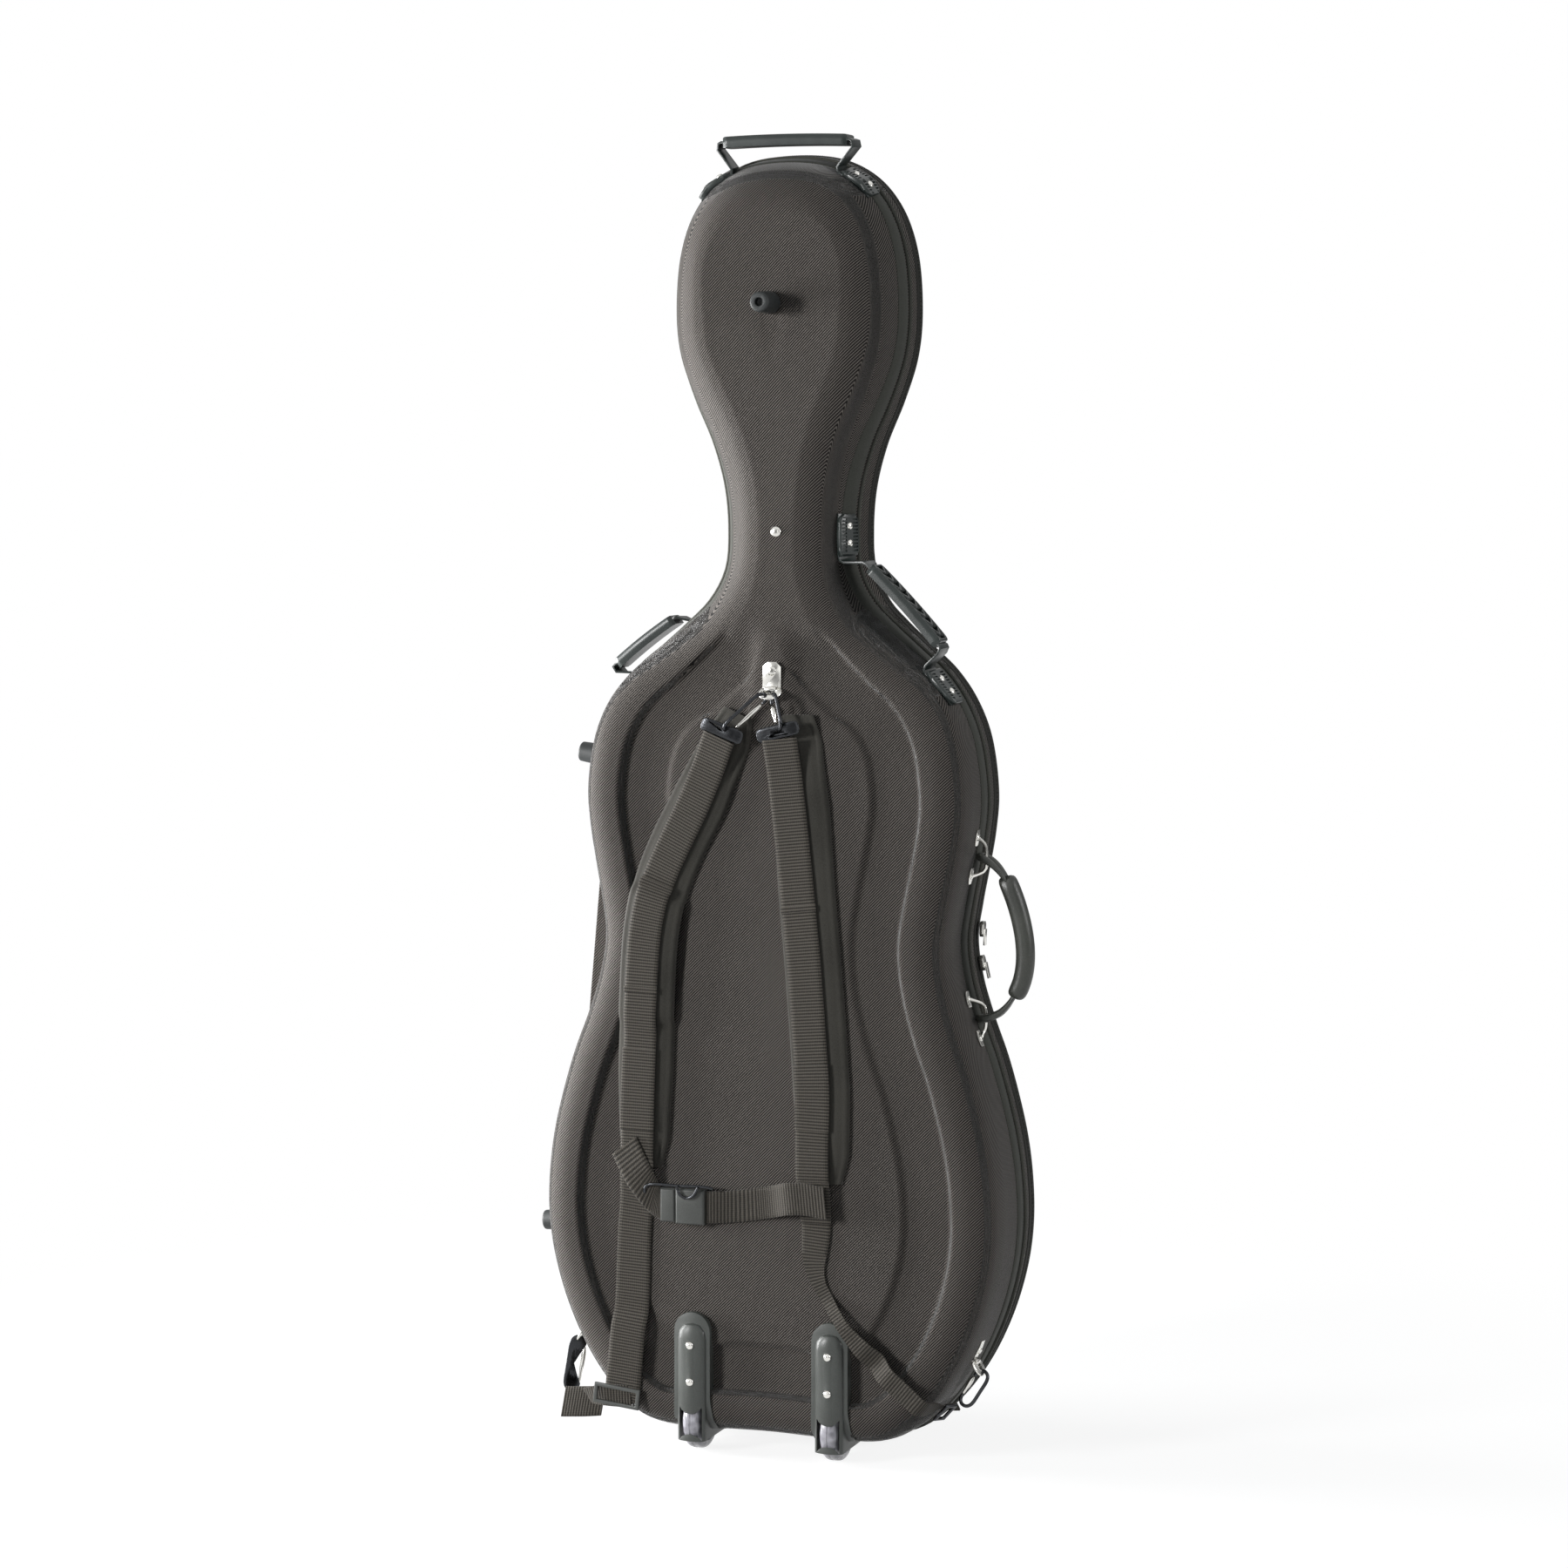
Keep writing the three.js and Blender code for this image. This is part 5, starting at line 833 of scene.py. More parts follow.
@dataclass(frozen=True)
class TyreCast(Painted):
    """Clear grey tyre plastic, clouded inside."""

    def material(self) -> bpy.types.Material:
        """Glossy plastic with cloudy facets."""
        graph = Graph.paint(self.name)
        values = {"Vector": graph.place(), "Scale": 120.0}
        cells = graph.node("ShaderNodeTexVoronoi", None, values)["Distance"]
        cloud = graph.noise(140, 4)
        base = self.tone(graph, cells * 0.6 + cloud * 0.8 - 0.2, 0.1, 0.9)
        return graph.surface(Base_Color=base, Roughness=0.22, Coat_Weight=0.5, Coat_Roughness=0.1,
                             Normal=graph.bump(cells, 0.0006))


@dataclass(frozen=True)
class Moulded(Painted):
    """Moulded plastic, rubber or leather with a fine cast grain."""

    roughness: float = 0.42
    grain: float = 900.0
    relief: float = 0.00006
    coat: float = 0.0

    def material(self) -> bpy.types.Material:
        """Plastic with a grain in its relief and a little wear in its gloss."""
        graph = Graph.paint(self.name)
        grain = graph.noise(self.grain, 2)
        cloud = graph.noise(25, 3)
        base = self.tone(graph, grain * 0.4 + cloud * 0.7, 0.25, 0.95)
        rough = cloud * 0.2 + (self.roughness - 0.1)
        return graph.surface(Base_Color=base, Roughness=rough, Coat_Weight=self.coat,
                             Coat_Roughness=0.25, Normal=graph.bump(grain, self.relief))


@dataclass(frozen=True)
class Metal:
    """Plated metal with faint handling marks."""

    name: str
    colour: Colour
    roughness: float = 0.16

    def material(self) -> bpy.types.Material:
        """Metal whose gloss varies a little."""
        graph = Graph.paint(self.name)
        marks = graph.noise(120, 4)
        rough = marks * 0.22 + (self.roughness - 0.06)
        base = graph.mix(marks, tuple(c * 0.9 for c in self.colour), self.colour)
        return graph.surface(Base_Color=base, Metallic=1.0, Roughness=rough)


@dataclass(frozen=True)
class ZipBand(Painted):
    """Zip tape with its coil of teeth, read from the band's own map in metres."""

    pitch: float = 0.0024
    coil: tuple[float, float] = (0.0030, 0.0036)
    seam: float = 0.0068
    stitch: float = 0.0042

    def material(self) -> bpy.types.Material:
        """Woven tape, with teeth beside the parting line and a stitched line along it."""
        graph = Graph.paint(self.name)
        along, across = graph.strap_map()
        teeth = along.wave(self.pitch) * (1 - across.step(*self.coil))
        row = 1 - abs(across - self.seam).step(0.0003, 0.0006)
        stitch = along.wave(self.stitch).step(0.35, 0.6) * row
        speck = graph.noise(1500, 2)
        base = self.tone(graph, speck * 0.5 + teeth * 0.5 + stitch * 0.6, 0.15, 1.1)
        return graph.surface(Base_Color=base, Roughness=0.6, Specular_IOR_Level=0.15,
                             Normal=graph.bump(teeth * 3 + stitch + speck * 0.3, 0.0003))


class Finish(Enum):
    """Every finish on the case."""

    COVER = CaseCloth("cover_cloth", paint(24, 22, 21), paint(120, 114, 109))
    EDGE = PlainCloth("edge_cloth", paint(56, 57, 53), paint(96, 96, 90))
    BAND = SewnBand("edge_band", paint(62, 63, 59), paint(108, 108, 101))
    PLUSH = PlainCloth("lining_plush", paint(36, 36, 40), paint(60, 60, 66), 500.0, 0.0005, 0.95,
                       0.6)
    WEBBING = Webbing("strap_webbing", paint(34, 32, 29), paint(98, 93, 86))
    PADDING = PlainCloth("pad_cloth", paint(44, 43, 40), paint(82, 80, 75), 1500.0, 0.0001, 0.6,
                         0.3)
    MOULDED = Moulded("moulded_plastic", paint(28, 34, 33), paint(52, 60, 58), 0.34, coat=0.1)
    HOUSING = Moulded("housing_plastic", paint(66, 69, 66), paint(88, 91, 88), 0.38)
    GREY = Moulded("buckle_plastic", paint(60, 62, 60), paint(88, 90, 87), 0.38)
    RUBBER = Moulded("stud_rubber", paint(28, 31, 32), paint(46, 50, 50), 0.55)
    TYRE = TyreCast("wheel_tyre", paint(118, 116, 124), paint(196, 194, 202))
    CHROME = Metal("chrome_plate", (0.78, 0.77, 0.73))
    STEEL = Metal("blackened_steel", (0.05, 0.052, 0.056), 0.2)
    LEATHER = Moulded("handle_leather", paint(46, 48, 44), paint(76, 78, 72), 0.42, 700.0, 0.00025,
                      0.15)
    ZIP = ZipBand("zip_band", paint(34, 34, 32), paint(124, 124, 116))

    def dress(self, piece: bpy.types.Object) -> None:
        """Give a piece this finish in place of its own materials."""
        material = bpy.data.materials.get(self.value.name) or self.value.material()
        piece.data.materials.clear()
        piece.data.materials.append(material)


@dataclass
class Row:
    """One crossing of a strap: its place, the ways across it and out of it, and its width."""

    at: Vector
    across: Vector
    out: Vector
    width: float


def meshed(name: str, mesh: bmesh.types.BMesh) -> bpy.types.Mesh:
    """Mesh data of a bmesh, which is freed."""
    data = bpy.data.meshes.new(name)
    mesh.to_mesh(data)
    mesh.free()
    return data


def placed(name: str, data: bpy.types.ID) -> bpy.types.Object:
    """Object of a name in the scene."""
    made = bpy.data.objects.new(name, data)
    bpy.context.scene.collection.objects.link(made)
    return made


class Workshop:
    """Makes pieces from grids of vertices and puts them where the case has them."""

    STRAP_STEPS = 8
    RELIEF_WAIST = 0.45
    RELIEF_SHARES = (0.95, 0.98)
    RIVET_SEAT = 0.5

    def __init__(self, stand: Stand) -> None:
        """Keep the stand that places everything."""
        self.stand = stand

    def keep(self, name: str, mesh: bmesh.types.BMesh, finish: Finish, body: str, slot: str,
             nodes: Sequence[str], sharp: float = 50.0) -> bpy.types.Object:
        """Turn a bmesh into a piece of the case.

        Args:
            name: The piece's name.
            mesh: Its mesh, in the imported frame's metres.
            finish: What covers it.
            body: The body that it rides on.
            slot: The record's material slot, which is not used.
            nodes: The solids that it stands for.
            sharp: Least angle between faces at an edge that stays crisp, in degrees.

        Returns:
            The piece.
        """
        for face in mesh.faces:
            face.smooth = True
        limit = math.radians(sharp)
        for edge in mesh.edges:
            edge.smooth = not (edge.is_manifold and edge.calc_face_angle(0) > limit)
        piece = placed(name, meshed(name, mesh))
        finish.dress(piece)
        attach(piece, body)
        if nodes:
            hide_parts(*nodes)
        log.info("%s: %d faces", name, len(piece.data.polygons))
        return piece

    def grid(self, across: int, along: int, place: Place,
             size: tuple[float, float] = (1, 1)) -> bmesh.types.BMesh:
        """Grid that a function places, welded where it meets itself and closed at its ends.

        Args:
            across: Steps in the first direction.
            along: Steps in the second.
            place: Gives the millimetres of a vertex from its two step numbers.
            size: Metres that the map covers in each direction.

        Returns:
            The mesh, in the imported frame's metres.
        """
        mesh = bmesh.new()
        mesh.loops.layers.uv.new("UVMap")
        bmesh.ops.create_grid(mesh, x_segments=across, y_segments=along, size=0.5, calc_uvs=True)
        low = min(v.co.x for v in mesh.verts)
        span = -2 * low
        for vertex in mesh.verts:
            i = round((vertex.co.x - low) / span * across)
            j = round((vertex.co.y - low) / span * along)
            vertex.co = self.stand.place(place(i, j))
        maps = mesh.loops.layers.uv.active
        for face in mesh.faces:
            for loop in face.loops:
                loop[maps].uv = (loop[maps].uv.x * size[0], loop[maps].uv.y * size[1])
        bmesh.ops.remove_doubles(mesh, verts=mesh.verts[:], dist=WELD)
        bmesh.ops.holes_fill(mesh, edges=[edge for edge in mesh.edges if edge.is_boundary], sides=0)
        bmesh.ops.recalc_face_normals(mesh, faces=mesh.faces[:])
        return mesh

    def strap(self, rows: Sequence[Row], thickness: float, steps: int) -> bmesh.types.BMesh:
        """Flat strap with rounded edges through rows.

        Args:
            rows: Crossings that it runs through.
            thickness: Its thickness, grown along each row's out.
            steps: Steps along the whole strap.

        Returns:
            The mesh.
        """
        lines = [Spline([getter(row) for row in rows]) for getter in (
            lambda row: row.at - row.across * (row.width / 2),
            lambda row: row.at + row.across * (row.width / 2),
            lambda row: row.out * 100)]
        shape = strap_section(self.STRAP_STEPS)
        length = lines[0].lengths[-1] * MM

        def place(i: int, j: int) -> Vector:
            share = i / steps
            low, high, out = (line.point(share) for line in lines)
            side, rise = shape[j % len(shape)]
            return low.lerp(high, 0.5 + side / 2) + out.normalized() * (rise * thickness)

        return self.grid(steps, len(shape), place, (length, rows[0].width * 2 * MM))

    def relief(self, rows: Sequence[Row], low: float, high: float,
               carve_at: Callable[[float, float, float], float],
               across: int = 30) -> bmesh.types.BMesh:
        """Moulded strip through rows with its upper face carved.

        Args:
            rows: Crossings that it runs through, close together.
            low: Level of its underside along each row's out.
            high: Level of its upper face.
            carve_at: Gives the depth cut at a run along, a place across and half the width.
            across: Steps across the upper face.

        Returns:
            The mesh.
        """
        waist = lerp(low, high, self.RELIEF_WAIST)
        foot, head = self.RELIEF_SHARES
        section = [(-foot, low, False), (foot, low, False), (1.0, waist, False)]
        section += [(head * (1 - 2 * k / across), high, True) for k in range(across + 1)]
        section += [(-1.0, waist, False)]
        runs = [0.0]
        for a, b in zip(rows, rows[1:]):
            runs.append(runs[-1] + (b.at - a.at).length)

        def place(i: int, j: int) -> Vector:
            row = rows[i]
            side, level, upper = section[j % len(section)]
            half = row.width / 2
            sunk = carve_at(runs[i], side * half, half) if upper else 0.0
            return row.at + row.across * (side * half) + row.out * (level - sunk)

        return self.grid(len(rows) - 1, len(section), place, (runs[-1] * MM, 0.06))

    def joined(self, meshes: Sequence[bmesh.types.BMesh]) -> bmesh.types.BMesh:
        """One mesh of several."""
        whole = meshes[0]
        for mesh in meshes[1:]:
            data = meshed("joining", mesh)
            whole.from_mesh(data)
            bpy.data.meshes.remove(data)
        return whole

    def rivet(self, place: Vector, axis: Vector, radius: float, rise: float) -> bmesh.types.BMesh:
        """Domed rivet head on a face.

        Args:
            place: Where its rim's middle lies.
            axis: Which way it faces.
            radius: Its radius.
            rise: Its height over the face.

        Returns:
            The mesh.
        """
        arc = [(radius * math.cos(a), rise * math.sin(a))
               for a in (math.pi / 2 * k / 7 for k in range(7))]
        foot = -self.RIVET_SEAT
        return self.turned([(0, foot), (radius, foot), *arc, (0, rise)], place, axis, 28)

    def tube(self, points: Sequence[Vector], normal: Vector, radius: float, sides: int,
             steps: int) -> bmesh.types.BMesh:
        """Round wire through points that lie in one plane.

        Args:
            points: What it runs through.
            normal: The plane's normal.
            radius: The wire's radius.
            sides: Steps round the wire.
            steps: Steps along it.

        Returns:
            The mesh.
        """
        line = Spline(points)

        def place(i: int, j: int) -> Vector:
            share = i / steps
            side = line.heading(share).cross(normal).normalized()
            angle = 2 * math.pi * (j % sides) / sides
            out = side * radius * math.cos(angle)
            return line.along(share) + out + normal * radius * math.sin(angle)

        return self.grid(steps, sides, place, (line.lengths[-1] * MM, 2 * math.pi * radius * MM))

    def turned(self, profile: Sequence[tuple[float, float]], place: Vector, axis: Vector,
               steps: int = 48) -> bmesh.types.BMesh:
        """Turned body from a profile that starts and ends on its axis or closes on itself.

        Args:
            profile: Rows of radius and height.
            place: Where height zero is.
            axis: Direction of the height.
            steps: Steps round the axis.

        Returns:
            The mesh, with an empty map.
        """
        up = axis.normalized()
        first = up.orthogonal().normalized()
        mesh = bmesh.new()
        verts = [mesh.verts.new(self.stand.place(place + first * r + up * h)) for r, h in profile]
        edges = [mesh.edges.new(pair) for pair in zip(verts, verts[1:])]
        bmesh.ops.spin(mesh, geom=verts + edges, cent=self.stand.place(place), axis=up,
                       angle=2 * math.pi, steps=steps, use_merge=True, use_duplicate=False)
        bmesh.ops.remove_doubles(mesh, verts=mesh.verts[:], dist=WELD)
        bmesh.ops.recalc_face_normals(mesh, faces=mesh.faces[:])
        mesh.loops.layers.uv.new("UVMap")
        return mesh

    def refined(self, node: str, finish: Finish, body: str, slot: str, levels: int = 0,
                bevel: float = 0.0, sharp: float = 32.0, grow: float = 0.0) -> bpy.types.Object:
        """Rounded copy of a solid that stands in for it.

        Args:
            node: The solid's name.
            finish: What covers it.
            body: The body that it rides on.
            slot: The record's material slot, which is not used.
            levels: Times its faces are divided and rounded.
            bevel: Width of the rounding of its edges, in millimetres.
            sharp: Least angle between faces at an edge that stays crisp, in degrees.
            grow: Millimetres that its faces move out first, against the rounding's shrinking.

        Returns:
            The copy.
        """
        mesh = bmesh.new()
        mesh.from_mesh(bpy.data.objects[node].data)
        bmesh.ops.remove_doubles(mesh, verts=mesh.verts[:], dist=WELD)
        bmesh.ops.dissolve_limit(mesh, angle_limit=FLAT_ANGLE, verts=mesh.verts[:],
                                edges=mesh.edges[:])
        limit = math.radians(sharp)
        if bevel:
            edges = [e for e in mesh.edges if e.is_manifold and e.calc_face_angle(0) > limit]
            bmesh.ops.bevel(mesh, geom=edges, offset=bevel * MM, offset_type="OFFSET", segments=2,
                            profile=0.5, affect="EDGES", clamp_overlap=True, material=-1)
        if not mesh.loops.layers.uv:
            mesh.loops.layers.uv.new("UVMap")
        for vertex in mesh.verts if grow else []:
            vertex.co += vertex.normal * grow * MM
        piece = self.keep(node + "_piece", mesh, finish, body, slot, [node], sharp)
        if levels:
            rounding = piece.modifiers.new("rounding", "SUBSURF")
            rounding.levels = rounding.render_levels = levels
        return piece


def strap_section(steps: int) -> list[tuple[float, float]]:
    """Closed section of a strap: places across from -1 to 1 and rises from 0 to 1."""
    lower = [(-0.97 + 1.94 * i / steps, 0.0) for i in range(steps + 1)]
    upper = [(0.97 - 1.94 * i / steps, 1.0) for i in range(steps + 1)]
    return lower + [(1.0, 0.3), (1.0, 0.7)] + upper + [(-1.0, 0.7), (-1.0, 0.3)]


@dataclass
class Covers:
    """Cover cloth, plush linings, zip bands, piping and hinge webs of the two shells."""

    form: CaseForm
    shop: Workshop
    back_insets: tuple[float, ...] = (0, 0.8, 2, 4, 7, 10, 14, 18, 23, 28, 33, 38, 42, 45, 47, 49,
                                      51, 53, 55, 57, 59, 62, 68, 76, 84, 92, 97, 99, 101, 103,
                                      105, 107, 109, 111, 114, 120)
    back_centres: tuple[float, ...] = (60, 40, 30, 26.5, 24.5, 22.5, 20.5, 10)
    lid_insets: tuple[float, ...] = (0, 1.2, 3, 6, 10, 15, 20, 26, 32, 38, 45, 52, 60, 68, 76, 86,
                                     96, 104, 112)
    lid_centres: tuple[float, ...] = (60, 30)
    tape_points: int = 2800
    tape_proud: float = 1.6
    tape_gap: float = 0.4
    seat: float = 0.3
    piping_level: float = 23.5
    piping_radius: float = 2.3
    piping_seat: float = 0.4
    band_levels: tuple[float, float] = (27.5, 45.5)
    hinge_out: float = 4.826
    web_least: float = 2.0
    web_levels: tuple[float, float] = (0.7, 3.2)
    well_sides: int = 64

    TAPE_SECTION = ((-0.75, 2.9), (-0.85, 4.4), (-0.8, 6.0), (-0.95, 6.8), (-0.8, 7.6), (-0.3, 9.3))
    TOOTH_TIPS = (1.0, 0.6)

    def make(self) -> None:
        """Make every piece of cloth on the shells."""
        wells = self.well_cutter()
        carve(self.cover(Side.BACK, self.back_insets, self.back_centres), wells)
        self.cover(Side.LID, self.lid_insets, self.lid_centres)
        carve(self.lining(Side.BACK), wells)
        self.lining(Side.LID)
        bpy.data.objects.remove(wells)
        for side in Side:
            self.tape(side)
        self.piping()
        for side in Side:
            self.edge_band(side)
        for side in Side:
            self.web(side)

    def well_cutter(self) -> bpy.types.Object:
        """Two drums where the wheels turn, to cut the back and its lining with."""
        mesh = bmesh.new()
        for sign in (-1, 1):
            drum = bmesh.ops.create_cone(mesh, cap_ends=True, segments=self.well_sides,
                                         radius1=WHEEL.well_radius * MM,
                                         radius2=WHEEL.well_radius * MM,
                                         depth=2 * WHEEL.well_half * MM)["verts"]
            bmesh.ops.rotate(mesh, verts=drum, matrix=Matrix.Rotation(math.pi / 2, 3, "Y"))
            bmesh.ops.translate(mesh, verts=drum, vec=self.shop.stand.place(WHEEL.middle(sign)))
        return placed("well_cutter", meshed("well_cutter", mesh))

    def bowl(self, rings: Sequence[Sequence[Vector]]) -> bmesh.types.BMesh:
        """Closed body whose rings run from one centre line over the rims to the other."""
        count = len(rings[0])
        return self.shop.grid(len(rings) - 1, count, lambda i, j: rings[i][j % count])

    def cover(self, side: Side, insets: Sequence[float],
              centres: Sequence[float]) -> bpy.types.Object:
        """Outer cloth of one half over its board, with the board's inner face.

        Args:
            side: Which half of the case.
            insets: Distances inside the outline that the cloth is shaped at.
            centres: Distances from the centre line that it is shaped at past them.

        Returns:
            The piece.
        """
        form = self.form
        rings = [form.face_ring(side, inset) for inset in insets]
        rings += [form.face_ring(side, insets[-1], half) for half in centres]
        rings.append(form.face_ring(side, form.top))
        inner = form.inner_face(side, form.wall, form.band)
        return self.shop.keep(f"{side.body}_cover", self.bowl(rings[::-1] + inner), Finish.COVER,
                              side.body, "cover", [f"{side.body}_shell"])

    def lining(self, side: Side) -> bpy.types.Object:
        """Plush lining of one half."""
        form = self.form
        start = form.wall + form.lining_gap
        outer = form.inner_face(side, start, 1.0)
        inner = form.inner_face(side, start + form.lining, 1.0)
        rings = outer[:1:-1] + [outer[0], inner[0]] + inner[2:]
        return self.shop.keep(f"{side.body}_plush", self.bowl(rings), Finish.PLUSH, side.body,
                              "plush", [f"{side.body}_lining"])

    def tape(self, side: Side) -> None:
        """Zip tape round one half with its teeth at the parting line."""
        form = self.form
        stations = form.stations_of(self.tape_points)
        high = form.band - self.seat
        rows = [[(form.wall, self.tape_gap), (0.3, self.tape_gap), (-self.tape_proud * tip, 0.9),
                 (-self.tape_proud * tip, 2.3), *self.TAPE_SECTION, (0.4, high), (form.wall, high)]
                for tip in self.TOOTH_TIPS]
        count = len(rows[0])

        def place(i: int, j: int) -> Vector:
            station = stations[i % len(stations)]
            inset, level = rows[i % 2][j % count]
            x, z, _ = station.inset(inset)
            return Vector((x, side.value * level, z))

        length = form.outline().lengths[-1] * MM
        mesh = self.shop.grid(len(stations), count, place, (length, 0.03))
        self.shop.keep(f"{side.body}_zip_band", mesh, Finish.ZIP, side.body, "edge",
                       [f"{side.body}_zip_tape"])

    def piping(self) -> None:
        """Round piping sewn on the back's wall beside the zip."""
        form = self.form
        sides = 12

        def place(i: int, j: int) -> Vector:
            station = form.stations[i % form.count]
            angle = 2 * math.pi * (j % sides) / sides
            level = self.piping_level + self.piping_radius * math.sin(angle)
            rows = [(b, a) for a, b in form.wall_rows(Side.BACK, station.z)]
            seat = read_table(rows, self.piping_level) - self.piping_seat
            x, z, _ = station.inset(seat - self.piping_radius * math.cos(angle))
            return Vector((x, -level, z))

        mesh = self.shop.grid(form.count, sides, place)
        self.shop.keep("back_piping_cord", mesh, Finish.EDGE, "back", "edge", ["back_piping"])

    def edge_band(self, side: Side) -> None:
        """Plain cloth band sewn round the wall beside the zip."""
        form = self.form
        low, high = self.band_levels
        rows = [(low, -0.5), (low, 0.35), (low + 0.5, 0.8), (lerp(low, high, 0.5), 0.95),
                (high - 0.5, 0.8), (high, 0.35), (high, -0.5)]
        seats = [[form.seat(side, station.z, level) for level, _ in rows]
                 for station in form.stations]

        def place(i: int, j: int) -> Vector:
            k, row = i % form.count, j % len(rows)
            level, proud = rows[row]
            x, z, _ = form.stations[k].inset(seats[k][row] - proud)
            return Vector((x, side.value * level, z))

        length = form.outline().lengths[-1] * MM
        mesh = self.shop.grid(form.count, len(rows), place, (length, 2 * (high - low) * MM))
        self.shop.keep(f"{side.body}_edge_band", mesh, Finish.BAND, side.body, "edge", [], 60)

    def web(self, side: Side) -> None:
        """Straight cloth web that bridges the waist on the hinge side."""
        form = self.form
        rows = []
        for station in form.stations:
            if station.x > 0 or not form.lower_level < station.z < form.upper_level:
                continue
            x, z, _ = station.inset(-self.tape_proud - 0.1)
            share = (z - form.lower_level) / (form.upper_level - form.lower_level)
            outer = -lerp(form.lower_half, form.upper_half, share) - self.hinge_out
            if x - outer > self.web_least:
                rows.append((x, outer, z))
        low, high = self.web_levels
        section = ((0, low), (0.9, low), (1, low + 0.5), (1, high - 0.5), (0.97, high),
                   (0.9, high - 0.35), (0.8, high), (0, high))

        def place(i: int, j: int) -> Vector:
            inner, outer, z = rows[i]
            share, level = section[j % len(section)]
            return Vector((lerp(inner, outer, share), side.value * level, z))

        mesh = self.shop.grid(len(rows) - 1, len(section), place)
        self.shop.keep(f"{side.body}_web_cloth", mesh, Finish.COVER, side.body, "cover",
                       [f"{side.body}_hinge_web"])


def carve(piece: bpy.types.Object, cutter: bpy.types.Object) -> None:
    """Cut one piece with another, for good."""
    cutting = piece.modifiers.new("cutting", "BOOLEAN")
    cutting.operation = "DIFFERENCE"
    cutting.solver = "EXACT"
    cutting.object = cutter
    ready = piece.evaluated_get(bpy.context.evaluated_depsgraph_get())
    data = bpy.data.meshes.new_from_object(ready)
    piece.modifiers.clear()
    material = piece.data.materials[0]
    piece.data = data
    data.materials.clear()
    data.materials.append(material)


@dataclass
class Running:
    """Wheels, housings, feet and studs that the case rolls, stands and lies on."""

    form: CaseForm
    shop: Workshop
    bore: float = 3.5
    hub: float = 9.0
    tread_round: float = 6.0
    dish_share: float = 0.72
    rivet_levels: tuple[float, ...] = (77, 116)
    rivet_size: tuple[float, float] = (4.4, 2.9)
    rivet_depth: float = 133.6
    side_studs: tuple[tuple[str, float], ...] = (("upper", 727), ("lower", 222))
    stud_share: float = 0.4
    stud_rows: tuple[tuple[float, float], ...] = (
        (0, -4), (12, -4), (12, 0.4), (11.4, 1.6), (10.5, 23), (10, 24.2), (9, 25), (5, 25),
        (4.5, 24.5), (4.5, 17), (0, 17))

    def make(self) -> None:
        """Make both sides' wheels and housings, the feet and the studs."""
        heads = [self.shop.rivet(Vector((sign * WHEEL.centre, -self.rivet_depth, z)), OUT_OF_BACK,
                                 *self.rivet_size) for sign in (-1, 1) for z in self.rivet_levels]
        self.shop.keep("housing_rivets", self.shop.joined(heads), Finish.CHROME, "back", "chrome",
                       [], 60)
        for side, sign in (("left", -1), ("right", 1)):
            self.wheel(side, sign)
            self.shop.refined(f"{side}_wheel_housing", Finish.HOUSING, "back", "moulded", bevel=0.6)
            Finish.CHROME.dress(bpy.data.objects[f"{side}_wheel_axle"])
            self.shop.refined(f"{side}_lid_foot", Finish.RUBBER, "lid", "rubber", bevel=0.8)
        self.shop.refined("head_stud", Finish.RUBBER, "back", "rubber", bevel=0.7)
        for name, level in self.side_studs:
            frame = self.form.wall_frame(Side.BACK, self.form.height_station(level, -1),
                                         self.stud_share)
            mesh = self.shop.turned(self.stud_rows, frame.place, frame.out)
            self.shop.keep(f"{name}_side_stud_piece", mesh, Finish.RUBBER, "back", "rubber",
                           [f"{name}_side_stud"])
        self.shop.refined("neck_screw", Finish.CHROME, "back", "chrome", levels=2, grow=0.3)

    def wheel(self, side: str, sign: int) -> None:
        """Rubber-tyred wheel with a dished disc and a ribbed tread."""
        radius, half, hub = WHEEL.radius, WHEEL.half, self.hub
        rim, dish = radius * self.dish_share, half * self.dish_share
        bend = self.tread_round
        arc = [(radius - bend + bend * math.sin(a), -half + bend * (1 - math.cos(a)))
               for a in (math.pi / 2 * k / 6 for k in range(7))]
        face = [(self.bore, -half), (hub - 1, -half), (hub, -half + 1), (hub + 0.4, -dish + 0.6),
                (hub + 1.4, -dish), (rim - 1.4, -dish), (rim - 0.3, -dish - 0.4),
                (rim + 0.5, -half + 0.2), *arc, (radius, -1.4), (radius - 0.5, -1.0),
                (radius - 0.5, 0)]
        rows = face + [(r, -h) for r, h in face[-2::-1]] + [face[0]]
        mesh = self.shop.turned(rows, WHEEL.middle(sign), RIGHT, 72)
        self.shop.keep(f"{side}_wheel_tyre", mesh, Finish.TYRE, f"{side}_wheel", "tyre",
                       [f"{side}_wheel"], 40)


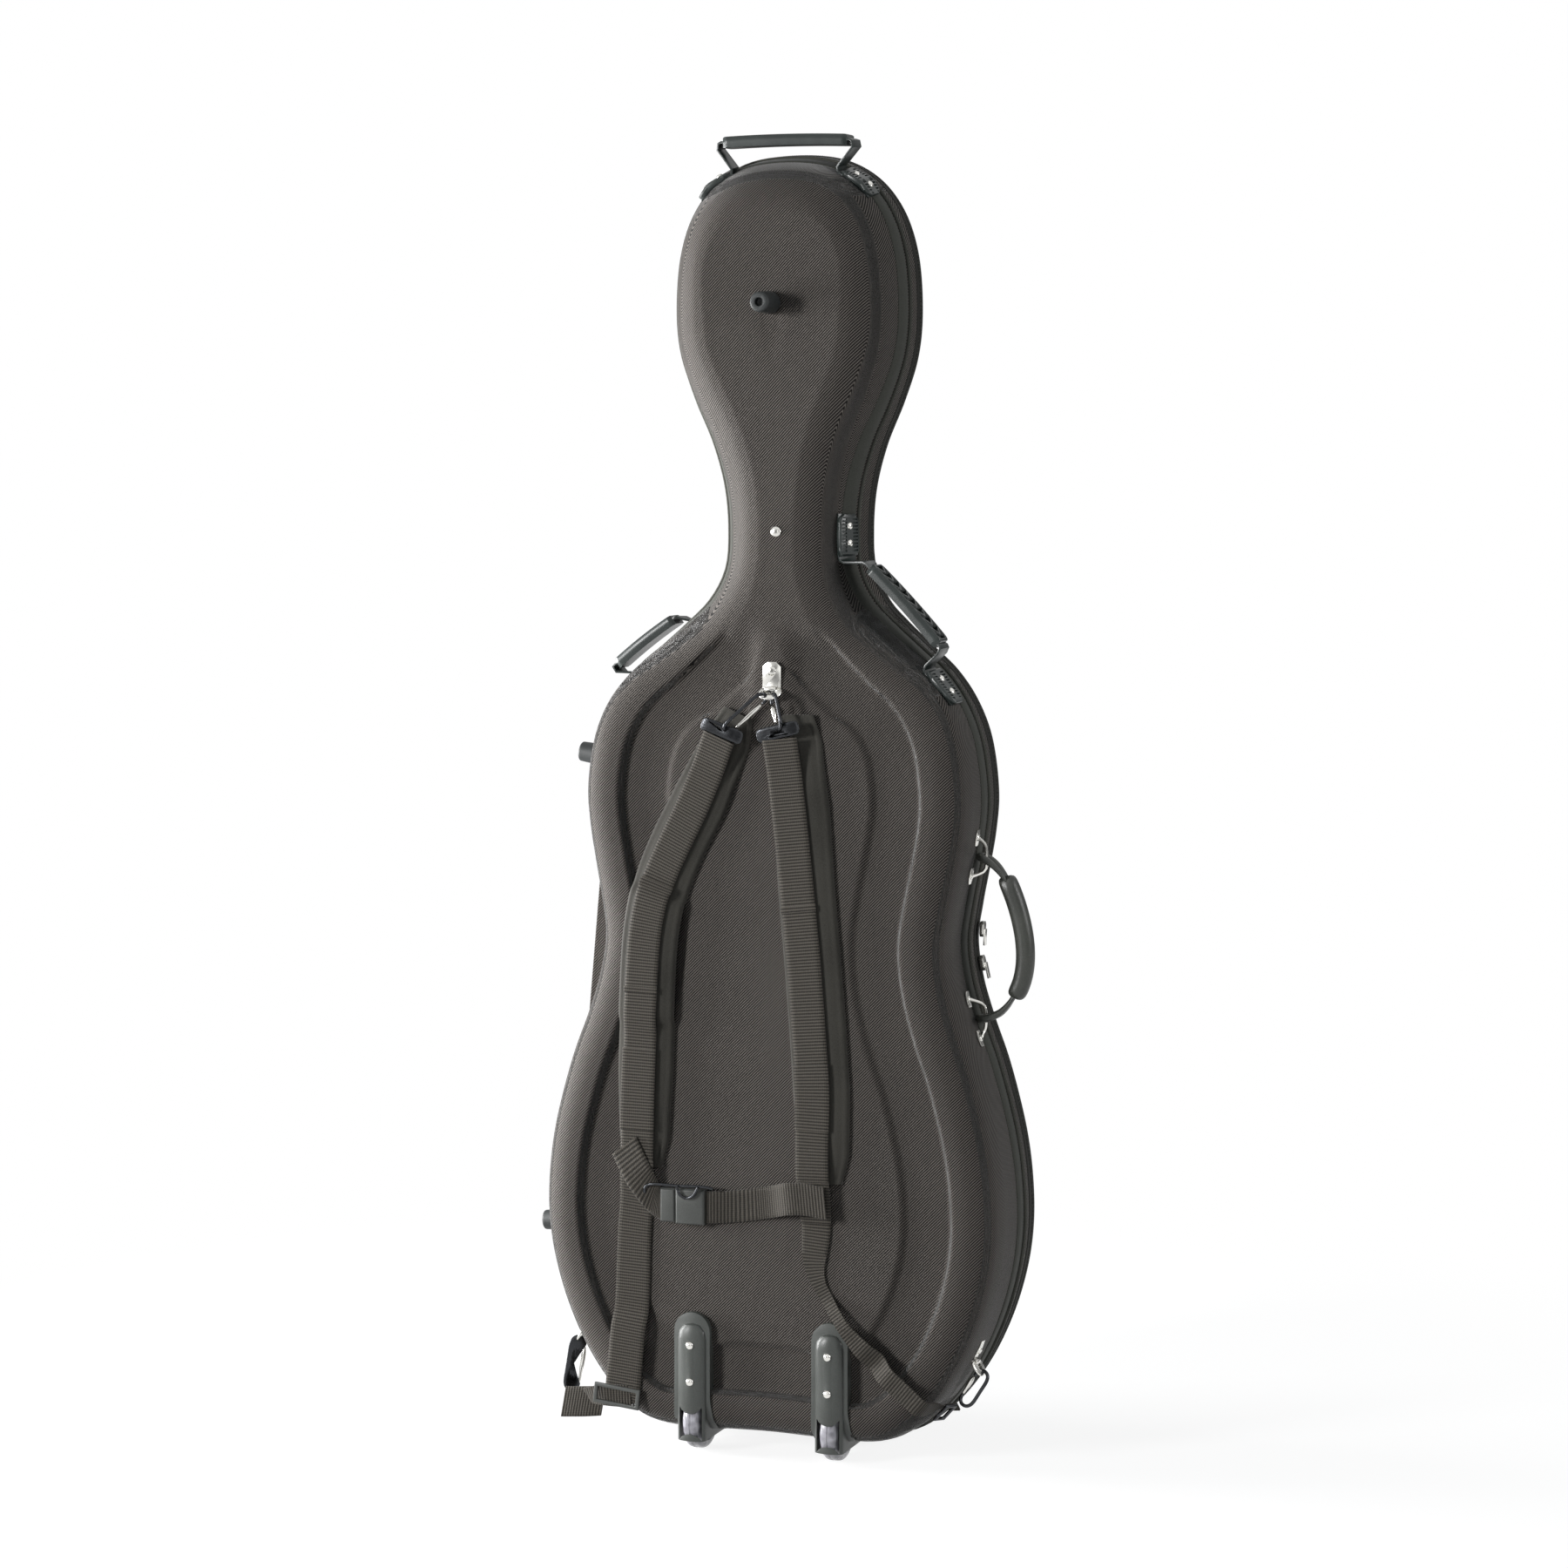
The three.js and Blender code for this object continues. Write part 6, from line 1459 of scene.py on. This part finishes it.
@dataclass
class Fittings:
    """Rings, plates, hooks, buckle, adjusters, sliders and brackets."""

    form: CaseForm
    shop: Workshop

    def make(self) -> None:
        """Round every metal and plastic fitting that keeps its solid's form."""
        for name in ("strap_plate", "left_lower_plate", "right_lower_plate",
                     "upper_handle_bracket", "lower_handle_bracket", "upper_zip_slider",
                     "lower_zip_slider"):
            body = name.replace("_zip", "") if "slider" in name else "back"
            self.shop.refined(name, Finish.CHROME, body, "chrome", bevel=0.35)
        rounded = {"levels": 2, "sharp": 80}
        for name in ("strap_ring", "left_lower_ring", "right_lower_ring"):
            self.shop.refined(name, Finish.CHROME, "back", "chrome", grow=0.3, **rounded)
        for name in ("left_strap_ring", "right_strap_ring"):
            self.shop.refined(name, Finish.STEEL, "back", "dark_steel", grow=0.3, **rounded)
        self.shop.refined("left_adjuster", Finish.GREY, "back", "grey_plastic", bevel=0.5)
        self.shop.refined("right_adjuster", Finish.STEEL, "back", "dark_steel", bevel=0.5)
        for name in ("buckle_socket", "buckle_plug"):
            self.shop.refined(name, Finish.GREY, "back", "grey_plastic", bevel=0.9)
        for name in ("left_top", "right_top", "left_bottom", "right_bottom"):
            self.shop.refined(f"{name}_hook", Finish.STEEL, "back", "dark_steel", grow=0.35,
                              **rounded)
            self.shop.refined(f"{name}_gate", Finish.CHROME, f"{name}_gate", "chrome", levels=1,
                              sharp=80, grow=0.15)


@dataclass(frozen=True)
class HandleEnd:
    """Where a handle's strap is riveted to the wall and where it enters the grip."""

    level: float
    sign: int
    towards: int
    share: float
    grip: tuple[float, float, float]


@dataclass(frozen=True)
class CarryHandle:
    """One moulded carry handle."""

    name: str
    side: Side
    body: str
    ends: tuple[HandleEnd, HandleEnd]


@dataclass
class Handles:
    """Carry handles on the head, the shoulder and the lid, and the leather side handle."""

    form: CaseForm
    shop: Workshop
    tab_length: float = 42.0
    tab_low: float = 2.1
    tab_high: float = 7.4
    tab_slot: float = 2.6
    tab_pitch: float = 3.6
    eyelets: tuple[float, ...] = (0.3, 0.7)
    grip_half: float = 5.7
    grip_width: float = 28.4
    grip_bow: float = 3.0
    grip_narrowing: float = 5.0
    grip_sink: float = 4.4
    grip_pitch: float = 12.5
    grip_fall: float = 1.4
    chevron: float = 0.8
    tab_fall: float = 1.3
    rivet_size: tuple[float, float] = (3.7, 1.9)
    strand: float = 4.3

    TAB_WIDTHS = ((0, 23), (0.12, 27.4), (0.78, 27.6), (0.9, 24), (0.97, 18), (1, 13))
    CARRY = (
        CarryHandle("top_handle", Side.BACK, "back", (
            HandleEnd(1342, -1, -1, 0.43, (-68, -40.85, 1370)),
            HandleEnd(1342, 1, 1, 0.43, (68, -40.85, 1370)))),
        CarryHandle("shoulder_handle", Side.BACK, "back", (
            HandleEnd(944, 1, -1, 0.52, (97, -50, 931)),
            HandleEnd(826, 1, 1, 0.62, (173, -56, 854)))),
        CarryHandle("lid_handle", Side.LID, "lid", (
            HandleEnd(872, -1, 1, 0.34, (-151, 25, 870)),
            HandleEnd(806, -1, -1, 0.34, (-216, 25, 821)))),
    )
    SLEEVE_ENDS = ((252, 590), (250, 490))
    LOOPS = (((246, 603), (237, 618), (226, 629), (217, 633.5), (213.4, 634.5)),
             ((244, 481), (236, 473), (226, 468), (217, 466), (213.4, 465.5)))
    SPREADS = (2.0, 4.4, 6.6, 5.4, 0)
    DEPTH = -48.0
    GRIP_WELL = (2.6, 3.8)
    GRIP_BAR = (3.7, 4.4)
    GRIP_EDGE = (-0.4, 1.6)
    TAB_COMB = (0.6, 0.95)
    TAB_SPINE = (4.6, 5.2)
    TAB_WELL = (2.6, 3.2)
    TAB_EDGE = (-0.3, 1.8)

    def make(self) -> None:
        """Make the three carry handles and the side handle."""
        for handle in self.CARRY:
            self.shop.refined(f"{handle.name}_strap", Finish.MOULDED, handle.body, "webbing",
                              bevel=0.3)
            self.grip(handle)
            for number, end in enumerate(handle.ends, 1):
                self.tab(handle, end, number)
        loops = [self.loop(low, turns) for low, turns in zip(self.SLEEVE_ENDS, self.LOOPS)]
        self.shop.keep("side_handle_loops", self.shop.joined(loops), Finish.LEATHER, "side_handle",
                       "leather", ["side_handle_core"], 60)
        self.shop.refined("side_handle_sleeve", Finish.LEATHER, "side_handle", "leather", levels=2,
                          sharp=80, grow=0.6)

    def loop(self, low: tuple[float, float], turns: Pairs) -> bmesh.types.BMesh:
        """Leather strand from the sleeve round its bracket and back into the sleeve."""
        there = [Vector((x, self.DEPTH - spread, z))
                 for (x, z), spread in zip(turns, self.SPREADS)]
        back = [Vector((p.x, 2 * self.DEPTH - p.y, p.z)) for p in there[-2::-1]]
        start = Vector((low[0], self.DEPTH, low[1]))
        return self.shop.tube([start, *there, *back, start + INTO_LID * 0.5], UP, self.strand, 14,
                              90)

    def grip(self, handle: CarryHandle) -> None:
        """Moulded grip with chevron openings in its outer face."""
        start, end = (Vector(e.grip) for e in handle.ends)
        ahead = (end - start).normalized()
        rise = ahead.cross(INTO_LID).normalized()
        middle = (start + end) / 2
        if rise.x * middle.x + rise.z * (middle.z - self.form.neck_level) < 0:
            rise.negate()
        steps = 160
        length = (end - start).length
        rows = []
        for k in range(steps + 1):
            share = k / steps
            narrowed = self.grip_narrowing * (1 - ramp(min(share, 1 - share) * length, -1, 5))
            bow = rise * (2 * self.grip_bow * share * (1 - share))
            rows.append(Row(start.lerp(end, share) + bow, INTO_LID.copy(), rise,
                            self.grip_width - narrowed))

        def carve_at(run: float, place: float, half: float) -> float:
            edge = min(half - abs(place), run, length - run)
            cell = (run + self.chevron * abs(place)) % self.grip_pitch
            bar = ramp(abs(cell - self.grip_pitch / 2), *self.GRIP_BAR)
            return (self.grip_sink * ramp(edge, *self.GRIP_WELL) * (1 - bar)
                    + self.grip_fall * (1 - ramp(edge, *self.GRIP_EDGE)))

        mesh = self.shop.relief(rows, -self.grip_half, self.grip_half, carve_at)
        self.shop.keep(f"{handle.name}_grip_piece", mesh, Finish.MOULDED, handle.body, "moulded",
                       [f"{handle.name}_grip"], 55)

    def tab(self, handle: CarryHandle, end: HandleEnd, number: int) -> None:
        """Moulded tab over a strap's riveted end, with its two eyelets."""
        form = self.form
        pitch = form.outline().lengths[-1] / len(form.coarse)
        near = form.height_station(end.level, end.sign)
        far = near + end.towards * self.tab_length / pitch
        steps = 104
        rows = []
        for k in range(steps + 1):
            frame = form.wall_frame(handle.side, lerp(near, far, k / steps), end.share)
            across = -frame.across if frame.across.y < 0 else frame.across
            rows.append(Row(frame.place, across, frame.out, read_table(self.TAB_WIDTHS, k / steps)))

        def carve_at(run: float, place: float, half: float) -> float:
            edge = min(half - abs(place), run, self.tab_length - run)
            comb = ramp(abs(run % self.tab_pitch - self.tab_pitch / 2), *self.TAB_COMB)
            slot = (1 - comb) * ramp(abs(place), *self.TAB_SPINE) * ramp(edge, *self.TAB_WELL)
            return self.tab_slot * slot + self.tab_fall * (1 - ramp(edge, *self.TAB_EDGE))

        mesh = self.shop.relief(rows, self.tab_low, self.tab_high, carve_at, 36)
        self.shop.keep(f"{handle.name}_tab_{number}", mesh, Finish.MOULDED, handle.body, "moulded",
                       [], 55)
        heads = []
        for share in self.eyelets:
            row = rows[round(share * steps)]
            heads.append(self.shop.rivet(row.at + row.out * self.tab_high, row.out,
                                         *self.rivet_size))
        self.shop.keep(f"{handle.name}_rivets_{number}", self.shop.joined(heads), Finish.CHROME,
                       handle.body, "chrome", [], 60)


@dataclass
class Harness:
    """Padded back straps, their webbing and the chest belt."""

    form: CaseForm
    shop: Workshop
    keep: float = 0.4
    seat: float = 0.3
    pad_thickness: float = 10.0
    strap_thickness: float = 2.4
    strap_level: float = 116.0
    web_gap: float = 0.8
    pad_margin: float = 13.0
    buckle_level: float = 263.0
    buckle_left: float = -107.0
    buckle_right: float = -61.0
    buckle_thickness: float = 12.0
    belt_half: float = 17.0
    chest_level: float = 316.0
    buckle_reach: float = 24.0
    patch_overhang: float = 1.6
    patch_seat: float = 0.3
    pad_foot: float = 0.222
    lead_in: float = 0.06
    housing_rise: float = 10.8
    seam_inset: float = 6.5
    seam_width: float = 1.4
    seam_depth: float = 2.0
    wire_radius: float = 1.6

    LEFT_BOTTOM = Vector((-234.6455, -80.4185, 42.262))
    RIGHT_BOTTOM = Vector((209.748, -87.5368, 66.0494))
    LEFT_PAD = ((-0.13, 0.575), (-0.2, 0.545), (-0.296, 0.506), (-0.39, 0.472), (-0.456, 0.441),
                (-0.495, 0.405), (-0.51, 0.337), (-0.514, 0.28), (-0.514, 0.222))
    RIGHT_PAD = ((0.125, 0.575), (0.128, 0.548), (0.145, 0.501), (0.171, 0.439), (0.203, 0.383),
                 (0.23, 0.332), (0.25, 0.287), (0.262, 0.243), (0.266, 0.218))
    LEFT_WEB = ((-0.19, 0.557), (-0.304, 0.506), (-0.393, 0.472), (-0.464, 0.441), (-0.505, 0.405),
                (-0.522, 0.337), (-0.53, 0.28), (-0.535, 0.222), (-0.557, 0.174), (-0.571, 0.113),
                (-0.588, 0.081), (-0.61, 0.035))
    RIGHT_WEB = ((0.069, 0.557), (0.105, 0.501), (0.144, 0.439), (0.179, 0.383), (0.206, 0.332),
                 (0.226, 0.287), (0.226, 0.243), (0.234, 0.187), (0.236, 0.145), (0.36, 0.11),
                 (0.52, 0.08), (0.7, 0.052))
    PAD_WIDTHS = ((0, 34), (0.06, 52), (0.2, 62), (0.8, 62), (0.94, 56), (1, 40))
    PAD_RISES = ((0, 0.3), (0.08, 0.7), (0.16, 1), (0.9, 1), (1, 0.6))
    LEFT_WIDTHS = ((0, 36), (0.5, 36), (1, 40))
    RIGHT_WIDTHS = ((0, 38), (0.62, 36), (0.72, 30), (0.78, 14), (0.84, 14), (0.9, 22), (1, 20))
    LEFT_PATCHES = ((602, 595, 0.8), (492, 486, 0.8), (427, 341, 1.2), (310, 304, 0.8))
    RIGHT_PATCHES = ((584, 577, 0.8), (420, 352, 1.2), (298, 254, 1.4))
    FLAP = ((-182, -114.5, 44), (-198, -115.5, 42), (-213, -115.5, 40.5), (-228, -114.5, 39))
    BELT_STOPS = (-67, -58, -35, -5, 12, 32, 52, 74)
    BELT_RISES = ((-50, 263), (-20, 266), (15, 274), (40, 282), (74, 278))
    LEFT_TAIL = (24, 24, 22, 20, 16, 12, 10, 10)
    RIGHT_TAIL = (20, 18, 15, 12, 10, 10)
    PAD_FADE = (-50, 10)
    HOUSING_LEVELS = (150, 175)
    PAD_POWERS = (0.55, 0.6)
    PAD_CROWN = (0.86, 0.14)
    WIRE_ROD = ((-128, 2, 275), (-127, 1, 281), (-121, 0, 284.5), (-90, 0, 285), (-58, 0, 285.5),
                (-50, 0, 284))
    WIRE_CURL = ((-90, -2.5, 285.5), (-87, -2.5, 277), (-80, -2.5, 273), (-72, -2.5, 276),
                 (-66, -2.5, 285))

    def make(self) -> None:
        """Make the pads, the webbing over them and the belt."""
        self.pad(self.LEFT_PAD, "left_pad_cover", "left_strap_pad")
        self.pad(self.RIGHT_PAD, "right_pad_cover", "right_strap_pad")
        left, right = (self.rows(route, 44, widths, self.web_level) for route, widths in (
            (self.LEFT_WEB, self.LEFT_WIDTHS), (self.RIGHT_WEB, self.RIGHT_WIDTHS)))
        self.webbing(left, "left_webbing", ["left_strap_webbing"])
        self.patches(left, "left_strap", self.LEFT_PATCHES)
        self.patches(right, "right_strap", self.RIGHT_PATCHES)
        foot = left[-1].at
        tail = self.tail([Vector((foot.x + 10, foot.y - 1.4, foot.z + 7)),
                          Vector((foot.x - 20, foot.y - 1.6, foot.z + 5)),
                          Vector((-205, -112, foot.z + 1)), self.LEFT_BOTTOM + Vector((6, -7, 3)),
                          self.LEFT_BOTTOM + Vector((2, -3.6, 0))],
                         self.LEFT_TAIL, UP, Vector((0.4, -0.9, 0.1)))
        self.webbing(tail, "left_tail", [])
        tail = self.tail([right[-1].at, Vector((196, -100, 67)),
                          self.RIGHT_BOTTOM + Vector((-3.6, -3, 0))],
                         self.RIGHT_TAIL, right[-1].across, Vector((0.2, -0.9, -0.4)))
        self.webbing(right + tail[1:], "right_webbing", ["right_strap_webbing"])
        self.webbing(self.chest_rows(left), "chest_loop", [])
        self.webbing(self.belt_rows(), "chest_belt_webbing", ["chest_belt"])
        flap = [Row(Vector(spot), Vector((0.18, 0, 1)).normalized(), OUT_OF_BACK.copy(),
                    2 * self.belt_half) for spot in self.FLAP]
        self.webbing(flap, "left_flap", [])
        self.chest_wire()

    def rows(self, shares: Pairs, count: int, widths: Pairs,
             level: Callable[[Vector, float, float], float]) -> list[Row]:
        """Crossings of a strap along its route.

        Args:
            shares: Route as shares of the lower half-width and of the case's height.
            count: Steps along the route.
            widths: Rows of a share of the route and the width there.
            level: Place along y from a spot, half the width and the share of the route.

        Returns:
            The crossings.
        """
        route = Spline([Vector((x * self.form.lower_half, 0, z * self.form.top))
                        for x, z in shares])
        made = []
        for k in range(count + 1):
            share = k / count
            spot, ahead = route.along(share), route.heading(share)
            width = read_table(widths, share)
            at = Vector((spot.x, level(spot, width / 2, share), spot.z))
            made.append(Row(at, Vector((-ahead.z, 0, ahead.x)), OUT_OF_BACK.copy(), width))
        return made

    def web_level(self, spot: Vector, half: float, share: float) -> float:
        """Underside of the webbing over the padding, then on the case below it."""
        form = self.form
        over = form.clear_level(spot.x, spot.z, half + self.pad_margin) - self.keep
        end = self.pad_foot * form.top
        low, high = self.PAD_FADE
        pad = (self.pad_thickness + self.web_gap) * ramp(spot.z, end + low, end + high)
        housing = 0.0
        low, high = self.HOUSING_LEVELS
        if spot.z < high and spot.x > 0:
            housing = self.housing_rise * ramp(-spot.z, -high, -low)
        return lerp(-self.strap_level, over - pad - housing, ramp(share, 0, self.lead_in))

    def pad(self, shares: Pairs, name: str, node: str) -> None:
        """Foam pad with a bound edge and a sewn channel inside it.

        Args:
            shares: Route as shares of the lower half-width and of the case's height.
            name: The piece's name.
            node: The solid that it stands for.
        """
        form = self.form
        count, sides = 96, 40
        rows = self.rows(shares, count, self.PAD_WIDTHS, lambda spot, half, _: form.clear_level(
            spot.x, spot.z, half) - self.keep)
        length = sum((b.at - a.at).length for a, b in zip(rows, rows[1:]))

        def place(i: int, j: int) -> Vector:
            row = rows[i]
            share = i / count
            angle = 2 * math.pi * (j % sides) / sides
            side = math.copysign(abs(math.cos(angle)) ** self.PAD_POWERS[0], math.cos(angle))
            top = max(math.sin(angle), 0) ** self.PAD_POWERS[1]
            rise = self.pad_thickness * read_table(self.PAD_RISES, share)
            edge = (1 - abs(side)) * row.width / 2
            end = min(share, 1 - share) * length
            seam = math.exp(-((min(edge, end) - self.seam_inset) / self.seam_width) ** 2)
            crown = rise * (self.PAD_CROWN[0] + self.PAD_CROWN[1] * (1 - side * side))
            lift = top * (crown - self.seam_depth * seam)
            return row.at + row.across * (side * row.width / 2) + row.out * lift

        mesh = self.shop.grid(count, sides, place, (length * MM, 0.14))
        piece = self.shop.keep(name, mesh, Finish.PADDING, "back", "padding", [node], 80)

    def tail(self, points: Sequence[Vector], widths: Sequence[float], first: Vector,
             last: Vector) -> list[Row]:
        """Crossings of a strap's end that turns edge over towards its hook."""
        path = Spline(points)
        sense = math.copysign(1, path.heading(0).cross(first).dot(OUT_OF_BACK))
        made = []
        for k, width in enumerate(widths):
            share = k / (len(widths) - 1)
            ahead = path.heading(share)
            across = first.lerp(last, ramp(share, 0.2, 1)).normalized()
            across = (across - ahead * across.dot(ahead)).normalized()
            made.append(Row(path.along(share), across, ahead.cross(across) * sense, width))
        return made

    def webbing(self, rows: Sequence[Row], name: str, nodes: Sequence[str]) -> None:
        """Strap through rows as a piece."""
        mesh = self.shop.strap(rows, self.strap_thickness, 6 * (len(rows) - 1))
        self.shop.keep(name, mesh, Finish.WEBBING, "back", "webbing", nodes, 60)

    def patches(self, rows: Sequence[Row], name: str,
                table: Sequence[tuple[float, float, float]]) -> None:
        """Second layers and bar tacks sewn over a strap.

        Args:
            rows: The strap's crossings, from its top down.
            name: What the pieces' names start with.
            table: Upper level, lower level and thickness of each.
        """
        for number, (high, low, thickness) in enumerate(table, 1):
            steps = max(round((high - low) / 6), 2)
            crossings = []
            for k in range(steps + 1):
                z = lerp(high, low, k / steps)
                i = next(i for i, row in enumerate(rows[1:]) if row.at.z <= z)
                share = (rows[i].at.z - z) / (rows[i].at.z - rows[i + 1].at.z)
                a, b = rows[i], rows[i + 1]
                at = a.at.lerp(b.at, share) + a.out * (self.strap_thickness - self.patch_seat)
                crossings.append(Row(at, a.across.lerp(b.across, share), a.out,
                                     lerp(a.width, b.width, share) + self.patch_overhang))
            mesh = self.shop.strap(crossings, thickness + self.patch_seat, 3 * steps)
            self.shop.keep(f"{name}_patch_{number}", mesh, Finish.WEBBING, "back", "webbing", [],
                           60)

    def buckle_face(self) -> float:
        """Place along y of the buckle's underside."""
        middle = (self.buckle_left + self.buckle_right) / 2
        return self.form.clear_level(middle, self.buckle_level, self.buckle_reach) - self.keep

    def buckle_middle(self) -> float:
        """Place along y of a strap's underside where it enters the buckle."""
        return self.buckle_face() - self.buckle_thickness / 2 + self.strap_thickness / 2

    def chest_wire(self) -> None:
        """Wire clip that lies along the buckle's upper edge."""
        y = self.buckle_face() - self.buckle_thickness - 1
        wires = [self.shop.tube([Vector((x, y + drop, z)) for x, drop, z in spots], OUT_OF_BACK,
                                self.wire_radius, 12, 40)
                 for spots in (self.WIRE_ROD, self.WIRE_CURL)]
        self.shop.keep("chest_clip", self.shop.joined(wires), Finish.STEEL, "back", "dark_steel",
                       [], 60)

    def chest_rows(self, left: Sequence[Row]) -> list[Row]:
        """Crossings of the band from the left strap to the buckle."""
        near = min(left, key=lambda row: abs(row.at.z - self.chest_level))
        start = near.at.y - self.strap_thickness + 0.6
        middle = self.buckle_middle()
        table = ((-150, 324, (0.8, 0.6), start), (-134, 294, (0.72, 0.69), start - 0.6),
                 (-119, 270, (0.3, 0.95), middle - 1.5),
                 (self.buckle_left - 4, self.buckle_level, (0, 1), middle),
                 (self.buckle_left + 2, self.buckle_level, (0, 1), middle))
        return [Row(Vector((x, y, z)), Vector((side, 0, up)).normalized(), OUT_OF_BACK.copy(),
                    2 * self.belt_half) for x, z, (side, up), y in table]

    def belt_rows(self) -> list[Row]:
        """Crossings of the belt from the buckle to under the right strap."""
        middle = self.buckle_middle()
        lift = self.pad_thickness + self.web_gap + self.strap_thickness + 2 * self.seat
        made = []
        for k, x in enumerate(self.BELT_STOPS):
            z = read_table(self.BELT_RISES, x)
            over = lift * ramp(x, 6, 30)
            y = middle if k < 2 else self.form.clear_level(x, z, 20) - self.keep - over - 1
            lean = -0.1 * ramp(x, -40, 30)
            made.append(Row(Vector((x, y, z)), Vector((lean, 0, 1)).normalized(),
                            OUT_OF_BACK.copy(), 2 * self.belt_half))
        return made


@dataclass
class Foam:
    """Foam cradle and rest inside the back."""

    shop: Workshop

    def make(self) -> None:
        """Cover both blocks in plush."""
        for name in ("neck_cradle", "body_rest"):
            self.shop.refined(name, Finish.PLUSH, "back", "plush", bevel=2.0)


@dataclass
class Studio:
    """Camera, lamps, world and floor."""

    stand: Stand
    azimuth: float = 20.0
    pitch: float = 5.332
    lens: float = 90.0
    camera: tuple[float, float, float] = (1398.62, -3896.46, 1085.0)
    floor_half: float = 4.0
    floor_clear: tuple[float, float] = (0.55, 1.25)
    ambient: float = 0.075
    mirrored: tuple[float, float, float, float] = (0.0, 0.7, 0.14, 0.95)
    cool: Colour = (0.72, 0.92, 1.0)
    floor_tone: Colour = (0.26, 0.26, 0.26)
    floor_glow: float = 0.86
    sensor: float = 36
    far_clip: float = 100
    aim: tuple[float, float, float] = (0, 0, 0.7)

    WHITE = (1.0, 1.0, 1.0)
    LAMPS = (("key", (-3.0, -3.6, 1.5), 1.0, 150), ("side", (-2.6, -0.25, 0.6), 1.4, 168),
             ("fill", (1.0, -4.2, 1.2), 2.0, 14), ("rim", (3.2, -0.3, 1.5), 1.0, 34))

    def make(self) -> None:
        """Set up the view and the light."""
        self.place_camera()
        self.light_world()
        for lamp in self.LAMPS:
            self.lamp(*lamp)
        self.lay_floor()

    def place_camera(self) -> None:
        """Camera at the photograph's viewing angle."""
        data = bpy.data.cameras.new("view")
        data.lens = self.lens
        data.sensor_width = self.sensor
        data.clip_end = self.far_clip
        view = placed("view", data)
        view.location = self.stand.place(Vector(self.camera))
        view.rotation_euler = (math.radians(90 - self.pitch), 0, math.radians(self.azimuth))
        bpy.context.scene.camera = view

    def lamp(self, name: str, place: tuple[float, float, float], size: float, power: float) -> None:
        """Soft square lamp that faces the middle of the case."""
        data = bpy.data.lights.new(name, "AREA")
        data.size = size
        data.energy = power
        lamp = placed(name, data)
        lamp.location = place
        lamp.rotation_euler = (Vector(self.aim) - Vector(place)).to_track_quat("-Z", "Y").to_euler()

    def light_world(self) -> None:
        """Even pale light, graded where a piece mirrors it and white where the camera sees it."""
        graph = Graph(bpy.data.worlds.new("studio"))
        bpy.context.scene.world = graph.owner
        path = graph.node("ShaderNodeLightPath")
        seen = path["Is Camera Ray"] | (path["Is Glossy Ray"] | path["Is Transmission Ray"])
        height = graph.parts(graph.node("ShaderNodeTexCoord")["Generated"])[2]
        level = path["Is Glossy Ray"].between(self.ambient, height.step(*self.mirrored))
        for ray in ("Is Transmission Ray", "Is Camera Ray"):
            level = path[ray].between(level, 1.0)
        ground = graph.node("ShaderNodeBackground", None, {
            "Color": graph.mix(seen, self.cool, self.WHITE), "Strength": level})
        graph.node("ShaderNodeOutputWorld", None, {"Surface": ground["Background"]})

    def lay_floor(self) -> None:
        """Pale floor that keeps the object's shadow and fades into the background."""
        mesh = bmesh.new()
        bmesh.ops.create_grid(mesh, x_segments=1, y_segments=1, size=self.floor_half)
        floor = placed("studio_floor", meshed("studio_floor", mesh))
        graph = Graph.paint("floor_paint")
        path = graph.node("ShaderNodeLightPath")
        seen = path["Is Camera Ray"] + path["Is Glossy Ray"] + path["Is Transmission Ray"]
        settings = {"operation": "LENGTH"}
        away = graph.node("ShaderNodeVectorMath", settings, {"Vector": graph.place()})["Value"]
        colour = graph.node("ShaderNodeBsdfDiffuse", None, {"Color": self.floor_tone})
        glow, white = (graph.node("ShaderNodeEmission", None, {
            "Color": self.WHITE, "Strength": power}) for power in (seen * self.floor_glow, 1.0))
        near = graph.node("ShaderNodeAddShader", None, {0: colour["BSDF"], 1: glow["Emission"]})
        far = graph.node("ShaderNodeMixShader", None, {
            0: away.step(*self.floor_clear) * seen, 1: near["Shader"], 2: white["Emission"]})
        graph.node("ShaderNodeOutputMaterial", None, {"Surface": far["Shader"]})
        floor.data.materials.append(graph.owner)


def main() -> None:
    """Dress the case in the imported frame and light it."""
    logging.basicConfig(level=logging.INFO, format="%(message)s")
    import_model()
    stand = Stand()
    shop = Workshop(stand)
    form = CaseForm()
    bpy.context.scene.view_settings.view_transform = "Standard"
    Studio(stand).make()
    for part in (Covers(form, shop), Running(form, shop), Fittings(form, shop), Handles(form, shop),
                 Harness(form, shop), Foam(shop)):
        part.make()
        log.info("made %s", type(part).__name__)


if __name__ == "__main__":
    main()
